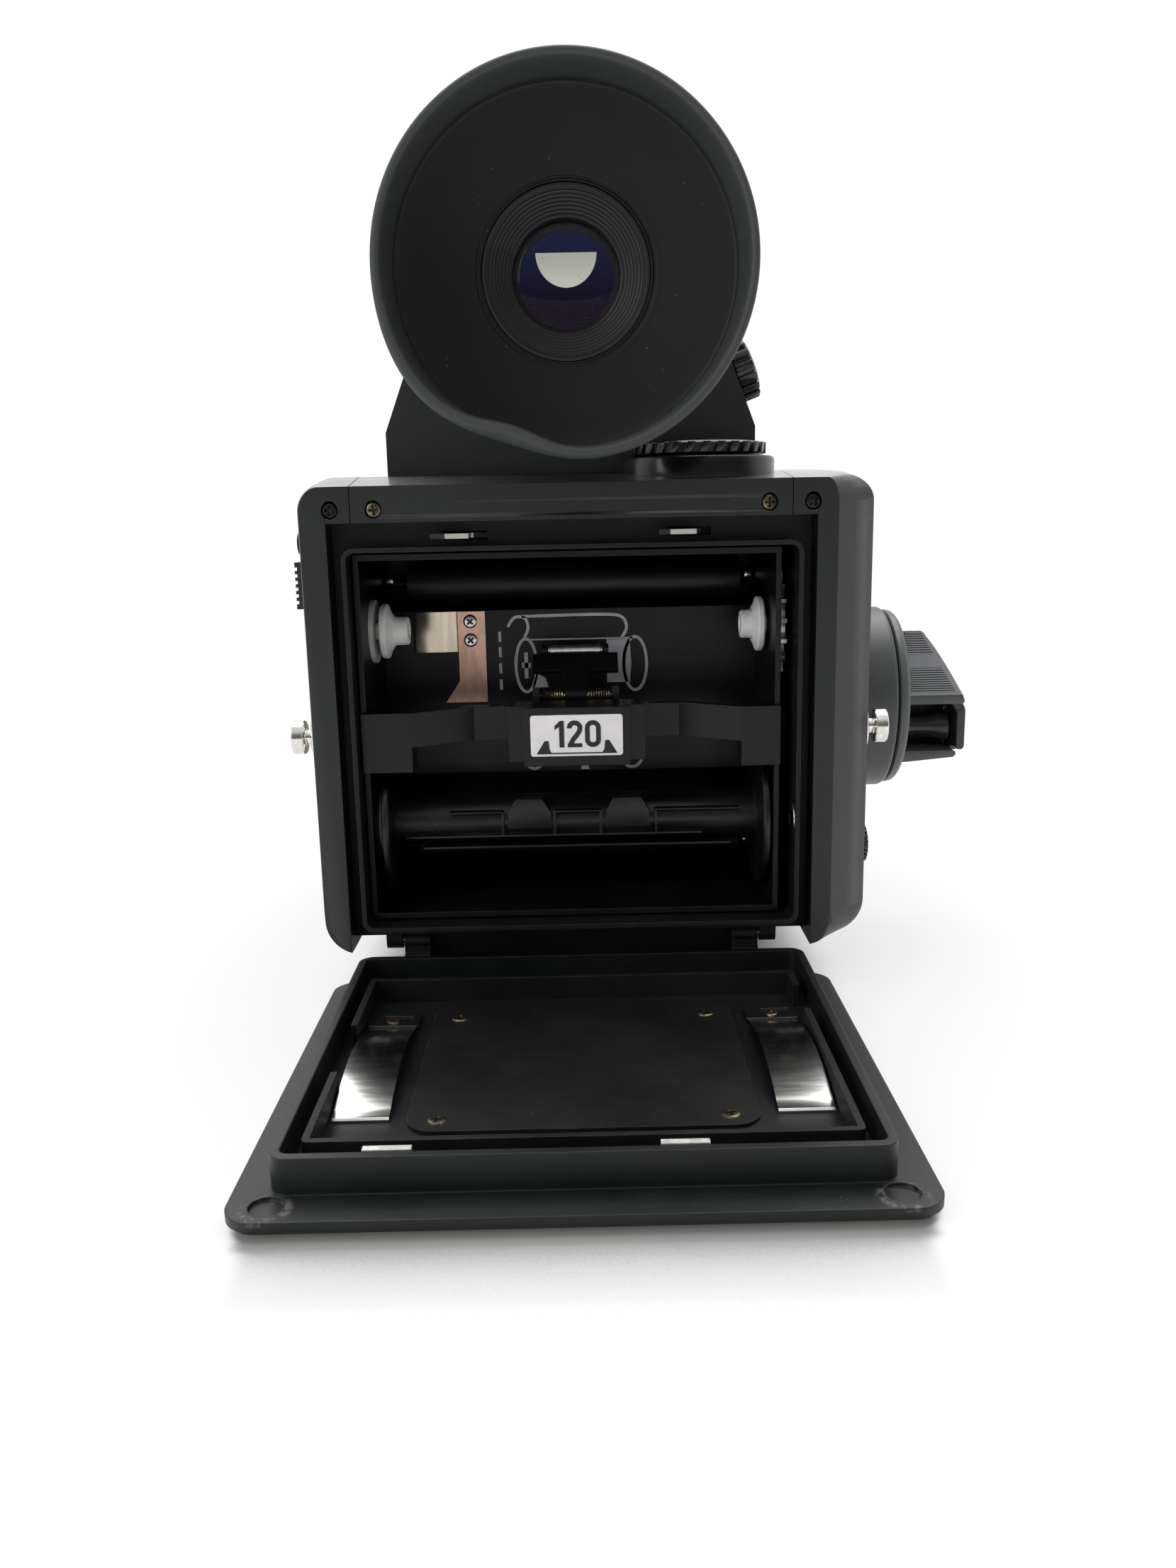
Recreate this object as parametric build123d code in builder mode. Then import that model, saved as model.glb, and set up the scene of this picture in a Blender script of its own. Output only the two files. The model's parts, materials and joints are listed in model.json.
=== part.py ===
from build123d import *
import math
import os

# Medium format single lens reflex camera with its rear door open. Millimetres.
# X runs to the right as seen from behind, Y from the rear face to the lens, Z up.
# The origin is the mouth of the tripod socket, in the middle of the base.

# Clearances shared by every fit
GAP = 0.3                # between pieces that move past each other
RUN = 0.06               # radial, a pin or shaft turning in its bore
TIGHT = 0.4              # round the film insert in its chamber

# Outer body
HALF_TURN = 180.0        # degrees
QUARTER_TURN = 90.0
CORE_HALF = 39.0         # half the width of the chassis and of the door channel
LEFT_COVER_WIDTH = 5.7
RIGHT_COVER_WIDTH = 10.3
BODY_LEFT = -CORE_HALF - LEFT_COVER_WIDTH
BODY_RIGHT = CORE_HALF + RIGHT_COVER_WIDTH
REAR_Y = -40.0
FRONT_Y = 58.0
CORE_BOTTOM = 11.2
COVER_DROP = 1.6
BODY_BOTTOM = CORE_BOTTOM - COVER_DROP
BODY_TOP = 89.2
TOP_CORNER = 6.0
BOTTOM_CORNER = 4.5
BEVEL_DEPTH = 6.5
BEVEL_LEFT = 1.5
BEVEL_RIGHT = 5.5
BEVEL_TOP = 2.7
COVER_WALL = 1.6
COVER_END_WALL = 3.0
COVER_RIM = 6.0          # solid rim of a side cover behind the rear pillar

# Chassis: door channel, light-trap lip, film chamber, film gate and mirror box
TOP_COVER_THICK = 5.2
CORE_TOP = BODY_TOP - TOP_COVER_THICK
STRIP_HEIGHT = 7.8
CHANNEL_TOP = BODY_TOP - STRIP_HEIGHT
CHANNEL_DEPTH = 5.2
CHANNEL_Y = REAR_Y + CHANNEL_DEPTH
STRIP_INSET = 4.0
STRIP_HALF = CORE_HALF - STRIP_INSET
CHANNEL_WIDTH = 2.1      # between the chassis edge and the lip, each side
LIP_HALF = CORE_HALF - CHANNEL_WIDTH
LIP_WALL = 0.75
LIP_RISE = 2.2
LIP_BOTTOM = CORE_BOTTOM + LIP_RISE
LIP_DROP = 3.9
LIP_TOP = CHANNEL_TOP - LIP_DROP
CHAMBER_HALF = LIP_HALF - LIP_WALL
CHAMBER_BOTTOM = LIP_BOTTOM + LIP_WALL
CHAMBER_TOP = LIP_TOP - LIP_WALL
LIP_CORNER = 2.0
CHAMBER_FRONT_Y = -1.0
LENS_Z = 46.2
GATE_WIDTH = 56.0
GATE_HEIGHT = 41.5
SCREEN_DROP = 3.0
SCREEN_Z = CORE_TOP - SCREEN_DROP
BOX_HALF = 31.0
BOX_BOTTOM = 19.0
BOX_CEILING = 4.0
BOX_TOP = SCREEN_Z - BOX_CEILING
BOX_REAR_Y = 6.0
FRONT_WALL = 4.0
BOX_FRONT_Y = FRONT_Y - FRONT_WALL
THROAT_R = 27.0

# Focusing screen over the mirror box
SCREEN_INSET = 2.3
SCREEN_HALF = BOX_HALF - SCREEN_INSET
SCREEN_LEDGE = 2.0
SCREEN_END_INSET = 2.0
SCREEN_REAR_Y = BOX_REAR_Y + SCREEN_END_INSET
SCREEN_FRONT_Y = BOX_FRONT_Y - SCREEN_END_INSET
SCREEN_THICK = 2.0

# Base plate, tripod socket and battery cover
BASE_HALF = 30.0
BASE_REAR_Y = -30.9
BASE_FRONT_Y = 35.0
BASE_CORNER = 4.0
SOCKET_R = 3.175
SOCKET_DEPTH = 6.5
BATTERY_Y = 22.0
BATTERY_R = 8.0
BATTERY_RECESS = 1.5
BATTERY_THICK = 1.2
COIN_SLOT_LENGTH = 9.0
COIN_SLOT_WIDTH = 1.6
COIN_SLOT_DEPTH = 0.7

# Rear door, hinged along the bottom; sizes are those of the closed door
HINGE_R = 1.5
HINGE_INSET = 1.9
HINGE_Y = CHANNEL_Y + HINGE_INSET
HINGE_Z = CORE_BOTTOM - HINGE_R
HINGE_PIN_R = 0.9
LUG_INSET = 5.0
LUG_WIDTH = 2.8
LUG_OUTER_X = CORE_HALF - LUG_INSET
LUG_INNER_X = LUG_OUTER_X - LUG_WIDTH
EAR_WIDTH = 4.5
EAR_OUTER_X = LUG_INNER_X - GAP
EAR_INNER_X = EAR_OUTER_X - EAR_WIDTH
PLATE_OVERHANG = 4.0
PLATE_HALF = CORE_HALF + PLATE_OVERHANG
PLATE_THICK = 1.9
PLATE_CORNER = 4.0
PLATE_EDGE = 0.7
PLATE_DROP = 0.5
PLATE_BOTTOM = CORE_BOTTOM - PLATE_DROP
PLATE_TOP_INSET = 2.2
PLATE_TOP = BODY_TOP - PLATE_TOP_INSET
DIMPLE_R = 2.2
DIMPLE_DEPTH = 0.5
DIMPLE_INSET = 5.0
RIM_WALL = 1.3
RIM_REACH = 4.6          # how far the rim enters the channel
RIM_SIDE_GAP = 0.5
RIM_CORNER = 2.5
TRAP_SIDE_GAP = 0.6
TRAP_HALF = CHAMBER_HALF - TRAP_SIDE_GAP
TRAP_WALL = 1.0
TRAP_REACH = 3.6
TRAP_BOTTOM_GAP = 5.25
TRAP_TOP_GAP = 1.5
LEFT_NOTCH = (38.8, 55.2)    # clears the end of the insert's cross bar
RIGHT_NOTCH = (26.1, 36.0)   # clears the disc in the channel
INNER_PLATE_HALF = 24.0
INNER_PLATE_THICK = 0.6
INNER_PLATE_LOW = 23.6
INNER_PLATE_HIGH = 66.9
INNER_PLATE_CORNER = 4.0
PLATE_SCREW_INSET = 4.2
PLATE_SCREW_LOW_INSET = 5.8
PLATE_SCREW_HIGH_INSET = 3.0
DOOR_SCREW_R = 1.35
DOOR_SCREW_THICK = 0.5
SPRING_INSET = 1.35
SPRING_WIDTH = 7.8
SPRING_OUTER_X = TRAP_HALF - SPRING_INSET
SPRING_INNER_X = SPRING_OUTER_X - SPRING_WIDTH
SPRING_SCREW_X = (SPRING_OUTER_X + SPRING_INNER_X) / 2
SPRING_THICK = 0.35
SPRING_FOOT = 5.2
SPRING_FOOT_LOW = 27.2
SPRING_BOW_LOW = SPRING_FOOT_LOW + SPRING_FOOT
SPRING_SCREW_Z = (SPRING_FOOT_LOW + SPRING_BOW_LOW) / 2
SPRING_BOW_HIGH = 61.4
SPRING_TIP = 1.6
SPRING_TIP_HIGH = SPRING_BOW_HIGH + SPRING_TIP
SPRING_CREST = 2.9       # height of the bow over the door plate
CATCH_HEADS = (-24.0, 12.4)   # middle of each catch
CATCH_HALF = 3.0
CATCH_NECK = 4.0
CATCH_HEAD_REAR = 2.4    # depth of the head past the rear face
CATCH_REACH = 4.8

# Latch bar over the door, its hooks and the slider that moves it
HOOK_LENGTH = 4.0
HOOK_THICK = 0.8
HOOK_GAP = 0.5           # from a catch head to its hook
NOSE_LENGTH = 2.1
NOSE_REAR = 0.6
NOSE_THICK = 1.4
LATCH_TRAVEL = 2.2
LATCH_POCKET_REAR = 6.2
LATCH_POCKET_DEPTH = 2.0
LATCH_BAR_OUT = 3.0      # how far the bar reaches into the left cover
LATCH_BAR_LEFT = -CORE_HALF - LATCH_BAR_OUT
LATCH_BAR_RIGHT = 21.0
LATCH_SIDE = 0.6         # pocket height over and under the bar
SLIDER_INSET = 12.0
SLIDER_Y = REAR_Y + SLIDER_INSET
SLIDER_WIDTH = 7.0
SLIDER_BOTTOM = 67.5
SLIDER_TOP = 75.2
SLIDER_THICK = 1.2
SLIDER_TRAVEL = 3.0
SLIDER_STEM_WIDTH = 2.0
SLIDER_STEM_BOTTOM = 70.2
SLIDER_STEM_TOP = 73.0
SLIDER_RIB_PITCH = 1.1
SLIDER_GROOVE = SLIDER_RIB_PITCH / 2
SLIDER_RIB_DEPTH = 0.4
LEFT_BUTTON_Z = 78.2
LEFT_BUTTON_R = 1.75
LEFT_BUTTON_PROUD = 1.2
BUTTON_FLANGE = 0.6
SLIDER_FLANGE = 1.5 * BUTTON_FLANGE
BUTTON_FLANGE_THICK = 0.6

# Film insert
INSERT_SIDE_GAP = 0.35
INSERT_HALF = CHAMBER_HALF - INSERT_SIDE_GAP
INSERT_WALL = 0.9
DRIVE_ROOM = 1.8         # for the drive gear, between the right side plate and the chamber
INSERT_RIGHT_FACE = INSERT_HALF - DRIVE_ROOM
INSERT_LEFT_INNER = -INSERT_HALF + INSERT_WALL
INSERT_RIGHT_INNER = INSERT_RIGHT_FACE - INSERT_WALL
INSERT_FRONT_Y = -2.5
INSERT_PLATE = 1.0
BACK_PLATE_Y = -13.0
BACK_PLATE_THICK = 1.2
BACK_PLATE_BOTTOM = 35.2
BACK_PLATE_TOP = 65.3
PRESSURE_Y = -4.0
PRESSURE_THICK = 1.0
PRESSURE_INSET = 3.1
PRESSURE_HALF = INSERT_RIGHT_INNER - PRESSURE_INSET
PRESSURE_BOTTOM = 25.0
PRESSURE_TOP = 62.0
PRESSURE_RIB = 1.5
PRESSURE_RIB_X = 20.0
CONTACT_LEFT = -21.3
CONTACT_RIGHT = -16.3
CONTACT_FLARE = -24.0
CONTACT_TOP = 65.2
CONTACT_BOTTOM = 48.6
CONTACT_WAIST = 52.6
CONTACT_BEND_OUT = 0.9
CONTACT_BEND_UP = 2.6
CONTACT_THICK = 0.6
CONTACT_SCREW_X = -19.0
CONTACT_SCREWS_Z = (63.4, 60.0)
CONTACT_SCREW_R = 1.25
CONTACT_SCREW_THICK = 0.5
LEAF_LEFT = -29.4
LEAF_BOTTOM = 57.9
LEAF_THICK = 0.4
BAR_BOTTOM = 44.6
BAR_TOP = 50.4
BAR_REAR_Y = -37.0
BAR_MIDDLE_Y = -31.0
BAR_THICK = 2.0
BAR_END_LENGTH = 5.6
BAR_END_X = INSERT_RIGHT_INNER - BAR_END_LENGTH
BAR_SLANT = 10.0
BAR_BEND_X = BAR_END_X - BAR_SLANT
BAR_END_BOTTOM = 40.4
BAR_END_TOP = 50.4
BAR_END_FRONT_Y = -31.0
HOLDER_HALF = 8.8
HOLDER_SIDE_HALF = 11.4
HOLDER_BOTTOM = 41.2
HOLDER_TOP = 51.0
HOLDER_REAR_Y = -38.0
HOLDER_SIDE_REAR_Y = -36.0
HOLDER_FRONT_Y = -30.0
LABEL_HALF = 7.65
LABEL_BOTTOM = 42.9
LABEL_TOP = 49.8
LABEL_THICK = 0.4

# Take-up hubs, drive gears, film spool and rollers
MODULE = 1.0
CRANK_TEETH = 36
TAKEUP_TEETH = 18
TOOTH_ADDENDUM = 0.8
TOOTH_DEDENDUM = 1.2
TOOTH_ROOT_WIDTH = 1.9
TOOTH_TIP_WIDTH = 0.65
TOOTH_SUNK = 0.3         # how far a tooth is let into the root disc
GEAR_THICK = 1.0
CRANK_Y = -3.0
CRANK_Z = 46.6
TAKEUP_Y = -24.5
HUB_REACH = 4.5
HUB_INNER_X = INSERT_RIGHT_INNER - HUB_REACH
HUB_STEM_R = 2.9
HUB_FLANGE_R = 4.7
HUB_FLANGE_THICK = 2.0
HUB_SHAFT_R = 1.5
HUB_LEFT_GAP = 1.3
HUB_LEFT_X = INSERT_LEFT_INNER + HUB_LEFT_GAP
HUB_RIGHT_GAP = 0.2
HUB_RIGHT_X = INSERT_RIGHT_INNER - HUB_RIGHT_GAP
HUB_WASHER_R = 5.4
HUB_WASHER_THICK = 0.7
SPOOL_Y = -24.5
SPOOL_Z = 29.2
SPOOL_LENGTH = 66.0
SPOOL_MIDDLE_X = -0.4
SPOOL_FLANGE_R = 12.5
SPOOL_FLANGE_THICK = 1.2
SPOOL_CORE_R = 5.2
SPOOL_PIN_R = 1.5
SPOOL_PIN_LENGTH = 2.4
SPOOL_BORE_DEPTH = 3.2
SPOOL_POCKETS = 4
SPOOL_POCKET_WIDTH = 9.0
SPOOL_POCKET_PITCH = 12.0
SPOOL_POCKET_DEPTH = 1.6
ROLLER_Y = -6.8
ROLLER_INSET = 2.6
ROLLER_HALF = INSERT_RIGHT_INNER - ROLLER_INSET
ROLLER_PIN_R = 0.8
UPPER_ROLLER_Z = 70.0
UPPER_ROLLER_R = 4.2
LOWER_ROLLER_Z = 19.8
LOWER_ROLLER_R = 3.2

# Sprung pressure arm behind the label holder
ARM_Y = -27.0
ARM_Z = 51.4
ARM_PIN_R = 0.75
ARM_PIN_HALF = 7.4
ARM_LUG_INNER = 6.2
ARM_KNUCKLE_HALF = 1.9
ARM_KNUCKLE_R = 1.5
ARM_ANGLE = 41.6
ARM_NECK_HALF = 2.2
ARM_NECK_END = 5.4
ARM_WING_HALF = 7.5
ARM_WING_END = 9.4
ARM_THICK = 1.0
ARM_ROLLER_AT = 10.6
ARM_ROLLER_R = 0.9
ARM_ROLLER_BORE_R = 0.4
ARM_ROLLER_HALF = 4.9
ARM_EAR_THICK = 0.8
ARM_ROLLER_GAP = 0.2     # at each end of the roller
ARM_NECK_START = 1.8
ARM_EAR_R = 1.0

# Reflex mirror, hinged at its upper rear edge
MIRROR_HINGE_Y = 11.0
MIRROR_HINGE_Z = 69.0
MIRROR_LENGTH = 42.0
MIRROR_INSET = 5.0
MIRROR_HALF = BOX_HALF - MIRROR_INSET
MIRROR_GLASS = 2.0
MIRROR_BACK = 1.2
MIRROR_PIN_R = 1.2
MIRROR_PIN_DEPTH = 1.6
MIRROR_START = 2.4       # glass starts this far from the hinge axis
MIRROR_KNUCKLE_R = 1.7

# Focal-plane shutter unit
SHUTTER_THICK = 3.0
SHUTTER_SIDE = 0.6
CURTAIN_THICK = 0.8

# Finder
FINDER_REAR_Y = -10.5
FINDER_FRONT_INSET = 8.0
FINDER_FRONT_Y = FRONT_Y - FINDER_FRONT_INSET
FINDER_HALF = 33.0
FINDER_SHOULDER = 7.7
FINDER_SHOULDER_Z = BODY_TOP + FINDER_SHOULDER
FINDER_SLOPE = 21.2      # degrees from the vertical
FINDER_EAVES = 37.3
FINDER_EAVES_Z = BODY_TOP + FINDER_EAVES
FINDER_HEIGHT = 45.8
FINDER_ROOF_Z = BODY_TOP + FINDER_HEIGHT
FINDER_ROOF_HALF = 13.0
FINDER_ROOF_REAR_Y = -4.0
FINDER_ROOF_FRONT_Y = 12.0
FINDER_NOSE = 18.8
FINDER_NOSE_Z = BODY_TOP + FINDER_NOSE
FINDER_WALL = 2.0
PRISM_SIDE_ROOM = 10.0
PRISM_HALF = FINDER_HALF - PRISM_SIDE_ROOM
PRISM_REAR_ROOM = 5.5
PRISM_REAR_Y = FINDER_REAR_Y + PRISM_REAR_ROOM
PRISM_FRONT_ROOM = 6.0
PRISM_FRONT_Y = FINDER_FRONT_Y - PRISM_FRONT_ROOM
PRISM_SHOULDER_RISE = 3.1
PRISM_SHOULDER_Z = FINDER_SHOULDER_Z + PRISM_SHOULDER_RISE
PRISM_TOP_ROOM = 11.0
PRISM_TOP_Z = FINDER_ROOF_Z - PRISM_TOP_ROOM
PRISM_RIDGE_HALF = 8.0
EYE_HEIGHT = 27.1
EYE_Z = BODY_TOP + EYE_HEIGHT
EYE_BARREL_R = 12.25
EYE_BARREL_END_Y = -50.0
EYE_OPENING_R = 7.3
EYE_DISH = 2.6
OCULAR_R = 7.9
OCULAR_THICK = 3.4
EYECUP_SLEEVE = 7.0
EYECUP_WALL = 1.4
EYECUP_FLOOR_THICK = 1.5 * EYECUP_WALL
EYECUP_FLOOR_R = 21.5
EYECUP_FLOOR_DEPTH = 3.4
EYECUP_BAND_R = 23.2
EYECUP_BAND_DEPTH = 5.0
EYECUP_RIM_R = 26.9
EYECUP_RIM_Y = -64.0
EYECUP_LIP_R = 1.0

# Dials and knobs
DIAL_X = 21.5
DIAL_Y = -24.5
DIAL_BASE_R = 12.7
DIAL_BASE_THICK = 1.8
DIAL_BASE_EDGE = 0.6
DIAL_R = 11.3
DIAL_THICK = 2.1
DIAL_STEM_R = 3.0
DIAL_TEETH = 40
DIAL_TOOTH_R = 0.55
FILM_DIAL_Y = -3.6
FILM_DIAL_HEIGHT = 17.3
FILM_DIAL_Z = BODY_TOP + FILM_DIAL_HEIGHT
FILM_DIAL_R = 5.75
FILM_DIAL_THICK = 3.8
FILM_DIAL_STEM_R = 1.5
FILM_DIAL_STEM = 4.0
KNOB_INSET = 12.2
KNOB_Y = REAR_Y + KNOB_INSET
KNOB_Z = 24.2
KNOB_R = 3.35
KNOB_THICK = 1.2
KNOB_STEM_R = 1.2

# Strap lugs
LUG_Y = KNOB_Y
LUG_Z = 45.2
LUG_ROSETTE_R = 4.9
LUG_ROSETTE_THICK = 0.9
LUG_STEM_R = 1.4
LUG_STEM = 1.6
LUG_HEAD_R = 2.9
LUG_HEAD = 1.9

# Winding crank at the right
CRANK_BASE_R = 17.1
CRANK_BASE_THICK = 8.9
CRANK_BASE_EDGE = 1.0
CRANK_BASE_END_X = BODY_RIGHT + CRANK_BASE_THICK
CRANK_DISC_R = 16.5
CRANK_DISC_PROUD = 2.3
CRANK_DISC_END_X = CRANK_BASE_END_X + CRANK_DISC_PROUD
CRANK_SHAFT_R = 4.0
CRANK_TAIL_R = 2.5
CRANK_SHAFT_BACK = 1.7   # where the thick shaft ends, inside the right wall
CRANK_SHOULDER_X = BODY_RIGHT - CRANK_SHAFT_BACK
CRANK_HALF_WIDTH = 6.2
GRIP_TOP = 11.0          # heights from the crank axis
GRIP_BOTTOM = -0.6
GRIP_TOP_DEPTH = 2.9
GRIP_BOTTOM_DEPTH = 9.9
GRIP_TOP_X = CRANK_DISC_END_X + GRIP_TOP_DEPTH
GRIP_BOTTOM_X = CRANK_DISC_END_X + GRIP_BOTTOM_DEPTH
GRIP_RIB_PITCH = 0.95
GRIP_RIB_WIDTH = 0.45
GRIP_RIB_DEPTH = 0.35
GRIP_RIBS_LOW = 6
GRIP_RIBS_HIGH = 5
GRIP_RIB_START = 0.8     # from the disc, and from the ends of the grip
GRIP_RIBS_LOW_START = 1.2
GRIP_RIBS_HIGH_START = 4.9
FOOT_TOP = -10.1
FOOT_BOTTOM = -12.2
FOOT_LENGTH = 9.3
FOOT_END_X = CRANK_DISC_END_X + FOOT_LENGTH
FOLD_OUT = 2.1
FOLD_X = CRANK_DISC_END_X + FOLD_OUT
FOLD_RISE = 13.2
FOLD_PIN_R = 0.8
FOLD_KNUCKLE_R = 1.6
FOLD_KNUCKLE_HALF = 3.0
FOLD_NECK_OUT = 0.9      # the neck from the knuckle to the arm plate
FOLD_NECK_UP = 1.2
CRANK_ARM_THICK = 1.8
CRANK_ARM_OUT = 13.2
CRANK_ARM_END_X = CRANK_DISC_END_X + CRANK_ARM_OUT
CRANK_ARM_LOW = -9.7
CRANK_ARM_HALF = 5.6
ROLLER_GRIP_DROP = -6.1
ROLLER_GRIP_R = 2.9
ROLLER_GRIP_WAIST_R = 2.3
ROLLER_GRIP_BACK = 0.6
ROLLER_GRIP_INNER_X = CRANK_DISC_END_X + ROLLER_GRIP_BACK
ROLLER_GRIP_PIN_R = 0.9

# Lens and its mount
MOUNT_R = 34.0
MOUNT_THICK = 2.0
LENS_BORE_R = 14.5
LENS_FLANGE_R = 31.5
LENS_FLANGE_THICK = 3.5
APERTURE_SEAT_R = 27.0
APERTURE_WIDTH = 7.0
APERTURE_R = 30.5
LENS_BAND_R = 29.5
LENS_BAND_WIDTH = 3.5
FOCUS_SEAT_R = 26.0
FOCUS_WIDTH = 22.0
FOCUS_R = 31.0
LENS_NOSE_R = 31.5
LENS_NOSE_LENGTH = 13.0
FILTER_R = 28.9
FILTER_LENGTH = 4.0
FRONT_GLASS_R = 20.0
FRONT_GLASS_THICK = 4.0
FRONT_GLASS_RECESS = 9.5
REAR_GLASS_R = 15.0
REAR_GLASS_THICK = 4.0
LENS_BUTTON_INSET = 4.1
LENS_BUTTON_X = -CORE_HALF + LENS_BUTTON_INSET
LENS_BUTTON_Z = 22.5
LENS_BUTTON_R = 3.0
LENS_BUTTON_DEPTH = 4.0
LENS_BUTTON_PROUD = 2.2
RELEASE_INSET = 6.0
RELEASE_X = BODY_RIGHT - RELEASE_INSET
RELEASE_Z = 34.0
RELEASE_R = 3.2
RELEASE_PROUD = 2.6

# Screws in the rear face
OUTER_SCREW_X = CORE_HALF - 0.8
INNER_SCREW_X = STRIP_HALF - 3.7
REAR_SCREW_XS = (-OUTER_SCREW_X, -INNER_SCREW_X, INNER_SCREW_X, OUTER_SCREW_X)
REAR_SCREW_Z = CORE_TOP - 0.6
REAR_SCREW_R = 1.35
REAR_SCREW_DEPTH = 1.0
REAR_SCREW_SUNK = 0.1

# Values worked out from the ones above
INSERT_BOTTOM = CHAMBER_BOTTOM + TIGHT
INSERT_TOP = CHAMBER_TOP - TIGHT
INSERT_REAR_Y = REAR_Y + TRAP_REACH + TIGHT
GEAR_CENTRES = MODULE * (CRANK_TEETH + TAKEUP_TEETH) / 2
TAKEUP_Z = CRANK_Z + math.sqrt(GEAR_CENTRES ** 2 - (CRANK_Y - TAKEUP_Y) ** 2)
GEAR_X = INSERT_RIGHT_FACE + GAP
GEAR_LINE = math.degrees(math.atan2(TAKEUP_Z - CRANK_Z, TAKEUP_Y - CRANK_Y))
SPOOL_LEFT = SPOOL_MIDDLE_X - SPOOL_LENGTH / 2
SPOOL_RIGHT = SPOOL_MIDDLE_X + SPOOL_LENGTH / 2
MOUNT_END_Y = FRONT_Y + MOUNT_THICK
LEFT_WALL_X = BODY_LEFT + COVER_WALL
RIGHT_WALL_X = BODY_RIGHT - COVER_WALL
FOLD_Z = CRANK_Z + FOLD_RISE
FINDER_EAVES_HALF = FINDER_HALF - (FINDER_EAVES_Z - FINDER_SHOULDER_Z) * math.tan(math.radians(FINDER_SLOPE))


def block(xs, ys, zs, mode=Mode.ADD):
    """A rectangular block between two values on each axis."""
    with Locations(((xs[0] + xs[1]) / 2, (ys[0] + ys[1]) / 2, (zs[0] + zs[1]) / 2)):
        Box(xs[1] - xs[0], ys[1] - ys[0], zs[1] - zs[0], mode=mode)


def rod_x(xs, y, z, radius, mode=Mode.ADD):
    """A cylinder along X."""
    with Locations(Location(((xs[0] + xs[1]) / 2, y, z), (0, QUARTER_TURN, 0))):
        Cylinder(radius, xs[1] - xs[0], mode=mode)


def rod_y(x, ys, z, radius, mode=Mode.ADD):
    """A cylinder along Y."""
    with Locations(Location((x, (ys[0] + ys[1]) / 2, z), (QUARTER_TURN, 0, 0))):
        Cylinder(radius, ys[1] - ys[0], mode=mode)


def rod_z(x, y, zs, radius, mode=Mode.ADD):
    """A cylinder along Z."""
    with Locations((x, y, (zs[0] + zs[1]) / 2)):
        Cylinder(radius, zs[1] - zs[0], mode=mode)


def facing_rear(y):
    """A plane at this Y whose sketch axes are X and Z; extruding a negative amount runs forwards."""
    return Plane(origin=(0, y, 0), x_dir=(1, 0, 0), z_dir=(0, -1, 0))


def save(builder, name):
    """Labels a finished piece and writes its file."""
    builder.part.label = name
    export_step(builder.part, f"parts/{name}.step")


def open_y(closed_z):
    """Y on the open door of a point at this height on the closed door."""
    return HINGE_Y - (closed_z - HINGE_Z)


def open_z(closed_y):
    """Z on the open door of a point at this depth on the closed door."""
    return HINGE_Z + (closed_y - HINGE_Y)


os.makedirs("parts", exist_ok=True)

# --- outer envelope, shared by the covers -------------------------------------------------------


def outline(y, left, right, top):
    """The body's outline across X and Z at one depth, with its four rounded corners."""
    with BuildSketch(facing_rear(y)) as shape:
        with BuildLine():
            Polyline((left, BODY_BOTTOM), (right, BODY_BOTTOM), (right, top), (left, top), close=True)
        make_face()
        fillet(shape.vertices().group_by(Axis.Z)[-1], TOP_CORNER)
        fillet(shape.vertices().group_by(Axis.Z)[0], BOTTOM_CORNER)
    return shape.sketch


with BuildPart() as envelope:
    rear_outline = outline(REAR_Y, BODY_LEFT + BEVEL_LEFT, BODY_RIGHT - BEVEL_RIGHT, BODY_TOP - BEVEL_TOP)
    full_outline = outline(REAR_Y + BEVEL_DEPTH, BODY_LEFT, BODY_RIGHT, BODY_TOP)
    loft([rear_outline, full_outline])
    extrude(full_outline, amount=-(FRONT_Y - REAR_Y - BEVEL_DEPTH))

FAR = 200.0              # well outside the body, for cutting blocks

with BuildPart() as left_side_cover:
    add(envelope.part)
    block((-CORE_HALF, FAR), (-FAR, FAR), (-FAR, CHANNEL_TOP), mode=Mode.SUBTRACT)
    block((-STRIP_HALF, FAR), (-FAR, FAR), (-FAR, FAR), mode=Mode.SUBTRACT)
    block((-CORE_HALF, FAR), (CHANNEL_Y, FAR), (-FAR, CORE_TOP), mode=Mode.SUBTRACT)
    block(
        (LEFT_WALL_X, -CORE_HALF),
        (REAR_Y + COVER_RIM, FRONT_Y - COVER_END_WALL),
        (BODY_BOTTOM + COVER_END_WALL, CORE_TOP),
        mode=Mode.SUBTRACT,
    )
    block(
        (BODY_LEFT, LEFT_WALL_X),
        (SLIDER_Y - SLIDER_STEM_WIDTH / 2 - GAP, SLIDER_Y + SLIDER_STEM_WIDTH / 2 + GAP),
        (SLIDER_STEM_BOTTOM - SLIDER_TRAVEL - GAP, SLIDER_STEM_TOP + GAP),
        mode=Mode.SUBTRACT,
    )
    rod_x((BODY_LEFT, LEFT_WALL_X), SLIDER_Y, LEFT_BUTTON_Z, LEFT_BUTTON_R + RUN, mode=Mode.SUBTRACT)
    rod_y(-OUTER_SCREW_X, (REAR_Y, REAR_Y + REAR_SCREW_DEPTH), REAR_SCREW_Z, REAR_SCREW_R, Mode.SUBTRACT)

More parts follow.
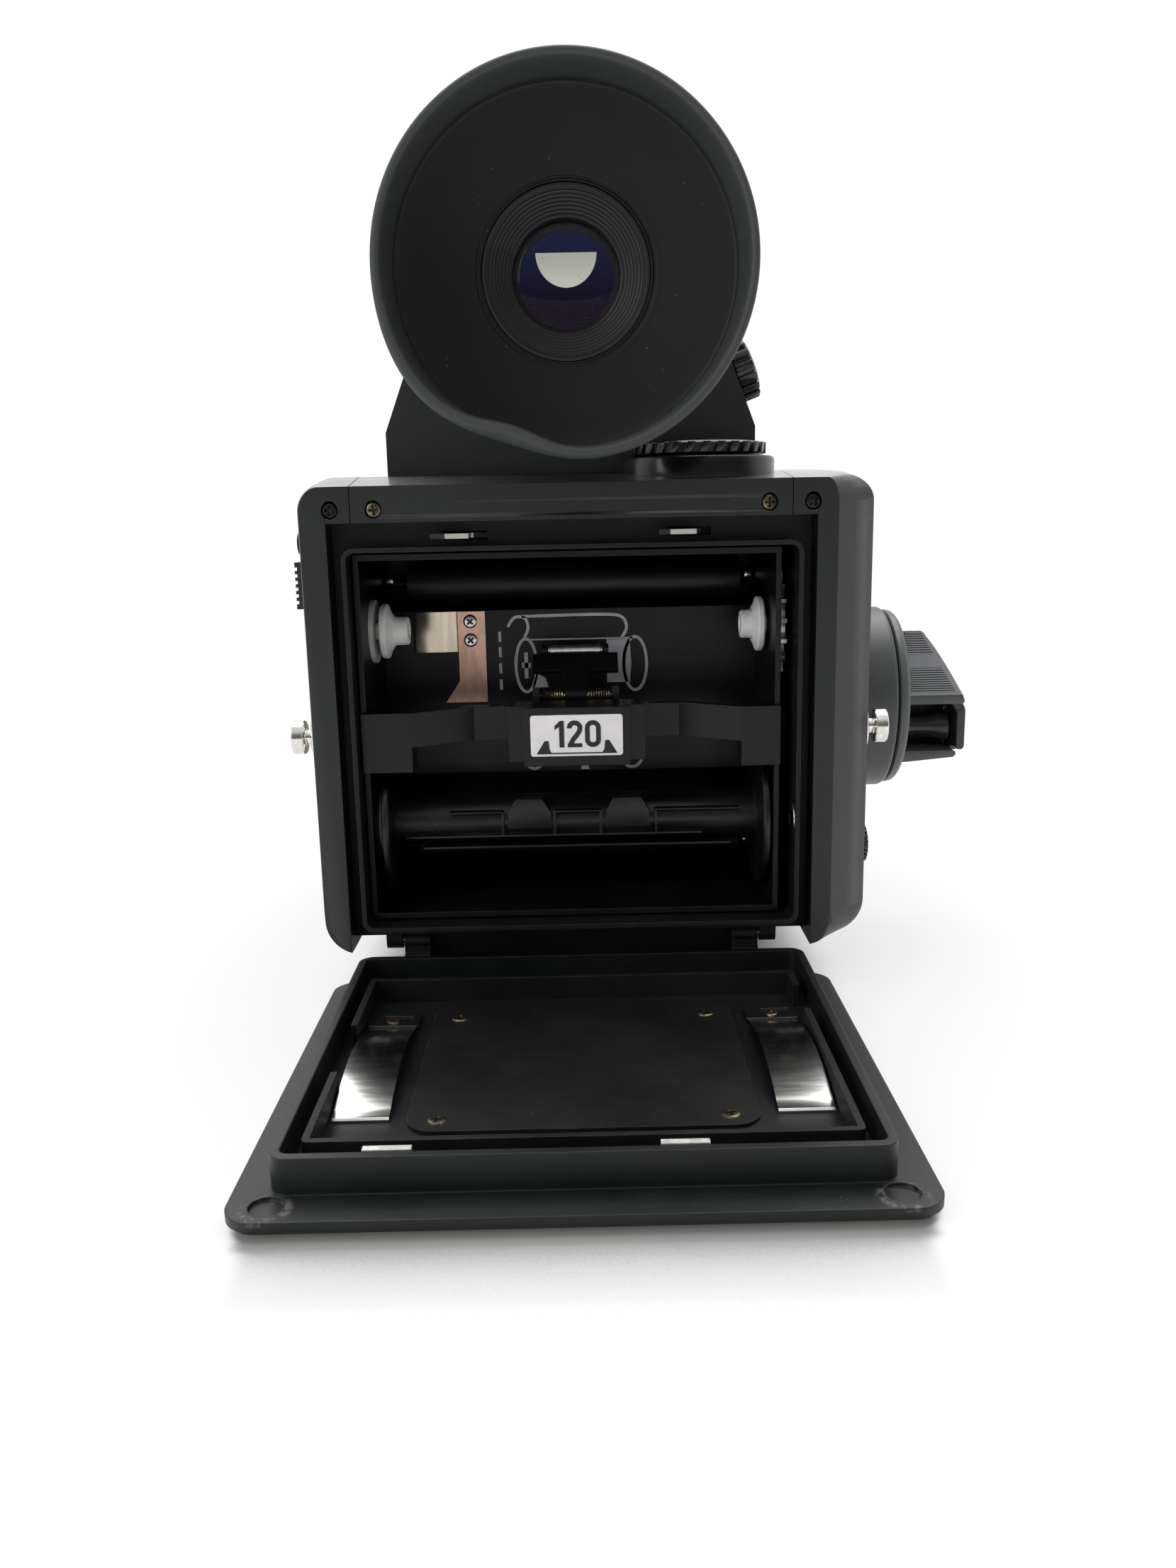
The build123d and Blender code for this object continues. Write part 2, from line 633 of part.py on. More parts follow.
with BuildPart() as right_side_cover:
    add(envelope.part)
    block((-FAR, CORE_HALF), (-FAR, FAR), (-FAR, CHANNEL_TOP), mode=Mode.SUBTRACT)
    block((-FAR, STRIP_HALF), (-FAR, FAR), (-FAR, FAR), mode=Mode.SUBTRACT)
    block((-FAR, CORE_HALF), (CHANNEL_Y, FAR), (-FAR, CORE_TOP), mode=Mode.SUBTRACT)
    block(
        (CORE_HALF, RIGHT_WALL_X),
        (REAR_Y + COVER_RIM, FRONT_Y - COVER_END_WALL),
        (BODY_BOTTOM + COVER_END_WALL, CORE_TOP),
        mode=Mode.SUBTRACT,
    )
    rod_x((RIGHT_WALL_X, BODY_RIGHT), CRANK_Y, CRANK_Z, CRANK_SHAFT_R + GAP, mode=Mode.SUBTRACT)
    rod_x((RIGHT_WALL_X, BODY_RIGHT), KNOB_Y, KNOB_Z, KNOB_STEM_R + RUN, mode=Mode.SUBTRACT)
    rod_y(RELEASE_X, (FRONT_Y - COVER_END_WALL, FRONT_Y), RELEASE_Z, RELEASE_R + RUN, mode=Mode.SUBTRACT)
    rod_y(OUTER_SCREW_X, (REAR_Y, REAR_Y + REAR_SCREW_DEPTH), REAR_SCREW_Z, REAR_SCREW_R, Mode.SUBTRACT)

with BuildPart() as top_cover:
    add(envelope.part)
    block((-FAR, FAR), (-FAR, FAR), (-FAR, CHANNEL_TOP), mode=Mode.SUBTRACT)
    block((-FAR, FAR), (CHANNEL_Y, FAR), (-FAR, CORE_TOP), mode=Mode.SUBTRACT)
    block((-FAR, -STRIP_HALF), (-FAR, FAR), (-FAR, FAR), mode=Mode.SUBTRACT)
    block((STRIP_HALF, FAR), (-FAR, FAR), (-FAR, FAR), mode=Mode.SUBTRACT)
    block(
        (-SCREEN_HALF + SCREEN_LEDGE, SCREEN_HALF - SCREEN_LEDGE),
        (SCREEN_REAR_Y + SCREEN_LEDGE, SCREEN_FRONT_Y - SCREEN_LEDGE),
        (CORE_TOP, BODY_TOP),
        mode=Mode.SUBTRACT,
    )
    for screw_x in (-INNER_SCREW_X, INNER_SCREW_X):
        rod_y(screw_x, (REAR_Y, REAR_Y + REAR_SCREW_DEPTH), REAR_SCREW_Z, REAR_SCREW_R, Mode.SUBTRACT)

save(left_side_cover, "left_side_cover")
save(right_side_cover, "right_side_cover")
save(top_cover, "top_cover")

with BuildPart() as rear_screws:
    for screw_x in REAR_SCREW_XS:
        rod_y(screw_x, (REAR_Y + REAR_SCREW_SUNK, REAR_Y + REAR_SCREW_DEPTH), REAR_SCREW_Z, REAR_SCREW_R)
save(rear_screws, "rear_screws")

# --- chassis ------------------------------------------------------------------------------------

HOOK_LEFTS = [middle + CATCH_HALF + HOOK_GAP for middle in CATCH_HEADS]
RIM_TOP = CHANNEL_TOP - GAP
CATCH_TOP = RIM_TOP - RIM_WALL
HOOK_TOP = CATCH_TOP - GAP
HOOK_BOTTOM = HOOK_TOP - HOOK_THICK
LATCH_REAR_Y = REAR_Y + LATCH_POCKET_REAR
LATCH_FRONT_Y = LATCH_REAR_Y + LATCH_POCKET_DEPTH

with BuildPart() as chassis:
    block((-CORE_HALF, CORE_HALF), (CHANNEL_Y, FRONT_Y), (CORE_BOTTOM, CORE_TOP))
    with BuildSketch(facing_rear(REAR_Y)):
        with Locations((0, (LIP_BOTTOM + LIP_TOP) / 2)):
            RectangleRounded(2 * LIP_HALF, LIP_TOP - LIP_BOTTOM, LIP_CORNER)
    extrude(amount=-CHANNEL_DEPTH)
    with BuildSketch(facing_rear(REAR_Y)):
        with Locations((0, (LIP_BOTTOM + LIP_TOP) / 2)):
            RectangleRounded(2 * CHAMBER_HALF, CHAMBER_TOP - CHAMBER_BOTTOM, LIP_CORNER - LIP_WALL)
    extrude(amount=-(CHAMBER_FRONT_Y - REAR_Y), mode=Mode.SUBTRACT)
    block(
        (-GATE_WIDTH / 2, GATE_WIDTH / 2),
        (CHAMBER_FRONT_Y, BOX_REAR_Y),
        (LENS_Z - GATE_HEIGHT / 2, LENS_Z + GATE_HEIGHT / 2),
        mode=Mode.SUBTRACT,
    )
    block((-BOX_HALF, BOX_HALF), (BOX_REAR_Y, BOX_FRONT_Y), (BOX_BOTTOM, BOX_TOP), mode=Mode.SUBTRACT)
    rod_y(0, (BOX_FRONT_Y, FRONT_Y), LENS_Z, THROAT_R, mode=Mode.SUBTRACT)
    block(
        (-SCREEN_HALF + SCREEN_LEDGE, SCREEN_HALF - SCREEN_LEDGE),
        (SCREEN_REAR_Y + SCREEN_LEDGE, SCREEN_FRONT_Y - SCREEN_LEDGE),
        (BOX_TOP, SCREEN_Z),
        mode=Mode.SUBTRACT,
    )
    screen_ys = (SCREEN_REAR_Y, SCREEN_FRONT_Y)
    block((-SCREEN_HALF, SCREEN_HALF), screen_ys, (SCREEN_Z, CORE_TOP), mode=Mode.SUBTRACT)
    rod_x(
        (-BOX_HALF - MIRROR_PIN_DEPTH - GAP, BOX_HALF + MIRROR_PIN_DEPTH + GAP),
        MIRROR_HINGE_Y,
        MIRROR_HINGE_Z,
        MIRROR_PIN_R + RUN,
        mode=Mode.SUBTRACT,
    )
    # recess of the winding gear, open to the film chamber, and the bore of its shaft
    rod_x(
        (INSERT_RIGHT_FACE, CHAMBER_HALF),
        CRANK_Y,
        CRANK_Z,
        MODULE * CRANK_TEETH / 2 + TOOTH_ADDENDUM + 2 * GAP,
        mode=Mode.SUBTRACT,
    )
    rod_x((GEAR_X, CORE_HALF), CRANK_Y, CRANK_Z, CRANK_TAIL_R + RUN, mode=Mode.SUBTRACT)
    # pocket of the latch bar and the windows of its hooks
    block(
        (-CORE_HALF, LATCH_BAR_RIGHT + LATCH_TRAVEL + 2 * GAP),
        (LATCH_REAR_Y, LATCH_FRONT_Y),
        (HOOK_BOTTOM - LATCH_SIDE, HOOK_TOP + LATCH_SIDE),
        mode=Mode.SUBTRACT,
    )
    for hook_left in HOOK_LEFTS:
        block(
            (hook_left - HOOK_GAP, hook_left + HOOK_LENGTH + LATCH_TRAVEL + HOOK_GAP),
            (CHANNEL_Y, LATCH_REAR_Y),
            (HOOK_BOTTOM - GAP, HOOK_TOP + GAP),
            mode=Mode.SUBTRACT,
        )
    button_ys = (FRONT_Y - LENS_BUTTON_DEPTH, FRONT_Y)
    rod_y(LENS_BUTTON_X, button_ys, LENS_BUTTON_Z, LENS_BUTTON_R + RUN, mode=Mode.SUBTRACT)
    # lugs under the body that hold the door's hinge pins
    for side in (-1, 1):
        lug_xs = sorted((side * LUG_INNER_X, side * LUG_OUTER_X))
        block(lug_xs, (HINGE_Y - HINGE_R, HINGE_Y + HINGE_R), (HINGE_Z, CORE_BOTTOM))
        rod_x(lug_xs, HINGE_Y, HINGE_Z, HINGE_R)
        rod_x(lug_xs, HINGE_Y, HINGE_Z, HINGE_PIN_R, mode=Mode.SUBTRACT)
save(chassis, "chassis")

with BuildPart() as hinge_pins:
    for side in (-1, 1):
        rod_x(sorted((side * EAR_INNER_X, side * LUG_OUTER_X)), HINGE_Y, HINGE_Z, HINGE_PIN_R)
save(hinge_pins, "hinge_pins")

# --- base plate ---------------------------------------------------------------------------------

with BuildPart() as base_plate:
    with BuildSketch(Plane.XY):
        with Locations((0, (BASE_REAR_Y + BASE_FRONT_Y) / 2)):
            RectangleRounded(2 * BASE_HALF, BASE_FRONT_Y - BASE_REAR_Y, BASE_CORNER)
    extrude(amount=CORE_BOTTOM)
    rod_z(0, 0, (0, SOCKET_DEPTH), SOCKET_R, mode=Mode.SUBTRACT)
    rod_z(0, BATTERY_Y, (0, BATTERY_RECESS), BATTERY_R, mode=Mode.SUBTRACT)
save(base_plate, "base_plate")

with BuildPart() as battery_cover:
    rod_z(0, BATTERY_Y, (BATTERY_RECESS - BATTERY_THICK, BATTERY_RECESS), BATTERY_R)
    block(
        (-COIN_SLOT_LENGTH / 2, COIN_SLOT_LENGTH / 2),
        (BATTERY_Y - COIN_SLOT_WIDTH / 2, BATTERY_Y + COIN_SLOT_WIDTH / 2),
        (BATTERY_RECESS - BATTERY_THICK, BATTERY_RECESS - BATTERY_THICK + COIN_SLOT_DEPTH),
        mode=Mode.SUBTRACT,
    )
save(battery_cover, "battery_cover")

# --- rear door, drawn open ----------------------------------------------------------------------

DOOR_FLOOR = open_z(REAR_Y - GAP)
EAR_STEP_Z = open_z(CHANNEL_Y - GAP)
RIM_HALF = CORE_HALF - RIM_SIDE_GAP
RIM_BOTTOM = CORE_BOTTOM + GAP
TRAP_BOTTOM = CHAMBER_BOTTOM + TRAP_BOTTOM_GAP
TRAP_TOP = CHAMBER_TOP - TRAP_TOP_GAP


def door_rectangle(half, low, high, corner, z):
    """A rounded rectangle on the open door between two heights of the closed door."""
    with BuildSketch(Plane.XY.offset(z)) as shape:
        with Locations((0, (open_y(low) + open_y(high)) / 2)):
            RectangleRounded(2 * half, high - low, corner)
    return shape.sketch


with BuildPart() as door_shell:
    extrude(
        door_rectangle(PLATE_HALF, PLATE_BOTTOM, PLATE_TOP, PLATE_CORNER, DOOR_FLOOR - PLATE_THICK),
        amount=PLATE_THICK,
    )
    chamfer(door_shell.faces().sort_by(Axis.Z)[0].edges(), PLATE_EDGE)
    extrude(
        door_rectangle(RIM_HALF, RIM_BOTTOM, RIM_TOP, RIM_CORNER, DOOR_FLOOR),
        amount=open_z(REAR_Y + RIM_REACH) - DOOR_FLOOR,
    )
    extrude(
        door_rectangle(
            RIM_HALF - RIM_WALL, RIM_BOTTOM + RIM_WALL, RIM_TOP - RIM_WALL, RIM_CORNER - RIM_WALL, DOOR_FLOOR
        ),
        amount=open_z(REAR_Y + RIM_REACH) - DOOR_FLOOR,
        mode=Mode.SUBTRACT,
    )
    for side in (-1, 1):
        ear_xs = sorted((side * EAR_INNER_X, side * EAR_OUTER_X))
        block(ear_xs, (open_y(RIM_BOTTOM), HINGE_Y + HINGE_R - GAP), (DOOR_FLOOR + GAP, EAR_STEP_Z))
        block(ear_xs, (HINGE_Y - HINGE_R + GAP, HINGE_Y + HINGE_R - GAP), (EAR_STEP_Z, HINGE_Z))
        rod_x(ear_xs, HINGE_Y, HINGE_Z, HINGE_R)
        rod_x(ear_xs, HINGE_Y, HINGE_Z, HINGE_PIN_R + RUN, mode=Mode.SUBTRACT)
        rod_z(
            side * (PLATE_HALF - DIMPLE_INSET),
            open_y(PLATE_TOP) + DIMPLE_INSET / 2 + DIMPLE_R / 2,
            (DOOR_FLOOR - DIMPLE_DEPTH, DOOR_FLOOR),
            DIMPLE_R,
            mode=Mode.SUBTRACT,
        )
save(door_shell, "door_shell")

with BuildPart() as door_light_trap:
    trap_height = open_z(REAR_Y + TRAP_REACH) - DOOR_FLOOR
    extrude(door_rectangle(TRAP_HALF, TRAP_BOTTOM, TRAP_TOP, TRAP_WALL, DOOR_FLOOR), amount=trap_height)
    block(
        (-TRAP_HALF + TRAP_WALL, TRAP_HALF - TRAP_WALL),
        (open_y(TRAP_TOP) + TRAP_WALL, open_y(TRAP_BOTTOM) - TRAP_WALL),
        (DOOR_FLOOR, DOOR_FLOOR + trap_height),
        mode=Mode.SUBTRACT,
    )
    for notch_xs, (notch_low, notch_high) in (
        ((-TRAP_HALF, -TRAP_HALF + TRAP_WALL), LEFT_NOTCH),
        ((TRAP_HALF - TRAP_WALL, TRAP_HALF), RIGHT_NOTCH),
    ):
        block(
            notch_xs,
            (open_y(notch_high), open_y(notch_low)),
            (DOOR_FLOOR, DOOR_FLOOR + trap_height),
            mode=Mode.SUBTRACT,
        )
save(door_light_trap, "door_light_trap")

with BuildPart() as door_plate:
    extrude(
        door_rectangle(INNER_PLATE_HALF, INNER_PLATE_LOW, INNER_PLATE_HIGH, INNER_PLATE_CORNER, DOOR_FLOOR),
        amount=INNER_PLATE_THICK,
    )
save(door_plate, "door_plate")

with BuildPart() as door_springs:
    bow_middle_y = (open_y(SPRING_BOW_LOW) + open_y(SPRING_BOW_HIGH)) / 2
    crest_z = DOOR_FLOOR + SPRING_CREST
    with BuildSketch(Plane.YZ.offset(SPRING_INNER_X)):
        with BuildLine():
            foot_top = DOOR_FLOOR + SPRING_THICK
            Line((open_y(SPRING_FOOT_LOW), DOOR_FLOOR), (open_y(SPRING_BOW_LOW), DOOR_FLOOR))
            ThreePointArc(
                (open_y(SPRING_BOW_LOW), DOOR_FLOOR),
                (bow_middle_y, crest_z - SPRING_THICK),
                (open_y(SPRING_BOW_HIGH), DOOR_FLOOR),
            )
            Line((open_y(SPRING_BOW_HIGH), DOOR_FLOOR), (open_y(SPRING_TIP_HIGH), DOOR_FLOOR))
            Line((open_y(SPRING_TIP_HIGH), DOOR_FLOOR), (open_y(SPRING_TIP_HIGH), foot_top))
            Line((open_y(SPRING_TIP_HIGH), foot_top), (open_y(SPRING_BOW_HIGH), foot_top))
            ThreePointArc(
                (open_y(SPRING_BOW_HIGH), foot_top),
                (bow_middle_y, crest_z),
                (open_y(SPRING_BOW_LOW), foot_top),
            )
            Line((open_y(SPRING_BOW_LOW), foot_top), (open_y(SPRING_FOOT_LOW), foot_top))
            Line((open_y(SPRING_FOOT_LOW), foot_top), (open_y(SPRING_FOOT_LOW), DOOR_FLOOR))
        make_face()
    extrude(amount=SPRING_OUTER_X - SPRING_INNER_X)
    mirror(about=Plane.YZ)
save(door_springs, "door_springs")

with BuildPart() as door_screws:
    screw_base = DOOR_FLOOR + INNER_PLATE_THICK
    for screw_z in (INNER_PLATE_LOW + PLATE_SCREW_LOW_INSET, INNER_PLATE_HIGH - PLATE_SCREW_HIGH_INSET):
        for side in (-1, 1):
            screw_x = side * (INNER_PLATE_HALF - PLATE_SCREW_INSET)
            rod_z(screw_x, open_y(screw_z), (screw_base, screw_base + DOOR_SCREW_THICK), DOOR_SCREW_R)
    for side in (-1, 1):
        spring_base = DOOR_FLOOR + SPRING_THICK
        rod_z(
            side * SPRING_SCREW_X,
            open_y(SPRING_SCREW_Z),
            (spring_base, spring_base + DOOR_SCREW_THICK),
            DOOR_SCREW_R,
        )
save(door_screws, "door_screws")

with BuildPart() as door_catches:
    for catch_x in CATCH_HEADS:
        block(
            (catch_x - CATCH_HALF, catch_x + CATCH_HALF),
            (open_y(CATCH_TOP), open_y(HOOK_BOTTOM)),
            (open_z(REAR_Y + CATCH_HEAD_REAR), open_z(REAR_Y + CATCH_REACH)),
        )
        block(
            (catch_x - CATCH_HALF, catch_x - CATCH_HALF + CATCH_NECK),
            (open_y(CATCH_TOP), open_y(HOOK_BOTTOM)),
            (DOOR_FLOOR, open_z(REAR_Y + CATCH_HEAD_REAR)),
        )
save(door_catches, "door_catches")

# --- latch bar, slider and button ---------------------------------------------------------------

with BuildPart() as latch_bar:
    block(
        (LATCH_BAR_LEFT, LATCH_BAR_RIGHT), (LATCH_REAR_Y + GAP, LATCH_FRONT_Y - GAP), (HOOK_BOTTOM, HOOK_TOP)
    )
    for hook_left in HOOK_LEFTS:
        block(
            (hook_left, hook_left + HOOK_LENGTH),
            (REAR_Y + NOSE_REAR, LATCH_REAR_Y + GAP),
            (HOOK_BOTTOM, HOOK_TOP),
        )
        block(
            (hook_left - NOSE_LENGTH, hook_left),
            (REAR_Y + NOSE_REAR, REAR_Y + NOSE_REAR + NOSE_THICK),
            (HOOK_BOTTOM, HOOK_TOP),
        )
save(latch_bar, "latch_bar")

with BuildPart() as back_release_slider:
    plate_xs = (BODY_LEFT - GAP - SLIDER_THICK, BODY_LEFT - GAP)
    slider_ys = (SLIDER_Y - SLIDER_WIDTH / 2, SLIDER_Y + SLIDER_WIDTH / 2)
    stem_ys = (SLIDER_Y - SLIDER_STEM_WIDTH / 2, SLIDER_Y + SLIDER_STEM_WIDTH / 2)
    block(plate_xs, slider_ys, (SLIDER_BOTTOM, SLIDER_TOP))
    flange_xs = (LEFT_WALL_X + GAP, LEFT_WALL_X + GAP + BUTTON_FLANGE_THICK)
    block((BODY_LEFT - GAP, flange_xs[1]), stem_ys, (SLIDER_STEM_BOTTOM, SLIDER_STEM_TOP))
    block(
        flange_xs,
        (stem_ys[0] - SLIDER_FLANGE, stem_ys[1] + SLIDER_FLANGE),
        (SLIDER_STEM_BOTTOM, SLIDER_STEM_TOP),
    )
    rib_count = int((SLIDER_TOP - SLIDER_BOTTOM - SLIDER_RIB_PITCH) / SLIDER_RIB_PITCH)
    for rib in range(rib_count):
        groove_z = SLIDER_BOTTOM + (rib + 1) * SLIDER_RIB_PITCH
        block(
            (plate_xs[0], plate_xs[0] + SLIDER_RIB_DEPTH),
            slider_ys,
            (groove_z - SLIDER_GROOVE / 2, groove_z + SLIDER_GROOVE / 2),
            mode=Mode.SUBTRACT,
        )
save(back_release_slider, "back_release_slider")

with BuildPart() as left_button:
    rod_x((BODY_LEFT - LEFT_BUTTON_PROUD, LEFT_WALL_X + GAP), SLIDER_Y, LEFT_BUTTON_Z, LEFT_BUTTON_R)
    rod_x(
        (LEFT_WALL_X + GAP, LEFT_WALL_X + GAP + BUTTON_FLANGE_THICK),
        SLIDER_Y,
        LEFT_BUTTON_Z,
        LEFT_BUTTON_R + BUTTON_FLANGE,
    )
save(left_button, "left_button")

with BuildPart() as right_knob:
    rod_x((BODY_RIGHT + GAP, BODY_RIGHT + GAP + KNOB_THICK), KNOB_Y, KNOB_Z, KNOB_R)
    rod_x((RIGHT_WALL_X - GAP, BODY_RIGHT + GAP), KNOB_Y, KNOB_Z, KNOB_STEM_R)
save(right_knob, "right_knob")

# --- mirror, shutter and screen -----------------------------------------------------------------


def mirror_slab(start, end, low, high, half):
    """A slab of the mirror at rest: start and end run down its length, low and high across it."""
    slope = Plane(origin=(0, MIRROR_HINGE_Y, MIRROR_HINGE_Z), x_dir=(1, 0, 0), z_dir=(0, 1, 1))
    with BuildSketch(slope.offset(low)) as shape:
        with Locations((0, (start + end) / 2)):
            Rectangle(2 * half, end - start)
    extrude(shape.sketch, amount=high - low)


with BuildPart() as mirror_frame:
    mirror_slab(0, MIRROR_LENGTH, -MIRROR_BACK, 0, MIRROR_HALF)
    rod_x((-MIRROR_HALF, MIRROR_HALF), MIRROR_HINGE_Y, MIRROR_HINGE_Z, MIRROR_KNUCKLE_R)
    rod_x(
        (-BOX_HALF - MIRROR_PIN_DEPTH, BOX_HALF + MIRROR_PIN_DEPTH),
        MIRROR_HINGE_Y,
        MIRROR_HINGE_Z,
        MIRROR_PIN_R,
    )
save(mirror_frame, "mirror_frame")

with BuildPart() as reflex_mirror:
    mirror_slab(MIRROR_START, MIRROR_LENGTH, 0, MIRROR_GLASS, MIRROR_HALF)
save(reflex_mirror, "reflex_mirror")

with BuildPart() as shutter_unit:
    shutter_ys = (BOX_REAR_Y, BOX_REAR_Y + SHUTTER_THICK)
    curtain_rear = BOX_REAR_Y + (SHUTTER_THICK - CURTAIN_THICK) / 2
    block(
        (-BOX_HALF + SHUTTER_SIDE, BOX_HALF - SHUTTER_SIDE),
        shutter_ys,
        (BOX_BOTTOM + SHUTTER_SIDE, BOX_TOP - SHUTTER_SIDE),
    )
    gate_xs = (-GATE_WIDTH / 2, GATE_WIDTH / 2)
    gate_zs = (LENS_Z - GATE_HEIGHT / 2, LENS_Z + GATE_HEIGHT / 2)
    block(gate_xs, (shutter_ys[0], curtain_rear), gate_zs, mode=Mode.SUBTRACT)
    block(gate_xs, (curtain_rear + CURTAIN_THICK, shutter_ys[1]), gate_zs, mode=Mode.SUBTRACT)
save(shutter_unit, "shutter_unit")

with BuildPart() as focusing_screen:
    block(
        (-SCREEN_HALF, SCREEN_HALF), (SCREEN_REAR_Y, SCREEN_FRONT_Y), (SCREEN_Z, SCREEN_Z + SCREEN_THICK)
    )
save(focusing_screen, "focusing_screen")

# --- finder -------------------------------------------------------------------------------------


def finder_shape(inset, floor, mode):
    """The finder's outline from behind crossed with its outline from the side, inset by a wall."""
    with BuildSketch(facing_rear(FINDER_REAR_Y + inset)) as from_behind:
        with BuildLine():
            half = FINDER_HALF - inset
            eaves = FINDER_EAVES_HALF - inset
            Polyline(
                (-half, floor),
                (half, floor),
                (half, FINDER_SHOULDER_Z),
                (eaves, FINDER_EAVES_Z),
                (FINDER_ROOF_HALF, FINDER_ROOF_Z - inset),
                (-FINDER_ROOF_HALF, FINDER_ROOF_Z - inset),
                (-eaves, FINDER_EAVES_Z),
                (-half, FINDER_SHOULDER_Z),
                close=True,
            )
        make_face()
    with BuildSketch(Plane.YZ.offset(-half)) as from_side:
        with BuildLine():
            Polyline(
                (FINDER_REAR_Y + inset, floor),
                (FINDER_FRONT_Y - inset, floor),
                (FINDER_FRONT_Y - inset, FINDER_NOSE_Z - inset / 2),
                (FINDER_ROOF_FRONT_Y, FINDER_ROOF_Z - inset),
                (FINDER_ROOF_REAR_Y, FINDER_ROOF_Z - inset),
                (FINDER_REAR_Y + inset, FINDER_ROOF_Z - FINDER_ROOF_REAR_Y + FINDER_REAR_Y - inset),
                close=True,
            )
        make_face()
    length = FINDER_FRONT_Y - FINDER_REAR_Y - 2 * inset
    solid = extrude(from_behind.sketch, amount=-length, mode=Mode.PRIVATE)
    solid = solid.intersect(extrude(from_side.sketch, amount=2 * half, mode=Mode.PRIVATE))
    add(solid, mode=mode)


slope_normal = Vector(
    math.cos(math.radians(FINDER_SLOPE)), 0, math.sin(math.radians(FINDER_SLOPE))
)
slope_x = FINDER_HALF - (FILM_DIAL_Z - FINDER_SHOULDER_Z) * math.tan(math.radians(FINDER_SLOPE))
film_dial_plane = Plane(
    origin=(slope_x, FILM_DIAL_Y, FILM_DIAL_Z), x_dir=(0, 1, 0), z_dir=slope_normal
)

with BuildPart() as finder_housing:
    finder_shape(0, BODY_TOP, Mode.ADD)
    finder_shape(FINDER_WALL, BODY_TOP + FINDER_WALL, Mode.SUBTRACT)
    block(
        (-SCREEN_HALF + SCREEN_LEDGE, SCREEN_HALF - SCREEN_LEDGE),
        (SCREEN_REAR_Y + SCREEN_LEDGE, PRISM_FRONT_Y - SCREEN_LEDGE),
        (BODY_TOP, BODY_TOP + FINDER_WALL),
        mode=Mode.SUBTRACT,
    )
    rod_y(0, (FINDER_REAR_Y, FINDER_REAR_Y + FINDER_WALL), EYE_Z, EYE_OPENING_R, mode=Mode.SUBTRACT)
    with BuildSketch(film_dial_plane):
        Circle(FILM_DIAL_STEM_R + RUN)
    extrude(amount=-2 * FINDER_WALL, mode=Mode.SUBTRACT)
save(finder_housing, "finder_housing")

with BuildPart() as film_speed_dial:
    with BuildSketch(film_dial_plane.offset(GAP)):
        Circle(FILM_DIAL_R)
    extrude(amount=FILM_DIAL_THICK)
    with BuildSketch(film_dial_plane.offset(GAP)):
        Circle(FILM_DIAL_STEM_R)
    extrude(amount=-FILM_DIAL_STEM)
save(film_speed_dial, "film_speed_dial")

with BuildPart() as pentaprism:
    with BuildSketch(facing_rear(PRISM_REAR_Y)):
        with BuildLine():
            Polyline(
                (-PRISM_HALF, BODY_TOP + FINDER_WALL),
                (PRISM_HALF, BODY_TOP + FINDER_WALL),
                (PRISM_HALF, PRISM_SHOULDER_Z),
                (PRISM_RIDGE_HALF, PRISM_TOP_Z),
                (-PRISM_RIDGE_HALF, PRISM_TOP_Z),
                (-PRISM_HALF, PRISM_SHOULDER_Z),
                close=True,
            )
        make_face()
    extrude(amount=-(PRISM_FRONT_Y - PRISM_REAR_Y))
    with BuildSketch(Plane.YZ.offset(-PRISM_HALF)):
        with BuildLine():
            Polyline(
                (PRISM_FRONT_Y, PRISM_SHOULDER_Z),
                (PRISM_FRONT_Y, PRISM_TOP_Z),
                (FINDER_ROOF_FRONT_Y, PRISM_TOP_Z),
                close=True,
            )
        make_face()
    extrude(amount=2 * PRISM_HALF, mode=Mode.SUBTRACT)
save(pentaprism, "pentaprism")


def turned_about_eye(points):
    """A closed outline of (radius, y) points turned about the finder's eyepiece axis."""
    turning_plane = Plane(origin=(0, 0, EYE_Z), x_dir=(1, 0, 0), z_dir=(0, 0, 1))
    with BuildSketch(turning_plane) as shape:
        with BuildLine():
            Polyline(*points, close=True)
        make_face()
    revolve(shape.sketch, axis=Axis((0, 0, EYE_Z), (0, 1, 0)))


OCULAR_REAR_Y = EYE_BARREL_END_Y + EYE_DISH + GAP

with BuildPart() as eyepiece_barrel:
    turned_about_eye(
        [
            (EYE_OPENING_R, FINDER_REAR_Y),
            (EYE_OPENING_R, OCULAR_REAR_Y + OCULAR_THICK),
            (OCULAR_R, OCULAR_REAR_Y + OCULAR_THICK),
            (OCULAR_R, OCULAR_REAR_Y),
            (EYE_OPENING_R, OCULAR_REAR_Y),
            (EYE_OPENING_R, EYE_BARREL_END_Y + EYE_DISH),
            (EYE_BARREL_R, EYE_BARREL_END_Y),
            (EYE_BARREL_R, FINDER_REAR_Y),
        ]
    )
save(eyepiece_barrel, "eyepiece_barrel")

with BuildPart() as ocular_lens:
    rod_y(0, (OCULAR_REAR_Y, OCULAR_REAR_Y + OCULAR_THICK), EYE_Z, OCULAR_R)
save(ocular_lens, "ocular_lens")

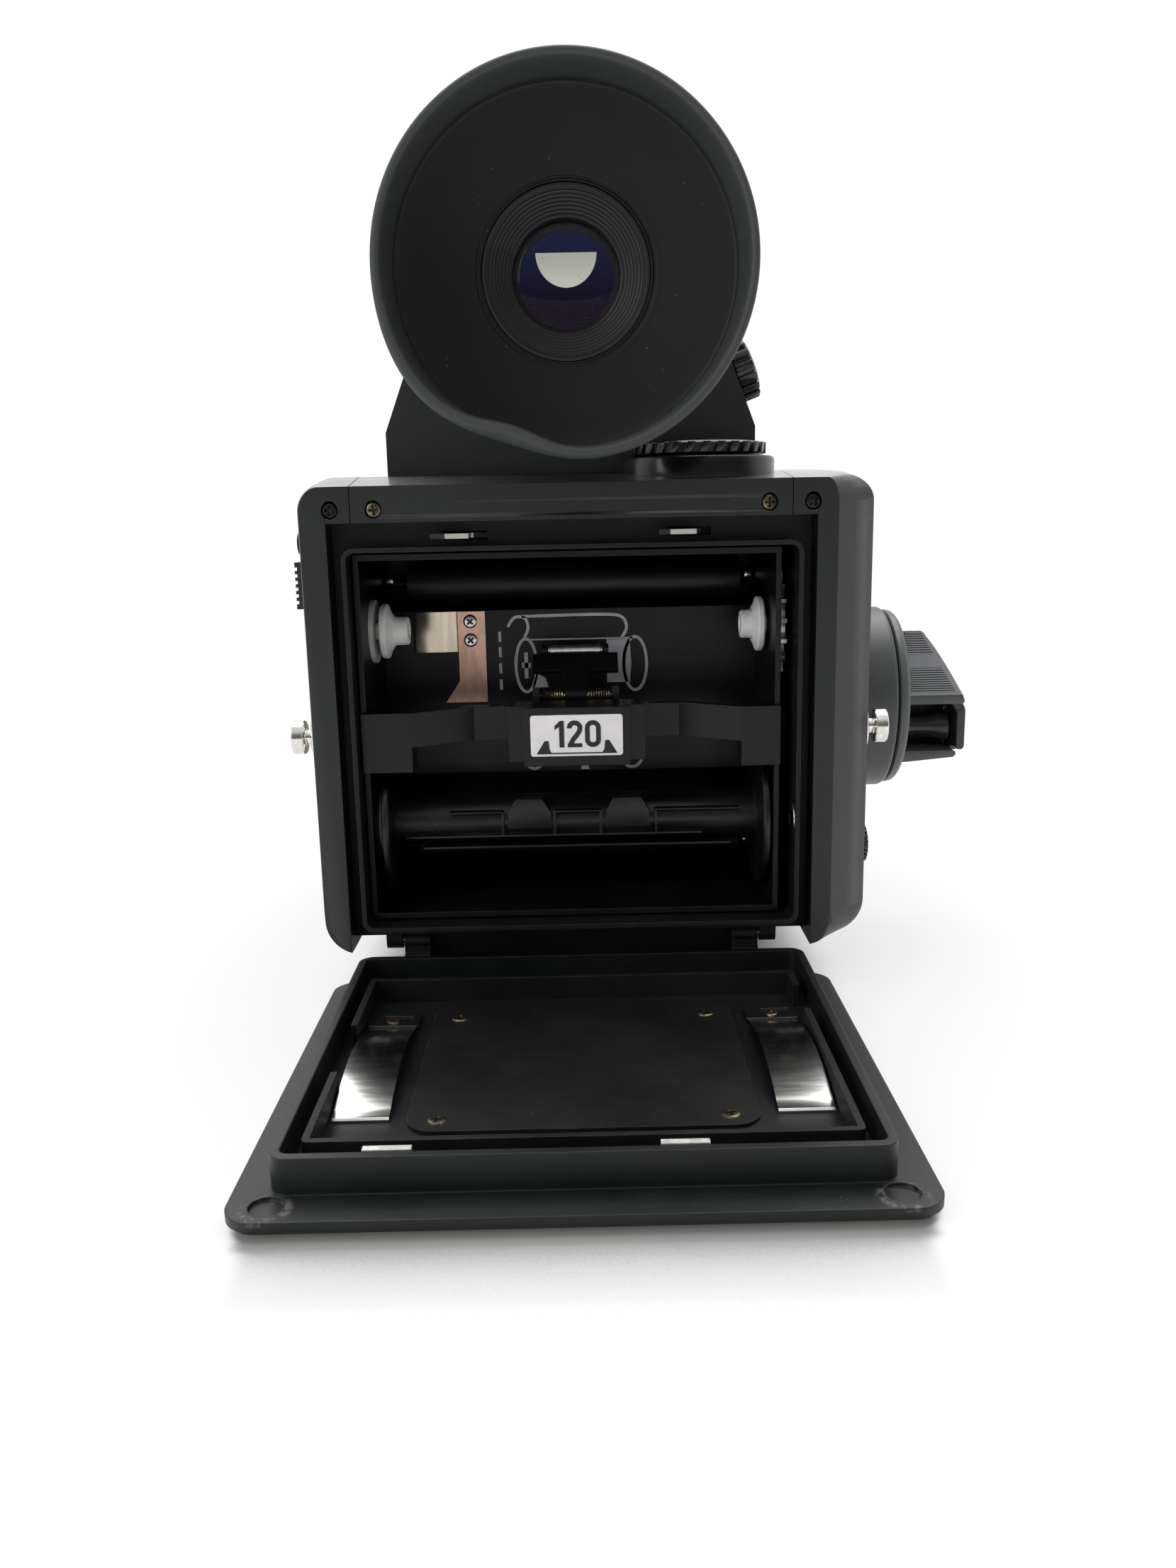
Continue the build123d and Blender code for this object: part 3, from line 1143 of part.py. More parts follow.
with BuildPart() as eyecup:
    sleeve_y = EYE_BARREL_END_Y + EYECUP_SLEEVE
    band_y = EYE_BARREL_END_Y - EYECUP_BAND_DEPTH
    floor_y = EYE_BARREL_END_Y - EYECUP_FLOOR_DEPTH
    turned_about_eye(
        [
            (EYE_BARREL_R, sleeve_y),
            (EYE_BARREL_R, EYE_BARREL_END_Y),
            (EYECUP_FLOOR_R, floor_y),
            (EYECUP_BAND_R, band_y),
            (EYECUP_RIM_R - EYECUP_WALL, EYECUP_RIM_Y + EYECUP_LIP_R),
            (EYECUP_RIM_R - EYECUP_WALL / 2, EYECUP_RIM_Y),
            (EYECUP_RIM_R, EYECUP_RIM_Y + EYECUP_LIP_R),
            (EYECUP_BAND_R + EYECUP_WALL, band_y + EYECUP_WALL),
            (EYECUP_FLOOR_R + EYECUP_WALL / 2, floor_y + EYECUP_FLOOR_THICK),
            (EYE_BARREL_R + EYECUP_WALL, sleeve_y - EYECUP_SLEEVE / 2),
            (EYE_BARREL_R + EYECUP_WALL, sleeve_y),
        ]
    )
save(eyecup, "eyecup")

# --- dials, lugs and knobs ----------------------------------------------------------------------

with BuildPart() as dial_base:
    rod_z(DIAL_X, DIAL_Y, (BODY_TOP, BODY_TOP + DIAL_BASE_THICK), DIAL_BASE_R)
    fillet(dial_base.faces().sort_by(Axis.Z)[-1].edges(), DIAL_BASE_EDGE)
    rod_z(DIAL_X, DIAL_Y, (BODY_TOP, BODY_TOP + DIAL_BASE_THICK), DIAL_STEM_R + RUN, mode=Mode.SUBTRACT)
save(dial_base, "dial_base")

with BuildPart() as speed_dial:
    dial_bottom = BODY_TOP + DIAL_BASE_THICK + GAP
    with BuildSketch(Plane.XY.offset(dial_bottom)):
        with Locations((DIAL_X, DIAL_Y)):
            Circle(DIAL_R - DIAL_TOOTH_R)
            with PolarLocations(DIAL_R - DIAL_TOOTH_R, DIAL_TEETH):
                Circle(DIAL_TOOTH_R)
    extrude(amount=DIAL_THICK)
    rod_z(DIAL_X, DIAL_Y, (BODY_TOP + GAP, dial_bottom), DIAL_STEM_R)
save(speed_dial, "speed_dial")

with BuildPart() as strap_lugs:
    for side, face_x in ((-1, BODY_LEFT), (1, BODY_RIGHT)):
        rosette_end = face_x + side * LUG_ROSETTE_THICK
        stem_end = rosette_end + side * LUG_STEM
        rod_x(sorted((face_x, rosette_end)), LUG_Y, LUG_Z, LUG_ROSETTE_R)
        rod_x(sorted((rosette_end, stem_end)), LUG_Y, LUG_Z, LUG_STEM_R)
        rod_x(sorted((stem_end, stem_end + side * LUG_HEAD)), LUG_Y, LUG_Z, LUG_HEAD_R)
save(strap_lugs, "strap_lugs")

with BuildPart() as shutter_release:
    release_seat = FRONT_Y - COVER_END_WALL - GAP
    rod_y(RELEASE_X, (release_seat, FRONT_Y + RELEASE_PROUD), RELEASE_Z, RELEASE_R)
    release_flange_ys = (release_seat - BUTTON_FLANGE_THICK, release_seat)
    rod_y(RELEASE_X, release_flange_ys, RELEASE_Z, RELEASE_R + BUTTON_FLANGE)
save(shutter_release, "shutter_release")

with BuildPart() as lens_release_button:
    button_rear = FRONT_Y - LENS_BUTTON_DEPTH + LENS_BUTTON_PROUD - GAP
    rod_y(LENS_BUTTON_X, (button_rear, FRONT_Y + LENS_BUTTON_PROUD), LENS_BUTTON_Z, LENS_BUTTON_R)
save(lens_release_button, "lens_release_button")

# --- gears --------------------------------------------------------------------------------------


def gear_outline(teeth, y, z, first_tooth_angle):
    """A spur gear seen along X: a root disc with one trapezium for each tooth."""
    pitch_r = MODULE * teeth / 2
    root_r = pitch_r - TOOTH_DEDENDUM
    tip_r = pitch_r + TOOTH_ADDENDUM
    tooth_foot_r = root_r - TOOTH_SUNK
    flank = math.degrees(math.atan2(tip_r - tooth_foot_r, (TOOTH_ROOT_WIDTH - TOOTH_TIP_WIDTH) / 2))
    with BuildSketch(Plane(origin=(GEAR_X, y, z), x_dir=(0, 1, 0), z_dir=(1, 0, 0))) as shape:
        Circle(root_r)
        with PolarLocations((tip_r + tooth_foot_r) / 2, teeth, start_angle=first_tooth_angle):
            Trapezoid(TOOTH_ROOT_WIDTH, tip_r - tooth_foot_r, flank, rotation=-QUARTER_TURN)
    return shape.sketch


with BuildPart() as winding_gear:
    extrude(gear_outline(CRANK_TEETH, CRANK_Y, CRANK_Z, GEAR_LINE), amount=GEAR_THICK)
    rod_x((GEAR_X, GEAR_X + GEAR_THICK), CRANK_Y, CRANK_Z, CRANK_TAIL_R, mode=Mode.SUBTRACT)
save(winding_gear, "winding_gear")

with BuildPart() as takeup_gear:
    first_tooth = GEAR_LINE + HALF_TURN + HALF_TURN / TAKEUP_TEETH
    extrude(gear_outline(TAKEUP_TEETH, TAKEUP_Y, TAKEUP_Z, first_tooth), amount=GEAR_THICK)
    rod_x((GEAR_X, GEAR_X + GEAR_THICK), TAKEUP_Y, TAKEUP_Z, HUB_SHAFT_R, mode=Mode.SUBTRACT)
save(takeup_gear, "takeup_gear")

# --- winding crank ------------------------------------------------------------------------------

with BuildPart() as crank_base:
    rod_x((BODY_RIGHT, CRANK_BASE_END_X), CRANK_Y, CRANK_Z, CRANK_BASE_R)
    fillet(crank_base.faces().sort_by(Axis.X)[-1].edges(), CRANK_BASE_EDGE)
    rod_x((BODY_RIGHT, CRANK_BASE_END_X), CRANK_Y, CRANK_Z, CRANK_SHAFT_R + RUN, mode=Mode.SUBTRACT)
save(crank_base, "crank_base")

CRANK_YS = (CRANK_Y - CRANK_HALF_WIDTH, CRANK_Y + CRANK_HALF_WIDTH)
GRIP_SLOPE = Vector(GRIP_BOTTOM_X - GRIP_TOP_X, GRIP_BOTTOM - GRIP_TOP).normalized()


def side_outline(points, y_low, y_high, mode=Mode.ADD):
    """A piece of the crank: (x, height over the crank axis) points drawn through from y_low to y_high."""
    with BuildSketch(facing_rear(y_low)) as shape:
        with BuildLine():
            Polyline(*[(x, CRANK_Z + rise) for x, rise in points], close=True)
        make_face()
    extrude(shape.sketch, amount=-(y_high - y_low), mode=mode)


with BuildPart() as crank_disc:
    rod_x((CRANK_BASE_END_X + GAP, CRANK_DISC_END_X), CRANK_Y, CRANK_Z, CRANK_DISC_R)
    rod_x((CRANK_SHOULDER_X, CRANK_BASE_END_X + GAP), CRANK_Y, CRANK_Z, CRANK_SHAFT_R)
    rod_x((GEAR_X, CRANK_SHOULDER_X), CRANK_Y, CRANK_Z, CRANK_TAIL_R)
    side_outline(
        [
            (CRANK_DISC_END_X, GRIP_BOTTOM),
            (GRIP_BOTTOM_X, GRIP_BOTTOM),
            (GRIP_TOP_X, GRIP_TOP),
            (CRANK_DISC_END_X, GRIP_TOP),
        ],
        *CRANK_YS,
    )
    block((CRANK_DISC_END_X, FOOT_END_X), CRANK_YS, (CRANK_Z + FOOT_BOTTOM, CRANK_Z + FOOT_TOP))
    for side in (-1, 1):
        ear_ys = sorted((CRANK_Y + side * (FOLD_KNUCKLE_HALF + GAP), CRANK_Y + side * CRANK_HALF_WIDTH))
        block((CRANK_DISC_END_X, FOLD_X), ear_ys, (CRANK_Z + GRIP_TOP, FOLD_Z + FOLD_KNUCKLE_R))
        rod_y(FOLD_X, ear_ys, FOLD_Z, FOLD_KNUCKLE_R)
        rod_y(FOLD_X, ear_ys, FOLD_Z, FOLD_PIN_R, mode=Mode.SUBTRACT)
    for count, first in (
        (GRIP_RIBS_LOW, GRIP_BOTTOM + GRIP_RIBS_LOW_START),
        (GRIP_RIBS_HIGH, GRIP_TOP - GRIP_RIBS_HIGH_START),
    ):
        for rib in range(count):
            rise = first + rib * GRIP_RIB_PITCH
            for face_y, inner_y in (
                (CRANK_YS[0], CRANK_YS[0] + GRIP_RIB_DEPTH),
                (CRANK_YS[1] - GRIP_RIB_DEPTH, CRANK_YS[1]),
            ):
                block(
                    (CRANK_DISC_END_X + GRIP_RIB_START, GRIP_BOTTOM_X),
                    (face_y, inner_y),
                    (CRANK_Z + rise, CRANK_Z + rise + GRIP_RIB_WIDTH),
                    mode=Mode.SUBTRACT,
                )
save(crank_disc, "crank_disc")

with BuildPart() as crank_fold_pin:
    rod_y(FOLD_X, CRANK_YS, FOLD_Z, FOLD_PIN_R)
save(crank_fold_pin, "crank_fold_pin")

ARM_YS = (CRANK_Y - CRANK_ARM_HALF, CRANK_Y + CRANK_ARM_HALF)
SLOPE_OUT = Vector(-GRIP_SLOPE.Y, GRIP_SLOPE.X)
ARM_INNER_TOP = Vector(GRIP_TOP_X, GRIP_TOP) + SLOPE_OUT * GAP
ARM_OUTER_TOP = ARM_INNER_TOP + SLOPE_OUT * CRANK_ARM_THICK
ARM_INNER_X = CRANK_ARM_END_X - CRANK_ARM_THICK
ARM_INNER_LOW = ARM_INNER_TOP + GRIP_SLOPE * ((ARM_INNER_X - ARM_INNER_TOP.X) / GRIP_SLOPE.X)
ARM_OUTER_LOW = ARM_OUTER_TOP + GRIP_SLOPE * ((CRANK_ARM_END_X - ARM_OUTER_TOP.X) / GRIP_SLOPE.X)
ROLLER_OUTER_X = ARM_INNER_X - GAP

with BuildPart() as crank_arm:
    side_outline(
        [
            (ARM_INNER_TOP.X, ARM_INNER_TOP.Y),
            (ARM_INNER_LOW.X, ARM_INNER_LOW.Y),
            (ARM_INNER_X, CRANK_ARM_LOW),
            (CRANK_ARM_END_X, CRANK_ARM_LOW),
            (ARM_OUTER_LOW.X, ARM_OUTER_LOW.Y),
            (ARM_OUTER_TOP.X, ARM_OUTER_TOP.Y),
        ],
        *ARM_YS,
    )
    knuckle_ys = (CRANK_Y - FOLD_KNUCKLE_HALF, CRANK_Y + FOLD_KNUCKLE_HALF)
    side_outline(
        [
            (FOLD_X + FOLD_NECK_OUT, FOLD_RISE + FOLD_NECK_UP),
            (FOLD_X, FOLD_RISE),
            (ARM_INNER_TOP.X, ARM_INNER_TOP.Y),
            (ARM_OUTER_TOP.X, ARM_OUTER_TOP.Y),
        ],
        *knuckle_ys,
    )
    rod_y(FOLD_X, knuckle_ys, FOLD_Z, FOLD_KNUCKLE_R)
    rod_y(FOLD_X, knuckle_ys, FOLD_Z, FOLD_PIN_R + RUN, mode=Mode.SUBTRACT)
    rod_x((ROLLER_GRIP_INNER_X, ARM_INNER_X), CRANK_Y, CRANK_Z + ROLLER_GRIP_DROP, ROLLER_GRIP_PIN_R)
save(crank_arm, "crank_arm")

with BuildPart() as crank_roller:
    roller_z = CRANK_Z + ROLLER_GRIP_DROP
    roller_middle = (ROLLER_GRIP_INNER_X + ROLLER_OUTER_X) / 2
    with BuildSketch(facing_rear(CRANK_Y)):
        with BuildLine():
            bore_z = roller_z + ROLLER_GRIP_PIN_R + RUN
            Line((ROLLER_GRIP_INNER_X, bore_z), (ROLLER_GRIP_INNER_X, roller_z + ROLLER_GRIP_R))
            ThreePointArc(
                (ROLLER_GRIP_INNER_X, roller_z + ROLLER_GRIP_R),
                (roller_middle, roller_z + ROLLER_GRIP_WAIST_R),
                (ROLLER_OUTER_X, roller_z + ROLLER_GRIP_R),
            )
            Line((ROLLER_OUTER_X, roller_z + ROLLER_GRIP_R), (ROLLER_OUTER_X, bore_z))
            Line((ROLLER_OUTER_X, bore_z), (ROLLER_GRIP_INNER_X, bore_z))
        make_face()
    revolve(axis=Axis((0, CRANK_Y, roller_z), (1, 0, 0)))
save(crank_roller, "crank_roller")

# --- film insert --------------------------------------------------------------------------------

with BuildPart() as insert_frame:
    block((-INSERT_HALF, INSERT_RIGHT_FACE), (INSERT_REAR_Y, INSERT_FRONT_Y), (INSERT_BOTTOM, INSERT_TOP))
    block(
        (INSERT_LEFT_INNER, INSERT_RIGHT_INNER),
        (INSERT_REAR_Y, INSERT_FRONT_Y),
        (INSERT_BOTTOM + INSERT_PLATE, INSERT_TOP - INSERT_PLATE),
        mode=Mode.SUBTRACT,
    )
    for pin_y, pin_z, pin_r in (
        (TAKEUP_Y, TAKEUP_Z, HUB_SHAFT_R + RUN),
        (ROLLER_Y, UPPER_ROLLER_Z, ROLLER_PIN_R + RUN),
        (ROLLER_Y, LOWER_ROLLER_Z, ROLLER_PIN_R + RUN),
    ):
        rod_x((-INSERT_HALF, INSERT_RIGHT_FACE), pin_y, pin_z, pin_r, mode=Mode.SUBTRACT)
save(insert_frame, "insert_frame")

with BuildPart() as insert_back_plate:
    block(
        (INSERT_LEFT_INNER, INSERT_RIGHT_INNER),
        (BACK_PLATE_Y, BACK_PLATE_Y + BACK_PLATE_THICK),
        (BACK_PLATE_BOTTOM, BACK_PLATE_TOP),
    )
    block(
        (-PRESSURE_HALF, PRESSURE_HALF),
        (PRESSURE_Y, PRESSURE_Y + PRESSURE_THICK),
        (PRESSURE_BOTTOM, PRESSURE_TOP),
    )
    for side in (-1, 1):
        rib_x = side * PRESSURE_RIB_X
        block(
            (rib_x - PRESSURE_RIB / 2, rib_x + PRESSURE_RIB / 2),
            (BACK_PLATE_Y + BACK_PLATE_THICK, PRESSURE_Y),
            (BACK_PLATE_BOTTOM, PRESSURE_TOP),
        )
save(insert_back_plate, "insert_back_plate")

with BuildPart() as contact_plate:
    with BuildSketch(facing_rear(BACK_PLATE_Y - CONTACT_THICK)):
        with BuildLine():
            Polyline(
                (CONTACT_LEFT, CONTACT_TOP),
                (CONTACT_RIGHT, CONTACT_TOP),
                (CONTACT_RIGHT, CONTACT_BOTTOM),
                (CONTACT_FLARE, CONTACT_BOTTOM),
            )
            ThreePointArc(
                (CONTACT_FLARE, CONTACT_BOTTOM),
                (CONTACT_LEFT - CONTACT_BEND_OUT, CONTACT_BOTTOM + CONTACT_BEND_UP),
                (CONTACT_LEFT, CONTACT_WAIST),
            )
            Line((CONTACT_LEFT, CONTACT_WAIST), (CONTACT_LEFT, CONTACT_TOP))
        make_face()
    extrude(amount=-CONTACT_THICK)
save(contact_plate, "contact_plate")

with BuildPart() as film_leaf:
    block((LEAF_LEFT, CONTACT_LEFT), (BACK_PLATE_Y - LEAF_THICK, BACK_PLATE_Y), (LEAF_BOTTOM, CONTACT_TOP))
save(film_leaf, "film_leaf")

with BuildPart() as insert_bar:
    with BuildSketch(Plane.XY.offset(BAR_BOTTOM)):
        with BuildLine():
            Polyline(
                (-BAR_END_X, BAR_REAR_Y),
                (-BAR_BEND_X, BAR_MIDDLE_Y),
                (BAR_BEND_X, BAR_MIDDLE_Y),
                (BAR_END_X, BAR_REAR_Y),
                (BAR_END_X, BAR_REAR_Y + BAR_THICK),
                (BAR_BEND_X, BAR_MIDDLE_Y + BAR_THICK),
                (-BAR_BEND_X, BAR_MIDDLE_Y + BAR_THICK),
                (-BAR_END_X, BAR_REAR_Y + BAR_THICK),
                close=True,
            )
        make_face()
    extrude(amount=BAR_TOP - BAR_BOTTOM)
    end_zs = (BAR_END_BOTTOM, BAR_END_TOP)
    block((-INSERT_HALF, -BAR_END_X), (BAR_REAR_Y, INSERT_REAR_Y), end_zs)
    block((BAR_END_X, INSERT_RIGHT_FACE), (BAR_REAR_Y, INSERT_REAR_Y), end_zs)
    block((INSERT_LEFT_INNER, -BAR_END_X), (INSERT_REAR_Y, BAR_END_FRONT_Y), end_zs)
    block((BAR_END_X, INSERT_RIGHT_INNER), (INSERT_REAR_Y, BAR_END_FRONT_Y), end_zs)
    block(
        (-HOLDER_SIDE_HALF, HOLDER_SIDE_HALF),
        (HOLDER_SIDE_REAR_Y, HOLDER_FRONT_Y),
        (HOLDER_BOTTOM + LABEL_THICK, HOLDER_TOP),
    )
    block((-HOLDER_HALF, HOLDER_HALF), (HOLDER_REAR_Y, HOLDER_SIDE_REAR_Y), (HOLDER_BOTTOM, HOLDER_TOP))
    for side in (-1, 1):
        lug_xs = sorted((side * ARM_LUG_INNER, side * ARM_PIN_HALF))
        block(lug_xs, (HOLDER_FRONT_Y, ARM_Y), (ARM_Z - ARM_KNUCKLE_R, ARM_Z + ARM_KNUCKLE_R))
        rod_x(lug_xs, ARM_Y, ARM_Z, ARM_KNUCKLE_R)
        rod_x(lug_xs, ARM_Y, ARM_Z, ARM_PIN_R, mode=Mode.SUBTRACT)
save(insert_bar, "insert_bar")

with BuildPart() as number_label:
    block((-LABEL_HALF, LABEL_HALF), (HOLDER_REAR_Y - LABEL_THICK, HOLDER_REAR_Y), (LABEL_BOTTOM, LABEL_TOP))
save(number_label, "number_label")

with BuildPart() as insert_pin_and_screws:
    rod_x((-ARM_PIN_HALF, ARM_PIN_HALF), ARM_Y, ARM_Z, ARM_PIN_R)
    head_rear = BACK_PLATE_Y - CONTACT_THICK - CONTACT_SCREW_THICK
    for screw_z in CONTACT_SCREWS_Z:
        rod_y(CONTACT_SCREW_X, (head_rear, head_rear + CONTACT_SCREW_THICK), screw_z, CONTACT_SCREW_R)
save(insert_pin_and_screws, "insert_pin_and_screws")

arm_direction = Vector(0, math.cos(math.radians(ARM_ANGLE)), math.sin(math.radians(ARM_ANGLE)))
arm_plane = Plane(
    origin=(0, ARM_Y, ARM_Z),
    x_dir=(1, 0, 0),
    z_dir=(0, -math.sin(math.radians(ARM_ANGLE)), math.cos(math.radians(ARM_ANGLE))),
)
arm_roller_y = ARM_Y + ARM_ROLLER_AT * arm_direction.Y
arm_roller_z = ARM_Z + ARM_ROLLER_AT * arm_direction.Z


def arm_slab(half, start, end):
    """A flat stretch of the pressure arm between two distances from its hinge axis."""
    with BuildSketch(arm_plane.offset(-ARM_THICK / 2)) as shape:
        with Locations((0, (start + end) / 2)):
            Rectangle(2 * half, end - start)
    extrude(shape.sketch, amount=ARM_THICK)


with BuildPart() as pressure_arm:
    arm_slab(ARM_NECK_HALF, ARM_NECK_START, ARM_NECK_END)
    arm_slab(ARM_KNUCKLE_HALF, ARM_PIN_R, ARM_NECK_START)
    arm_slab(ARM_WING_HALF, ARM_NECK_END, ARM_WING_END)
    ear_inner_x = ARM_ROLLER_HALF + ARM_ROLLER_GAP
    ear_outer_x = ear_inner_x + ARM_EAR_THICK
    ear_middle = ((ear_inner_x + ear_outer_x) / 2, (ARM_WING_END + ARM_ROLLER_AT) / 2)
    for ear_xs in ((-ear_outer_x, -ear_inner_x), (ear_inner_x, ear_outer_x)):
        rod_x(ear_xs, arm_roller_y, arm_roller_z, ARM_EAR_R)
    for side in (-1, 1):
        with BuildSketch(arm_plane.offset(-ARM_THICK / 2)):
            with Locations((side * ear_middle[0], ear_middle[1])):
                Rectangle(ARM_EAR_THICK, ARM_ROLLER_AT - ARM_WING_END)
        extrude(amount=ARM_THICK)
    rod_x((-ARM_KNUCKLE_HALF, ARM_KNUCKLE_HALF), ARM_Y, ARM_Z, ARM_KNUCKLE_R)
    rod_x((-ARM_KNUCKLE_HALF, ARM_KNUCKLE_HALF), ARM_Y, ARM_Z, ARM_PIN_R + RUN, mode=Mode.SUBTRACT)
    rod_x((-ear_outer_x, ear_outer_x), arm_roller_y, arm_roller_z, ARM_ROLLER_BORE_R)
save(pressure_arm, "pressure_arm")

with BuildPart() as arm_roller:
    arm_roller_xs = (-ARM_ROLLER_HALF, ARM_ROLLER_HALF)
    rod_x(arm_roller_xs, arm_roller_y, arm_roller_z, ARM_ROLLER_R)
    rod_x(arm_roller_xs, arm_roller_y, arm_roller_z, ARM_ROLLER_BORE_R + RUN, mode=Mode.SUBTRACT)
save(arm_roller, "arm_roller")

# --- hubs, spool and rollers --------------------------------------------------------------------

with BuildPart() as takeup_drive_hub:
    rod_x((HUB_INNER_X, HUB_RIGHT_X - HUB_FLANGE_THICK), TAKEUP_Y, TAKEUP_Z, HUB_STEM_R)
    rod_x((HUB_RIGHT_X - HUB_FLANGE_THICK, HUB_RIGHT_X), TAKEUP_Y, TAKEUP_Z, HUB_FLANGE_R)
    rod_x((HUB_RIGHT_X, GEAR_X + GEAR_THICK), TAKEUP_Y, TAKEUP_Z, HUB_SHAFT_R)
save(takeup_drive_hub, "takeup_drive_hub")

with BuildPart() as takeup_free_hub:
    rod_x((HUB_LEFT_X + HUB_FLANGE_THICK, -HUB_INNER_X), TAKEUP_Y, TAKEUP_Z, HUB_STEM_R)
    rod_x((HUB_LEFT_X, HUB_LEFT_X + HUB_FLANGE_THICK), TAKEUP_Y, TAKEUP_Z, HUB_FLANGE_R)
    rod_x((-INSERT_HALF, HUB_LEFT_X), TAKEUP_Y, TAKEUP_Z, HUB_SHAFT_R)
save(takeup_free_hub, "takeup_free_hub")

with BuildPart() as hub_washers:
    washer_xs = (INSERT_LEFT_INNER, INSERT_LEFT_INNER + HUB_WASHER_THICK)
    rod_x(washer_xs, TAKEUP_Y, TAKEUP_Z, HUB_WASHER_R)
    rod_x(washer_xs, TAKEUP_Y, TAKEUP_Z, HUB_SHAFT_R + GAP, mode=Mode.SUBTRACT)
    rod_x(washer_xs, SPOOL_Y, SPOOL_Z, HUB_WASHER_R)
    rod_x((washer_xs[1], SPOOL_LEFT + SPOOL_PIN_LENGTH), SPOOL_Y, SPOOL_Z, SPOOL_PIN_R)
    rod_x((SPOOL_RIGHT - SPOOL_PIN_LENGTH, INSERT_RIGHT_INNER), SPOOL_Y, SPOOL_Z, SPOOL_PIN_R)
save(hub_washers, "hub_washers")

with BuildPart() as film_spool:
    rod_x((SPOOL_LEFT, SPOOL_RIGHT), SPOOL_Y, SPOOL_Z, SPOOL_CORE_R)
    rod_x((SPOOL_LEFT, SPOOL_LEFT + SPOOL_FLANGE_THICK), SPOOL_Y, SPOOL_Z, SPOOL_FLANGE_R)
    rod_x((SPOOL_RIGHT - SPOOL_FLANGE_THICK, SPOOL_RIGHT), SPOOL_Y, SPOOL_Z, SPOOL_FLANGE_R)
    left_bore_xs = (SPOOL_LEFT, SPOOL_LEFT + SPOOL_BORE_DEPTH)
    right_bore_xs = (SPOOL_RIGHT - SPOOL_BORE_DEPTH, SPOOL_RIGHT)
    for bore_xs in (left_bore_xs, right_bore_xs):
        rod_x(bore_xs, SPOOL_Y, SPOOL_Z, SPOOL_PIN_R + RUN, mode=Mode.SUBTRACT)
    for pocket in range(SPOOL_POCKETS):
        pocket_x = SPOOL_MIDDLE_X + (pocket - (SPOOL_POCKETS - 1) / 2) * SPOOL_POCKET_PITCH
        block(
            (pocket_x - SPOOL_POCKET_WIDTH / 2, pocket_x + SPOOL_POCKET_WIDTH / 2),
            (SPOOL_Y - SPOOL_CORE_R, SPOOL_Y - SPOOL_CORE_R + SPOOL_POCKET_DEPTH),
            (SPOOL_Z - SPOOL_CORE_R / 2, SPOOL_Z + SPOOL_CORE_R / 2),
            mode=Mode.SUBTRACT,
        )
save(film_spool, "film_spool")

for roller_name, roller_z, roller_r in (
    ("upper_roller", UPPER_ROLLER_Z, UPPER_ROLLER_R),
    ("lower_roller", LOWER_ROLLER_Z, LOWER_ROLLER_R),
):
    with BuildPart() as film_roller:
        rod_x((-ROLLER_HALF, ROLLER_HALF), ROLLER_Y, roller_z, roller_r)
        rod_x((-INSERT_HALF + GAP, INSERT_RIGHT_FACE - GAP), ROLLER_Y, roller_z, ROLLER_PIN_R)
    save(film_roller, roller_name)

# --- lens and mount -----------------------------------------------------------------------------


def turned_about_lens(points):
    """A closed outline of (radius, y) points turned about the lens axis."""
    with BuildSketch(Plane(origin=(0, 0, LENS_Z), x_dir=(1, 0, 0), z_dir=(0, 0, 1))) as shape:
        with BuildLine():
            Polyline(*points, close=True)
        make_face()
    revolve(shape.sketch, axis=Axis((0, 0, LENS_Z), (0, 1, 0)))


with BuildPart() as lens_mount_ring:
    rod_y(0, (FRONT_Y, MOUNT_END_Y), LENS_Z, MOUNT_R)
    rod_y(0, (FRONT_Y, MOUNT_END_Y), LENS_Z, THROAT_R, mode=Mode.SUBTRACT)
save(lens_mount_ring, "lens_mount_ring")

FLANGE_END_Y = MOUNT_END_Y + LENS_FLANGE_THICK
APERTURE_END_Y = FLANGE_END_Y + APERTURE_WIDTH
BAND_END_Y = APERTURE_END_Y + LENS_BAND_WIDTH
FOCUS_END_Y = BAND_END_Y + FOCUS_WIDTH
NOSE_END_Y = FOCUS_END_Y + LENS_NOSE_LENGTH
FRONT_GLASS_Y = NOSE_END_Y - FRONT_GLASS_RECESS
REAR_GLASS_Y = MOUNT_END_Y + LENS_FLANGE_THICK

with BuildPart() as lens_barrel:
    turned_about_lens(
        [
            (REAR_GLASS_R, MOUNT_END_Y),
            (LENS_FLANGE_R, MOUNT_END_Y),
            (LENS_FLANGE_R, FLANGE_END_Y),
            (APERTURE_SEAT_R, FLANGE_END_Y),
            (APERTURE_SEAT_R, APERTURE_END_Y),
            (LENS_BAND_R, APERTURE_END_Y),
            (LENS_BAND_R, BAND_END_Y),
            (FOCUS_SEAT_R, BAND_END_Y),
            (FOCUS_SEAT_R, FOCUS_END_Y),
            (LENS_NOSE_R, FOCUS_END_Y),
            (LENS_NOSE_R, NOSE_END_Y),
            (FILTER_R, NOSE_END_Y),
            (FILTER_R, NOSE_END_Y - FILTER_LENGTH),
            (FRONT_GLASS_R, FRONT_GLASS_Y),
            (FRONT_GLASS_R, FRONT_GLASS_Y - FRONT_GLASS_THICK),
            (LENS_BORE_R, FRONT_GLASS_Y - FRONT_GLASS_THICK),
            (LENS_BORE_R, REAR_GLASS_Y + REAR_GLASS_THICK),
            (REAR_GLASS_R, REAR_GLASS_Y + REAR_GLASS_THICK),
        ]
    )
save(lens_barrel, "lens_barrel")

with BuildPart() as lens_elements:
    rod_y(0, (FRONT_GLASS_Y - FRONT_GLASS_THICK, FRONT_GLASS_Y), LENS_Z, FRONT_GLASS_R)
    rod_y(0, (REAR_GLASS_Y, REAR_GLASS_Y + REAR_GLASS_THICK), LENS_Z, REAR_GLASS_R)
save(lens_elements, "lens_elements")

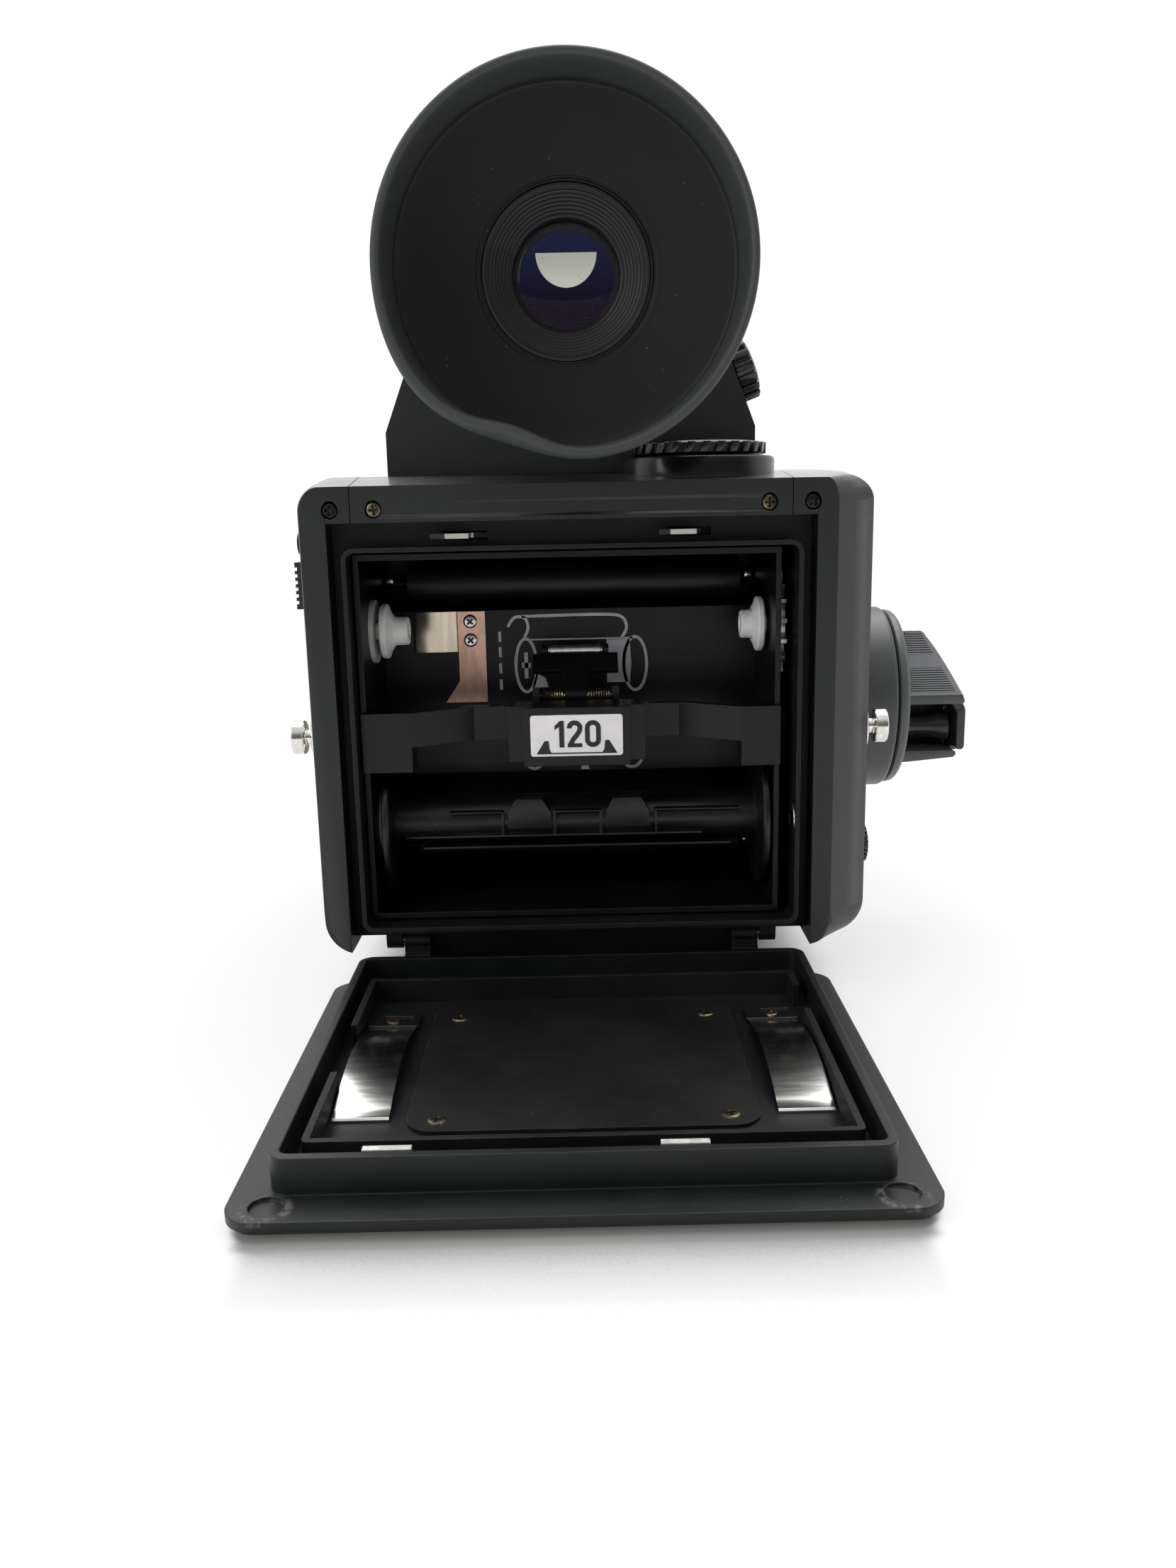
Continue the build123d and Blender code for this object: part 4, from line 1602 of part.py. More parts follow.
with BuildPart() as aperture_ring:
    rod_y(0, (FLANGE_END_Y + GAP, APERTURE_END_Y - GAP), LENS_Z, APERTURE_R)
    rod_y(0, (FLANGE_END_Y + GAP, APERTURE_END_Y - GAP), LENS_Z, APERTURE_SEAT_R + RUN, mode=Mode.SUBTRACT)
save(aperture_ring, "aperture_ring")

with BuildPart() as focus_ring:
    rod_y(0, (BAND_END_Y + GAP, FOCUS_END_Y - GAP), LENS_Z, FOCUS_R)
    rod_y(0, (BAND_END_Y + GAP, FOCUS_END_Y - GAP), LENS_Z, FOCUS_SEAT_R + RUN, mode=Mode.SUBTRACT)
save(focus_ring, "focus_ring")
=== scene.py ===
import json
import math

import bmesh
import bpy
from mathutils import Matrix, Vector


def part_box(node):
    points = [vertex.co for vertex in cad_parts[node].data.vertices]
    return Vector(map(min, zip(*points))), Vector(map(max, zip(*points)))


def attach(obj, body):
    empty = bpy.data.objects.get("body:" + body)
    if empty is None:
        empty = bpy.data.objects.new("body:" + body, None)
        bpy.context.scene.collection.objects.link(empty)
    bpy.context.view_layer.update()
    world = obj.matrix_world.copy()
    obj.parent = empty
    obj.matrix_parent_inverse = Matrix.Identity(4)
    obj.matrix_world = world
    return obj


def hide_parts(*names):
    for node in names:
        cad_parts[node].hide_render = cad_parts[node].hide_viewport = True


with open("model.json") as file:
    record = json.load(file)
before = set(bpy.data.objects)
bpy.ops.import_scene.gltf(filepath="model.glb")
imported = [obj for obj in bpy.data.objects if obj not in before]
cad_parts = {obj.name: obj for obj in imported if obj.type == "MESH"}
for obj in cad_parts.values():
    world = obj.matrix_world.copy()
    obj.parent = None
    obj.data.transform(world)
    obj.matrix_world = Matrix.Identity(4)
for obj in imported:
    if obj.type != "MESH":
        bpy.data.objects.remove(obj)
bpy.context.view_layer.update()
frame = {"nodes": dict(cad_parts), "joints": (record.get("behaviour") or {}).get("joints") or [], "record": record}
nodes = frame["nodes"]
record = frame["record"]
slot_of = {entry["node"]: entry["material_slot"] for entry in record["subparts"]}
body_of = {node: body for body, group in record["behaviour"]["bodies"].items() for node in group}
scene = bpy.context.scene
MM = 0.001


# --- shader maths: sockets that add their own Math nodes --------------------


class Wire:
    """A number, colour or vector coming out of a node. Arithmetic on it adds Math nodes."""

    def __init__(self, paint, socket):
        self.paint, self.socket = paint, socket

    def ramp(self, low, high, start=0.0, end=1.0):
        """This number carried from low..high to start..end, held at both ends."""
        settings = {"clamp": True, "interpolation_type": "SMOOTHSTEP"}
        return self.paint.node("ShaderNodeMapRange", settings, self, low, high, start, end)


def math_step(operation, reflected=False):
    """A method of Wire that adds one Math node. A reflected one has the wire on its right."""

    def step(self, *others):
        values = (*others, self) if reflected else (self, *others)
        return self.paint.node("ShaderNodeMath", {"operation": operation}, *values)

    return step


for method, operation in {
    "__add__": "ADD", "__sub__": "SUBTRACT", "__mul__": "MULTIPLY", "__pow__": "POWER",
    "absolute": "ABSOLUTE", "most": "MAXIMUM", "least": "MINIMUM",
}.items():
    setattr(Wire, method, math_step(operation))
for method, operation in {"__radd__": "ADD", "__rsub__": "SUBTRACT", "__rmul__": "MULTIPLY"}.items():
    setattr(Wire, method, math_step(operation, reflected=True))


class Paint:
    """The nodes of a material or of the world. Patterns are drawn in the object's own coordinates."""

    def __init__(self, name, owner=None):
        self.owner = owner or bpy.data.materials.new(name)
        self.owner.use_nodes = True
        self.tree = self.owner.node_tree
        self.tree.nodes.clear()
        self.place = self.node("ShaderNodeTexCoord", {}, output="Object")

    def node(self, kind, settings, *values, output=0, **named):
        """Adds a node: its settings first, then the values or links of its sockets, in order or by name."""
        made = self.tree.nodes.new(kind)
        for key, value in settings.items():
            setattr(made, key, value)
        sockets = list(zip(made.inputs, values))
        sockets += [(made.inputs[key.replace("_", " ")], value) for key, value in named.items()]
        for socket, value in sockets:
            if isinstance(value, Wire):
                self.tree.links.new(value.socket, socket)
            elif value is not None:
                opaque = socket.type == "RGBA" and len(value) == 3
                socket.default_value = (*value, 1.0) if opaque else value
        return Wire(self, made.outputs[output] if made.outputs else None)

    def noise(self, scale, detail=2.0, rough=0.5, stretch=None):
        """Cloudy noise from 0 to 1. Scale is in cycles for each metre."""
        where = self.node("ShaderNodeMapping", {}, self.place, Scale=stretch) if stretch else self.place
        return self.node("ShaderNodeTexNoise", {}, Vector=where, Scale=scale, Detail=detail, Roughness=rough)

    def specks(self, scale, size):
        """1 inside small scattered dots, 0 elsewhere."""
        cells = self.node("ShaderNodeTexVoronoi", {"feature": "F1"}, Vector=self.place, Scale=scale)
        return 1 - cells.ramp(size * 0.6, size)

    def rounded(self, radius, samples=4):
        """A normal that rounds the edges off. The radius is in millimetres."""
        return self.node("ShaderNodeBevel", {"samples": samples}, radius * MM)

    def edges(self, radius, low, high):
        """1 along sharp outside edges, 0 on flat faces."""
        flat = self.node("ShaderNodeNewGeometry", {}, output="Normal")
        settings = {"operation": "DOT_PRODUCT"}
        alike = self.node("ShaderNodeVectorMath", settings, self.rounded(radius, 6), flat, output="Value")
        return (1 - alike).ramp(low, high)

    def axis(self, index, vector=None):
        return self.node("ShaderNodeSeparateXYZ", {}, vector or self.place, output=index)

    def mix(self, amount, one, other):
        """Blends two colours. The node's sockets for numbers and vectors stay unused."""
        unused = (None,) * 5
        return self.node("ShaderNodeMix", {"data_type": "RGBA"}, amount, *unused, one, other, output=2)

    def bump(self, height, distance, strength, over=None):
        """A normal with fine relief. The distance is in millimetres."""
        return self.node("ShaderNodeBump", {}, strength, distance * MM, Height=height, Normal=over)

    def finish(self, colour, rough, metal=0.0, normal=None, **fixed):
        """The last nodes of the material. Fixed values go on the shader's own sockets."""
        shader = self.node(
            "ShaderNodeBsdfPrincipled", {},
            Base_Color=colour, Roughness=rough, Metallic=metal, Normal=normal, **fixed,
        )
        self.node("ShaderNodeOutputMaterial", {}, shader)
        return self.owner

    def shine(self, cloud, fine, low, high, share=0.12):
        """Roughness that follows the clouds, with fine grain in it."""
        return cloud.ramp(0.25, 0.75, low, high) + (fine - 0.5) * share

    def aged_black(self, dark, light, wear, dust, pale):
        """Black with cloudy tone, edges worn paler and dust specks, and the two noises behind it."""
        cloud, fine = self.noise(60, 4, 0.6), self.noise(2600, 2, 0.6)
        wear_from, worn = wear
        dust_from, dusty = dust
        edge = self.edges(0.3, 0.03, 0.32) * self.noise(240, 4, 0.7).ramp(wear_from, 0.75) * worn
        motes = self.specks(900, 0.11) * self.noise(170, 2).ramp(dust_from, 0.7) * dusty
        tone = self.mix(cloud.ramp(0.3, 0.7), dark, light)
        tone = self.mix(edge, tone, (pale, pale + 0.005, pale))
        tone = self.mix(motes, tone, (pale + 0.01, pale + 0.01, pale))
        return tone, cloud, fine


# --- finishes ---------------------------------------------------------------

DIMPLE_AT = (0.038, -0.1073)     # the middle of a dimple, across and along the open door, in metres


def black_paint(name, dark, light, rough, grain, worn, rounding=0.2, specular=0.5, dust=0.5, polish=0.0):
    """Black paint or plastic. Polish is a clear coat on the faces that point up."""
    p = Paint(name)
    tone, cloud, fine = p.aged_black(dark, light, (0.4, worn), (0.56, dust), 0.15)
    normal = p.bump(fine, grain, 0.6, p.rounded(rounding))
    coat = {}
    if polish:
        upward = p.axis(2, p.node("ShaderNodeTexCoord", {}, output="Normal"))
        coat = {"Coat_Weight": upward.ramp(0.85, 0.97) * polish, "Coat_Roughness": 0.12}
    shine = p.shine(cloud, fine, rough - 0.05, rough + 0.06)
    return p.finish(tone, shine, 0.0, normal, Specular_IOR_Level=specular, **coat)


def door_enamel():
    """Black enamel, with painted shade in the two dimples at the door's free corners, scuffed pale round them."""
    p = Paint("door_enamel")
    dark, light = (0.0065, 0.0077, 0.0082), (0.0088, 0.0104, 0.011)
    tone, cloud, fine = p.aged_black(dark, light, (0.45, 0.12), (0.52, 0.6), 0.14)
    across, along = p.axis(0).absolute() - DIMPLE_AT[0], p.axis(1) - DIMPLE_AT[1]
    apart = (across ** 2.0 + along ** 2.0) ** 0.5
    floor = p.axis(2).ramp(0.0016, 0.0019) * (1 - p.axis(2).ramp(0.0032, 0.0036))
    well = floor * (1 - apart.ramp(0.0012, 0.0022))
    ring = floor * apart.ramp(0.0018, 0.0024) * (1 - apart.ramp(0.0027, 0.0036))
    scuff = ring * p.noise(700, 4, 0.7).ramp(0.48, 0.62)
    # painted shade: the floor of each dimple is painted darker
    tone = p.mix(well * 0.7, tone, (0.004, 0.004, 0.004))
    tone = p.mix(scuff * 0.7, tone, (0.14, 0.14, 0.13))
    normal = p.bump(fine, 0.012, 0.6, p.rounded(0.4))
    return p.finish(tone, p.shine(cloud, fine, 0.36, 0.46), 0.0, normal, Specular_IOR_Level=0.45)


def soft_rubber():
    """The eyecup: satin black rubber with dust specks, its rim painted pale grey as a painted sheen."""
    p = Paint("eyecup_rubber_black")
    cloud, fine = p.noise(45, 4, 0.6), p.noise(1900, 3, 0.65)
    tone = p.mix(cloud.ramp(0.3, 0.7), (0.0042, 0.0042, 0.0037), (0.006, 0.006, 0.0053))
    # painted sheen: the rim's last 3 mm are painted pale grey for the light they catch
    tone = p.mix((0 - p.axis(1)).ramp(0.0515, 0.0545), tone, (0.05, 0.0545, 0.0555))
    motes = p.specks(620, 0.1) * p.noise(120, 2).ramp(0.55, 0.68)
    tone = p.mix(motes * 0.55, tone, (0.13, 0.13, 0.12))
    shine = p.shine(cloud, fine, 0.5, 0.6, 0.1)
    return p.finish(tone, shine, 0.0, p.bump(fine, 0.02, 0.5), Specular_IOR_Level=0.3)


def brushed(name, colour, rough, stretch=None, grain=0.004, rounding=0.08, smears=0.11):
    """Brushed metal with fine lines one way and faint smears. Unstretched, the lines are a mottle."""
    p = Paint(name)
    lines = p.noise(900, 3, 0.7, stretch)
    pale, deep = (tuple(min(1.0, c * share) for c in colour) for share in (1.1, 0.82))
    tone = p.mix(lines.ramp(0.3, 0.7), deep, pale)
    smear = p.noise(70, 3).ramp(0.3, 0.7, rough - 0.36 * smears, rough + 0.64 * smears)
    return p.finish(tone, smear + (lines - 0.5) * 0.08, 1.0, p.bump(lines, grain, 0.7, p.rounded(rounding)))


def aged_metal(name, clean, stained, rough):
    """Plain metal screws with dark stains."""
    p = Paint(name)
    stain = p.noise(700, 4, 0.7).ramp(0.38, 0.62)
    shine = stain.ramp(0, 1, rough, rough + 0.2)
    return p.finish(p.mix(stain, clean, stained), shine, 1.0, p.bump(p.noise(2200, 2), 0.01, 0.6))


def moulded(name, dark, light, rough, grain=0.01):
    """Plain moulded plastic or printed ink with a faint mottle."""
    p = Paint(name)
    cloud = p.noise(420, 3)
    normal = p.bump(p.noise(1800, 2), grain, 0.5, p.rounded(0.12))
    tone = p.mix(cloud.ramp(0.3, 0.7), dark, light)
    return p.finish(tone, cloud.ramp(0.3, 0.7, rough, rough + 0.1), 0.0, normal)


def smeared(name, colour, scale, low, high, metal=0.0, rounding=None, **fixed):
    """A clear or silvered surface with faint smears."""
    p = Paint(name)
    haze = p.noise(scale, 3).ramp(0.4, 0.75, low, high)
    return p.finish(colour, haze, metal, p.rounded(rounding) if rounding else None, **fixed)


def glass(name, tint, index=1.45, rough=0.01, specular=0.5):
    """Glass that light passes through."""
    clear = {"Transmission_Weight": 1.0, "IOR": index, "Specular_IOR_Level": specular}
    return smeared(name, tint, 90, rough, rough + 0.03, **clear)


def hook_steel():
    """Blackened steel whose two hooks are worn bright."""
    p = Paint("latch_hook_steel")
    across = p.axis(0)
    left = across.ramp(-0.0204, -0.0201) * (1 - across.ramp(-0.0163, -0.016))
    right = across.ramp(0.0155, 0.0158) * (1 - across.ramp(0.0196, 0.0199))
    bright = (left + right).least(1.0)
    tone = p.mix(bright, (0.012, 0.012, 0.012), (0.66, 0.63, 0.58))
    return p.finish(tone, bright.ramp(0, 1, 0.5, 0.3), bright, p.rounded(0.05))


def glowing(p, tone, base, rough):
    """What the eye meets behind the finder's glass, as painted light: it shines by itself."""
    return p.finish(base, rough, Emission_Color=tone, Emission_Strength=1.0, Specular_IOR_Level=0.0)


def dark_field():
    """What lies round the bright screen inside the finder, as a painted glow: navy above, violet black below."""
    p = Paint("finder_dark_field_glow")
    tone = p.mix(p.axis(2).ramp(0.1115, 0.1225), (0.005, 0.0015, 0.006), (0.011, 0.017, 0.05))
    tone = p.mix(p.noise(120, 3).ramp(0.4, 0.7) * 0.4, tone, (0.008, 0.006, 0.02))
    return glowing(p, tone, (0.001, 0.001, 0.002), 0.5)


def bright_screen():
    """The focusing screen as the finder shows it, as a painted glow: pale, a little yellow, with dust on it."""
    p = Paint("finder_bright_screen_glow")
    tone = p.mix(p.axis(2).ramp(0.1155, 0.1195), (0.66, 0.68, 0.6), (0.52, 0.53, 0.44))
    dust = (p.specks(1150, 0.16) * p.noise(330, 2).ramp(0.47, 0.6)).least(1.0)
    tone = p.mix(dust * 0.75, tone, (0.12, 0.12, 0.12))
    return glowing(p, tone, (0.01, 0.01, 0.01), 0.6)


FINISHES = {
    "body_paint": black_paint(
        "body_enamel", (0.0068, 0.008, 0.0085), (0.0092, 0.0108, 0.0114), 0.38, 0.012, 0.1, polish=0.9),
    "core_paint": black_paint(
        "core_flat_black", (0.0055, 0.0055, 0.0053), (0.0085, 0.0085, 0.0082), 0.5, 0.015, 0.5, specular=0.3),
    "lens_paint": black_paint(
        "lens_black", (0.009, 0.009, 0.0095), (0.012, 0.012, 0.0125), 0.36, 0.008, 0.15),
    "dark_plastic": black_paint(
        "insert_plastic", (0.0028,) * 3, (0.0048,) * 3, 0.38, 0.014, 0.25, specular=0.3),
    "gloss_black": black_paint(
        "gloss_black_plastic", (0.005, 0.005, 0.0055), (0.008, 0.008, 0.0085), 0.2, 0.004, 0.1),
    "control_black": black_paint(
        "control_black", (0.009, 0.0105, 0.011), (0.0125, 0.014, 0.0145), 0.36, 0.01, 0.12),
    "grip_rubber": black_paint(
        "rubber_black", (0.008,) * 3, (0.011,) * 3, 0.55, 0.02, 0.1, specular=0.4),
    "spring_steel": brushed("spring_steel", (0.6, 0.58, 0.54), 0.26, (1, 0.04, 1)),
    "bright_chrome": brushed("bright_chrome", (0.76, 0.75, 0.73), 0.14, (1, 1, 0.1), 0.001),
    "brass_screw": brushed("brass_plain", (0.4, 0.32, 0.18), 0.36),
    "plate_copper": brushed("plate_copper", (0.66, 0.43, 0.33), 0.36, (1, 1, 0.3), 0.0008),
    "white_nylon": moulded("white_nylon", (0.8, 0.8, 0.78), (0.9, 0.9, 0.88), 0.35),
    "silvered": smeared("mirror_glass", (0.86, 0.88, 0.9), 60, 0.015, 0.06, 1.0, 0.15),
    "optical_glass": glass("optical_glass", (0.93, 0.95, 0.96)),
    "coated_glass": glass("coated_glass", (0.55, 0.5, 0.85)),
    "label_paper": moulded("label_white", (0.72, 0.7, 0.7), (0.8, 0.78, 0.78), 0.3, 0.004),
    "coin_aluminium": brushed("coin_aluminium", (0.6,) * 3, 0.35, (1, 0.05, 1)),
}
EYECUP_RUBBER = soft_rubber()
RIDGED_BLACK = black_paint(
    "ridged_black", (0.0085, 0.0088, 0.0088), (0.0115, 0.0118, 0.0118), 0.45, 0.01, 0.0, 0.05, 0.4)
EYEPIECE_GLASS = smeared(     # the eye looks straight through it, and it mirrors the room a little
    "eyepiece_violet_glass", (0.012, 0.008, 0.03), 90, 0.03, 0.08, Alpha=0.16, Specular_IOR_Level=0.6)
# painted light: the finder's inner field and screen glow by themselves
INNER_FIELD_GLOW = dark_field()
SCREEN_GLOW = bright_screen()
FRONT_GLASS = glass("front_coated_glass", (0.5, 0.46, 0.78), 1.4, 0.005, 0.6)

BLACK_METAL = black_paint(
    "anodised_black", (0.008, 0.0085, 0.009), (0.012, 0.0125, 0.013), 0.24, 0.004, 0.2, 0.1, 0.6)
LENS_RUBBER = black_paint(
    "lens_grip_black", (0.009,) * 3, (0.012,) * 3, 0.5, 0.012, 0.1, specular=0.4)
# painted sheen: the crank's plate and foot are black plastic painted grey for the light they catch
DISC_PAINTED_SHEEN = black_paint(
    "crank_disc_painted_sheen", (0.088, 0.092, 0.094), (0.105, 0.11, 0.112), 0.36, 0.01, 0.12, 0.1, 0.45)
# painted sheen: the crank's black wedge and its ribs are painted mid grey for the light they catch
WEDGE_PAINTED_SHEEN = black_paint(
    "crank_wedge_painted_sheen", (0.27, 0.28, 0.288), (0.31, 0.32, 0.328), 0.4, 0.01, 0.0, 0.06, 0.45, dust=0.1)
# painted sheen: the crank's base is black plastic painted dark grey for the light it catches
CRANK_BASE_PAINTED_SHEEN = black_paint(
    "crank_base_painted_sheen", (0.065, 0.069, 0.071), (0.08, 0.084, 0.086), 0.36, 0.01, 0.12, 0.1, 0.45)
GLOSS_CRANK = black_paint(
    "crank_gloss_black", (0.02, 0.021, 0.0215), (0.028, 0.0295, 0.03), 0.22, 0.004, 0.12, 0.1, 0.5)
SPOOL_BLACK = black_paint(
    "spool_black", (0.0034, 0.0032, 0.0029), (0.0058, 0.0054, 0.0048), 0.34, 0.006, 0.8, 0.08)
BAR_BLACK = black_paint(
    "bar_black", (0.0026, 0.0028, 0.003), (0.005, 0.0054, 0.0058), 0.3, 0.008, 0.35, specular=0.3)
# black for the crank's web behind the grip; the sheets between the crank's ribs are painted shade
BLACK_WEB_AND_GROOVE_SHADE = moulded("black_web_and_rib_gap_shade", (0.004,) * 3, (0.006,) * 3, 0.6, 0.003)

WHITE_INK = moulded("white_ink", (0.7, 0.7, 0.68), (0.8, 0.8, 0.78), 0.45, 0.003)
GREY_INK = moulded("grey_ink", (0.44, 0.45, 0.47), (0.54, 0.55, 0.57), 0.5, 0.003)
BLACK_INK_AND_SHADE = moulded("black_ink_and_shade", (0.012, 0.01, 0.012), (0.018, 0.015, 0.017), 0.4, 0.003)
LABEL_WHITE = moulded("label_card", (0.9, 0.87, 0.87), (0.95, 0.92, 0.92), 0.28, 0.003)

AGED_BRASS = aged_metal("aged_brass", (0.26, 0.22, 0.13), (0.05, 0.046, 0.032), 0.3)
BLACK_SCREW = aged_metal("blackened_screw", (0.035, 0.037, 0.035), (0.015, 0.016, 0.015), 0.3)
# painted reflection: the steel washers are a pale dull grey standing in for the bright light they mirror
WASHER_PAINTED_SHINE = moulded("washer_steel_painted_shine", (0.5, 0.48, 0.44), (0.64, 0.62, 0.57), 0.3, 0.003)
WARM_STEEL = brushed("warm_steel", (0.66, 0.57, 0.46), 0.24, (1, 1, 0.08), 0.001, 0.05)
SMOOTH_STEEL = brushed("smooth_steel", (0.68, 0.65, 0.6), 0.2, (1, 1, 0.08), 0.0015, 0.05)
MIRROR_STEEL = brushed("mirror_steel", (0.68, 0.67, 0.64), 0.16, (0.1, 1, 1), 0.0002, 0.05, 0.03)
SATIN_STEEL = brushed("satin_steel", (0.75, 0.73, 0.68), 0.5, None, 0.001, 0.05)
POLISHED_CHROME = brushed("polished_chrome", (0.8, 0.78, 0.74), 0.07, None, 0.0005, 0.04)
ROLLER_CHROME = brushed("roller_chrome", (0.86, 0.85, 0.82), 0.36, None, 0.0005, 0.04)

OTHER_FINISHES = {     # nodes that differ from the rest of their slot
    "door_shell": door_enamel(), "crank_base": CRANK_BASE_PAINTED_SHEEN, "hub_washers": WASHER_PAINTED_SHINE,
    "door_catches": SATIN_STEEL, "latch_bar": hook_steel(), "insert_bar": BAR_BLACK,
}


def dress(obj, material):
    obj.data.materials.clear()
    obj.data.materials.append(material)


for name, node in nodes.items():
    dress(node, OTHER_FINISHES.get(name, FINISHES[slot_of[name]]))


# --- shapes: meshes built in millimetres and set in place -------------------

# where a seat's own X, Y and Z point, by the way it faces
TURNS = {
    "rear": ((1, 0, 0), (0, 0, 1), (0, -1, 0)),
    "front": ((-1, 0, 0), (0, 0, 1), (0, 1, 0)),
    "right": ((0, 1, 0), (0, 0, 1), (1, 0, 0)),
    "left": ((0, -1, 0), (0, 0, 1), (-1, 0, 0)),
    "up": ((1, 0, 0), (0, 1, 0), (0, 0, 1)),
}
HERE = Matrix.Identity(4)
TURN_OUT = Matrix(TURNS["right"]).transposed().to_4x4()     # a rib drawn flat, stood up on the rim of a ring
SHARP_EDGE = math.radians(30)                               # edges sharper than this are rounded


def seat(facing, x=0.0, y=0.0, z=0.0):
    """Where a shape goes: its own Z points the way it faces. Millimetres in, metres out."""
    turn = Matrix(TURNS[facing] if isinstance(facing, str) else facing).transposed().to_4x4()
    return Matrix.Translation(Vector((x, y, z)) * MM) @ turn @ Matrix.Scale(MM, 4)


def lifted(place, height):
    """The same seat, further out along its own Z."""
    return place @ Matrix.Translation((0, 0, height))


class Box:
    """A box in millimetres: its limits, its middle and its size along X, Y and Z."""

    def __init__(self, x0, x1, y0, y1, z0, z1):
        self.x0, self.x1, self.y0, self.y1, self.z0, self.z1 = x0, x1, y0, y1, z0, z1
        self.x, self.y, self.z = (x0 + x1) / 2, (y0 + y1) / 2, (z0 + z1) / 2
        self.wide, self.deep, self.high = x1 - x0, y1 - y0, z1 - z0

    def seat(self, facing):
        """The seat in the middle of the side that a shape facing this way starts from."""
        sides = zip((self.x, self.y, self.z), (self.wide, self.deep, self.high), TURNS[facing][2])
        return seat(facing, *(middle - out * size / 2 for middle, size, out in sides))


def reach(name):
    """A node's box at rest."""
    return Box(*(value / MM for pair in zip(*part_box(name)) for value in pair))


def merged(name):
    """A node's mesh with its loose triangles joined, in millimetres."""
    part = bmesh.new()
    part.from_mesh(nodes[name].data)
    bmesh.ops.scale(part, verts=part.verts, vec=(1 / MM,) * 3)
    bmesh.ops.remove_doubles(part, verts=part.verts, dist=1e-3)
    return part


def islands(name):
    """The box of each separate solid of a node, from left to right."""
    part = merged(name)
    limits, seen = [], set()
    for first in part.verts:
        if first in seen:
            continue
        seen.add(first)
        group = [first]
        for vert in group:     # it grows as it is walked
            beside = {edge.other_vert(vert) for edge in vert.link_edges} - seen
            seen |= beside
            group += beside
        limits.append([pick(vert.co[axis] for vert in group) for axis in range(3) for pick in (min, max)])
    part.free()
    return [Box(*box) for box in sorted(limits)]


def flowing(points, steps=4):
    """A smooth line through points of any size, with more points between them."""
    line = []
    last = len(points) - 1
    for k in range(last):
        around = [points[max(0, min(last, k + d))] for d in (-1, 0, 1, 2)]
        for t in (i / steps for i in range(steps)):
            square, cube = t ** 2, t ** 3
            weights = (
                2 * square - t - cube, 2 - 5 * square + 3 * cube,
                t + 4 * square - 3 * cube, cube - square,
            )
            line.append(tuple(sum(w * v for w, v in zip(weights, values)) / 2 for values in zip(*around)))
    return [*line, points[-1]]


def arc(x, y, wide, high, start=0, end=360, steps=36):
    """Points along an ellipse between two angles in degrees. A full turn leaves out the repeated last one."""
    angles = [math.radians(start + (end - start) * k / steps) for k in range(steps + (end - start < 360))]
    return [(x + wide * math.cos(a), y + high * math.sin(a)) for a in angles]


def rect(x0, x1, y0, y1):
    return [(x0, y0), (x1, y0), (x1, y1), (x0, y1)]


def rounded_rect(x0, x1, y0, y1, radius):
    middles = rect(x0 + radius, x1 - radius, y0 + radius, y1 - radius)
    corners = (arc(*middle, radius, radius, 90 * k, 90 * k + 90, 5) for k, middle in enumerate(middles, 2))
    return [point for corner in corners for point in corner]


def mirrored(half, length):
    """A profile whose far end is like its near one."""
    return half + [(radius, length - height) for radius, height in reversed(half)]


def pin_profile(radius, length, edge=0.15):
    """A rod with rounded ends, as a profile to turn."""
    return mirrored([(0, 0), (radius - edge, 0), (radius - 0.3 * edge, 0.3 * edge), (radius, edge)], length)


def bridge(part, rings, shut=False, capped=False):
    """Faces from each ring of points to the next, back to the first if shut, and over both ends if capped."""
    for one, other in zip(rings, rings[1:] + (rings[:1] if shut else [])):
        for i in range(len(one)):
            j = (i + 1) % len(one)
            part.faces.new((one[i], one[j], other[j], other[i]))
    if capped:
        part.faces.new(rings[0])
        part.faces.new(rings[-1])


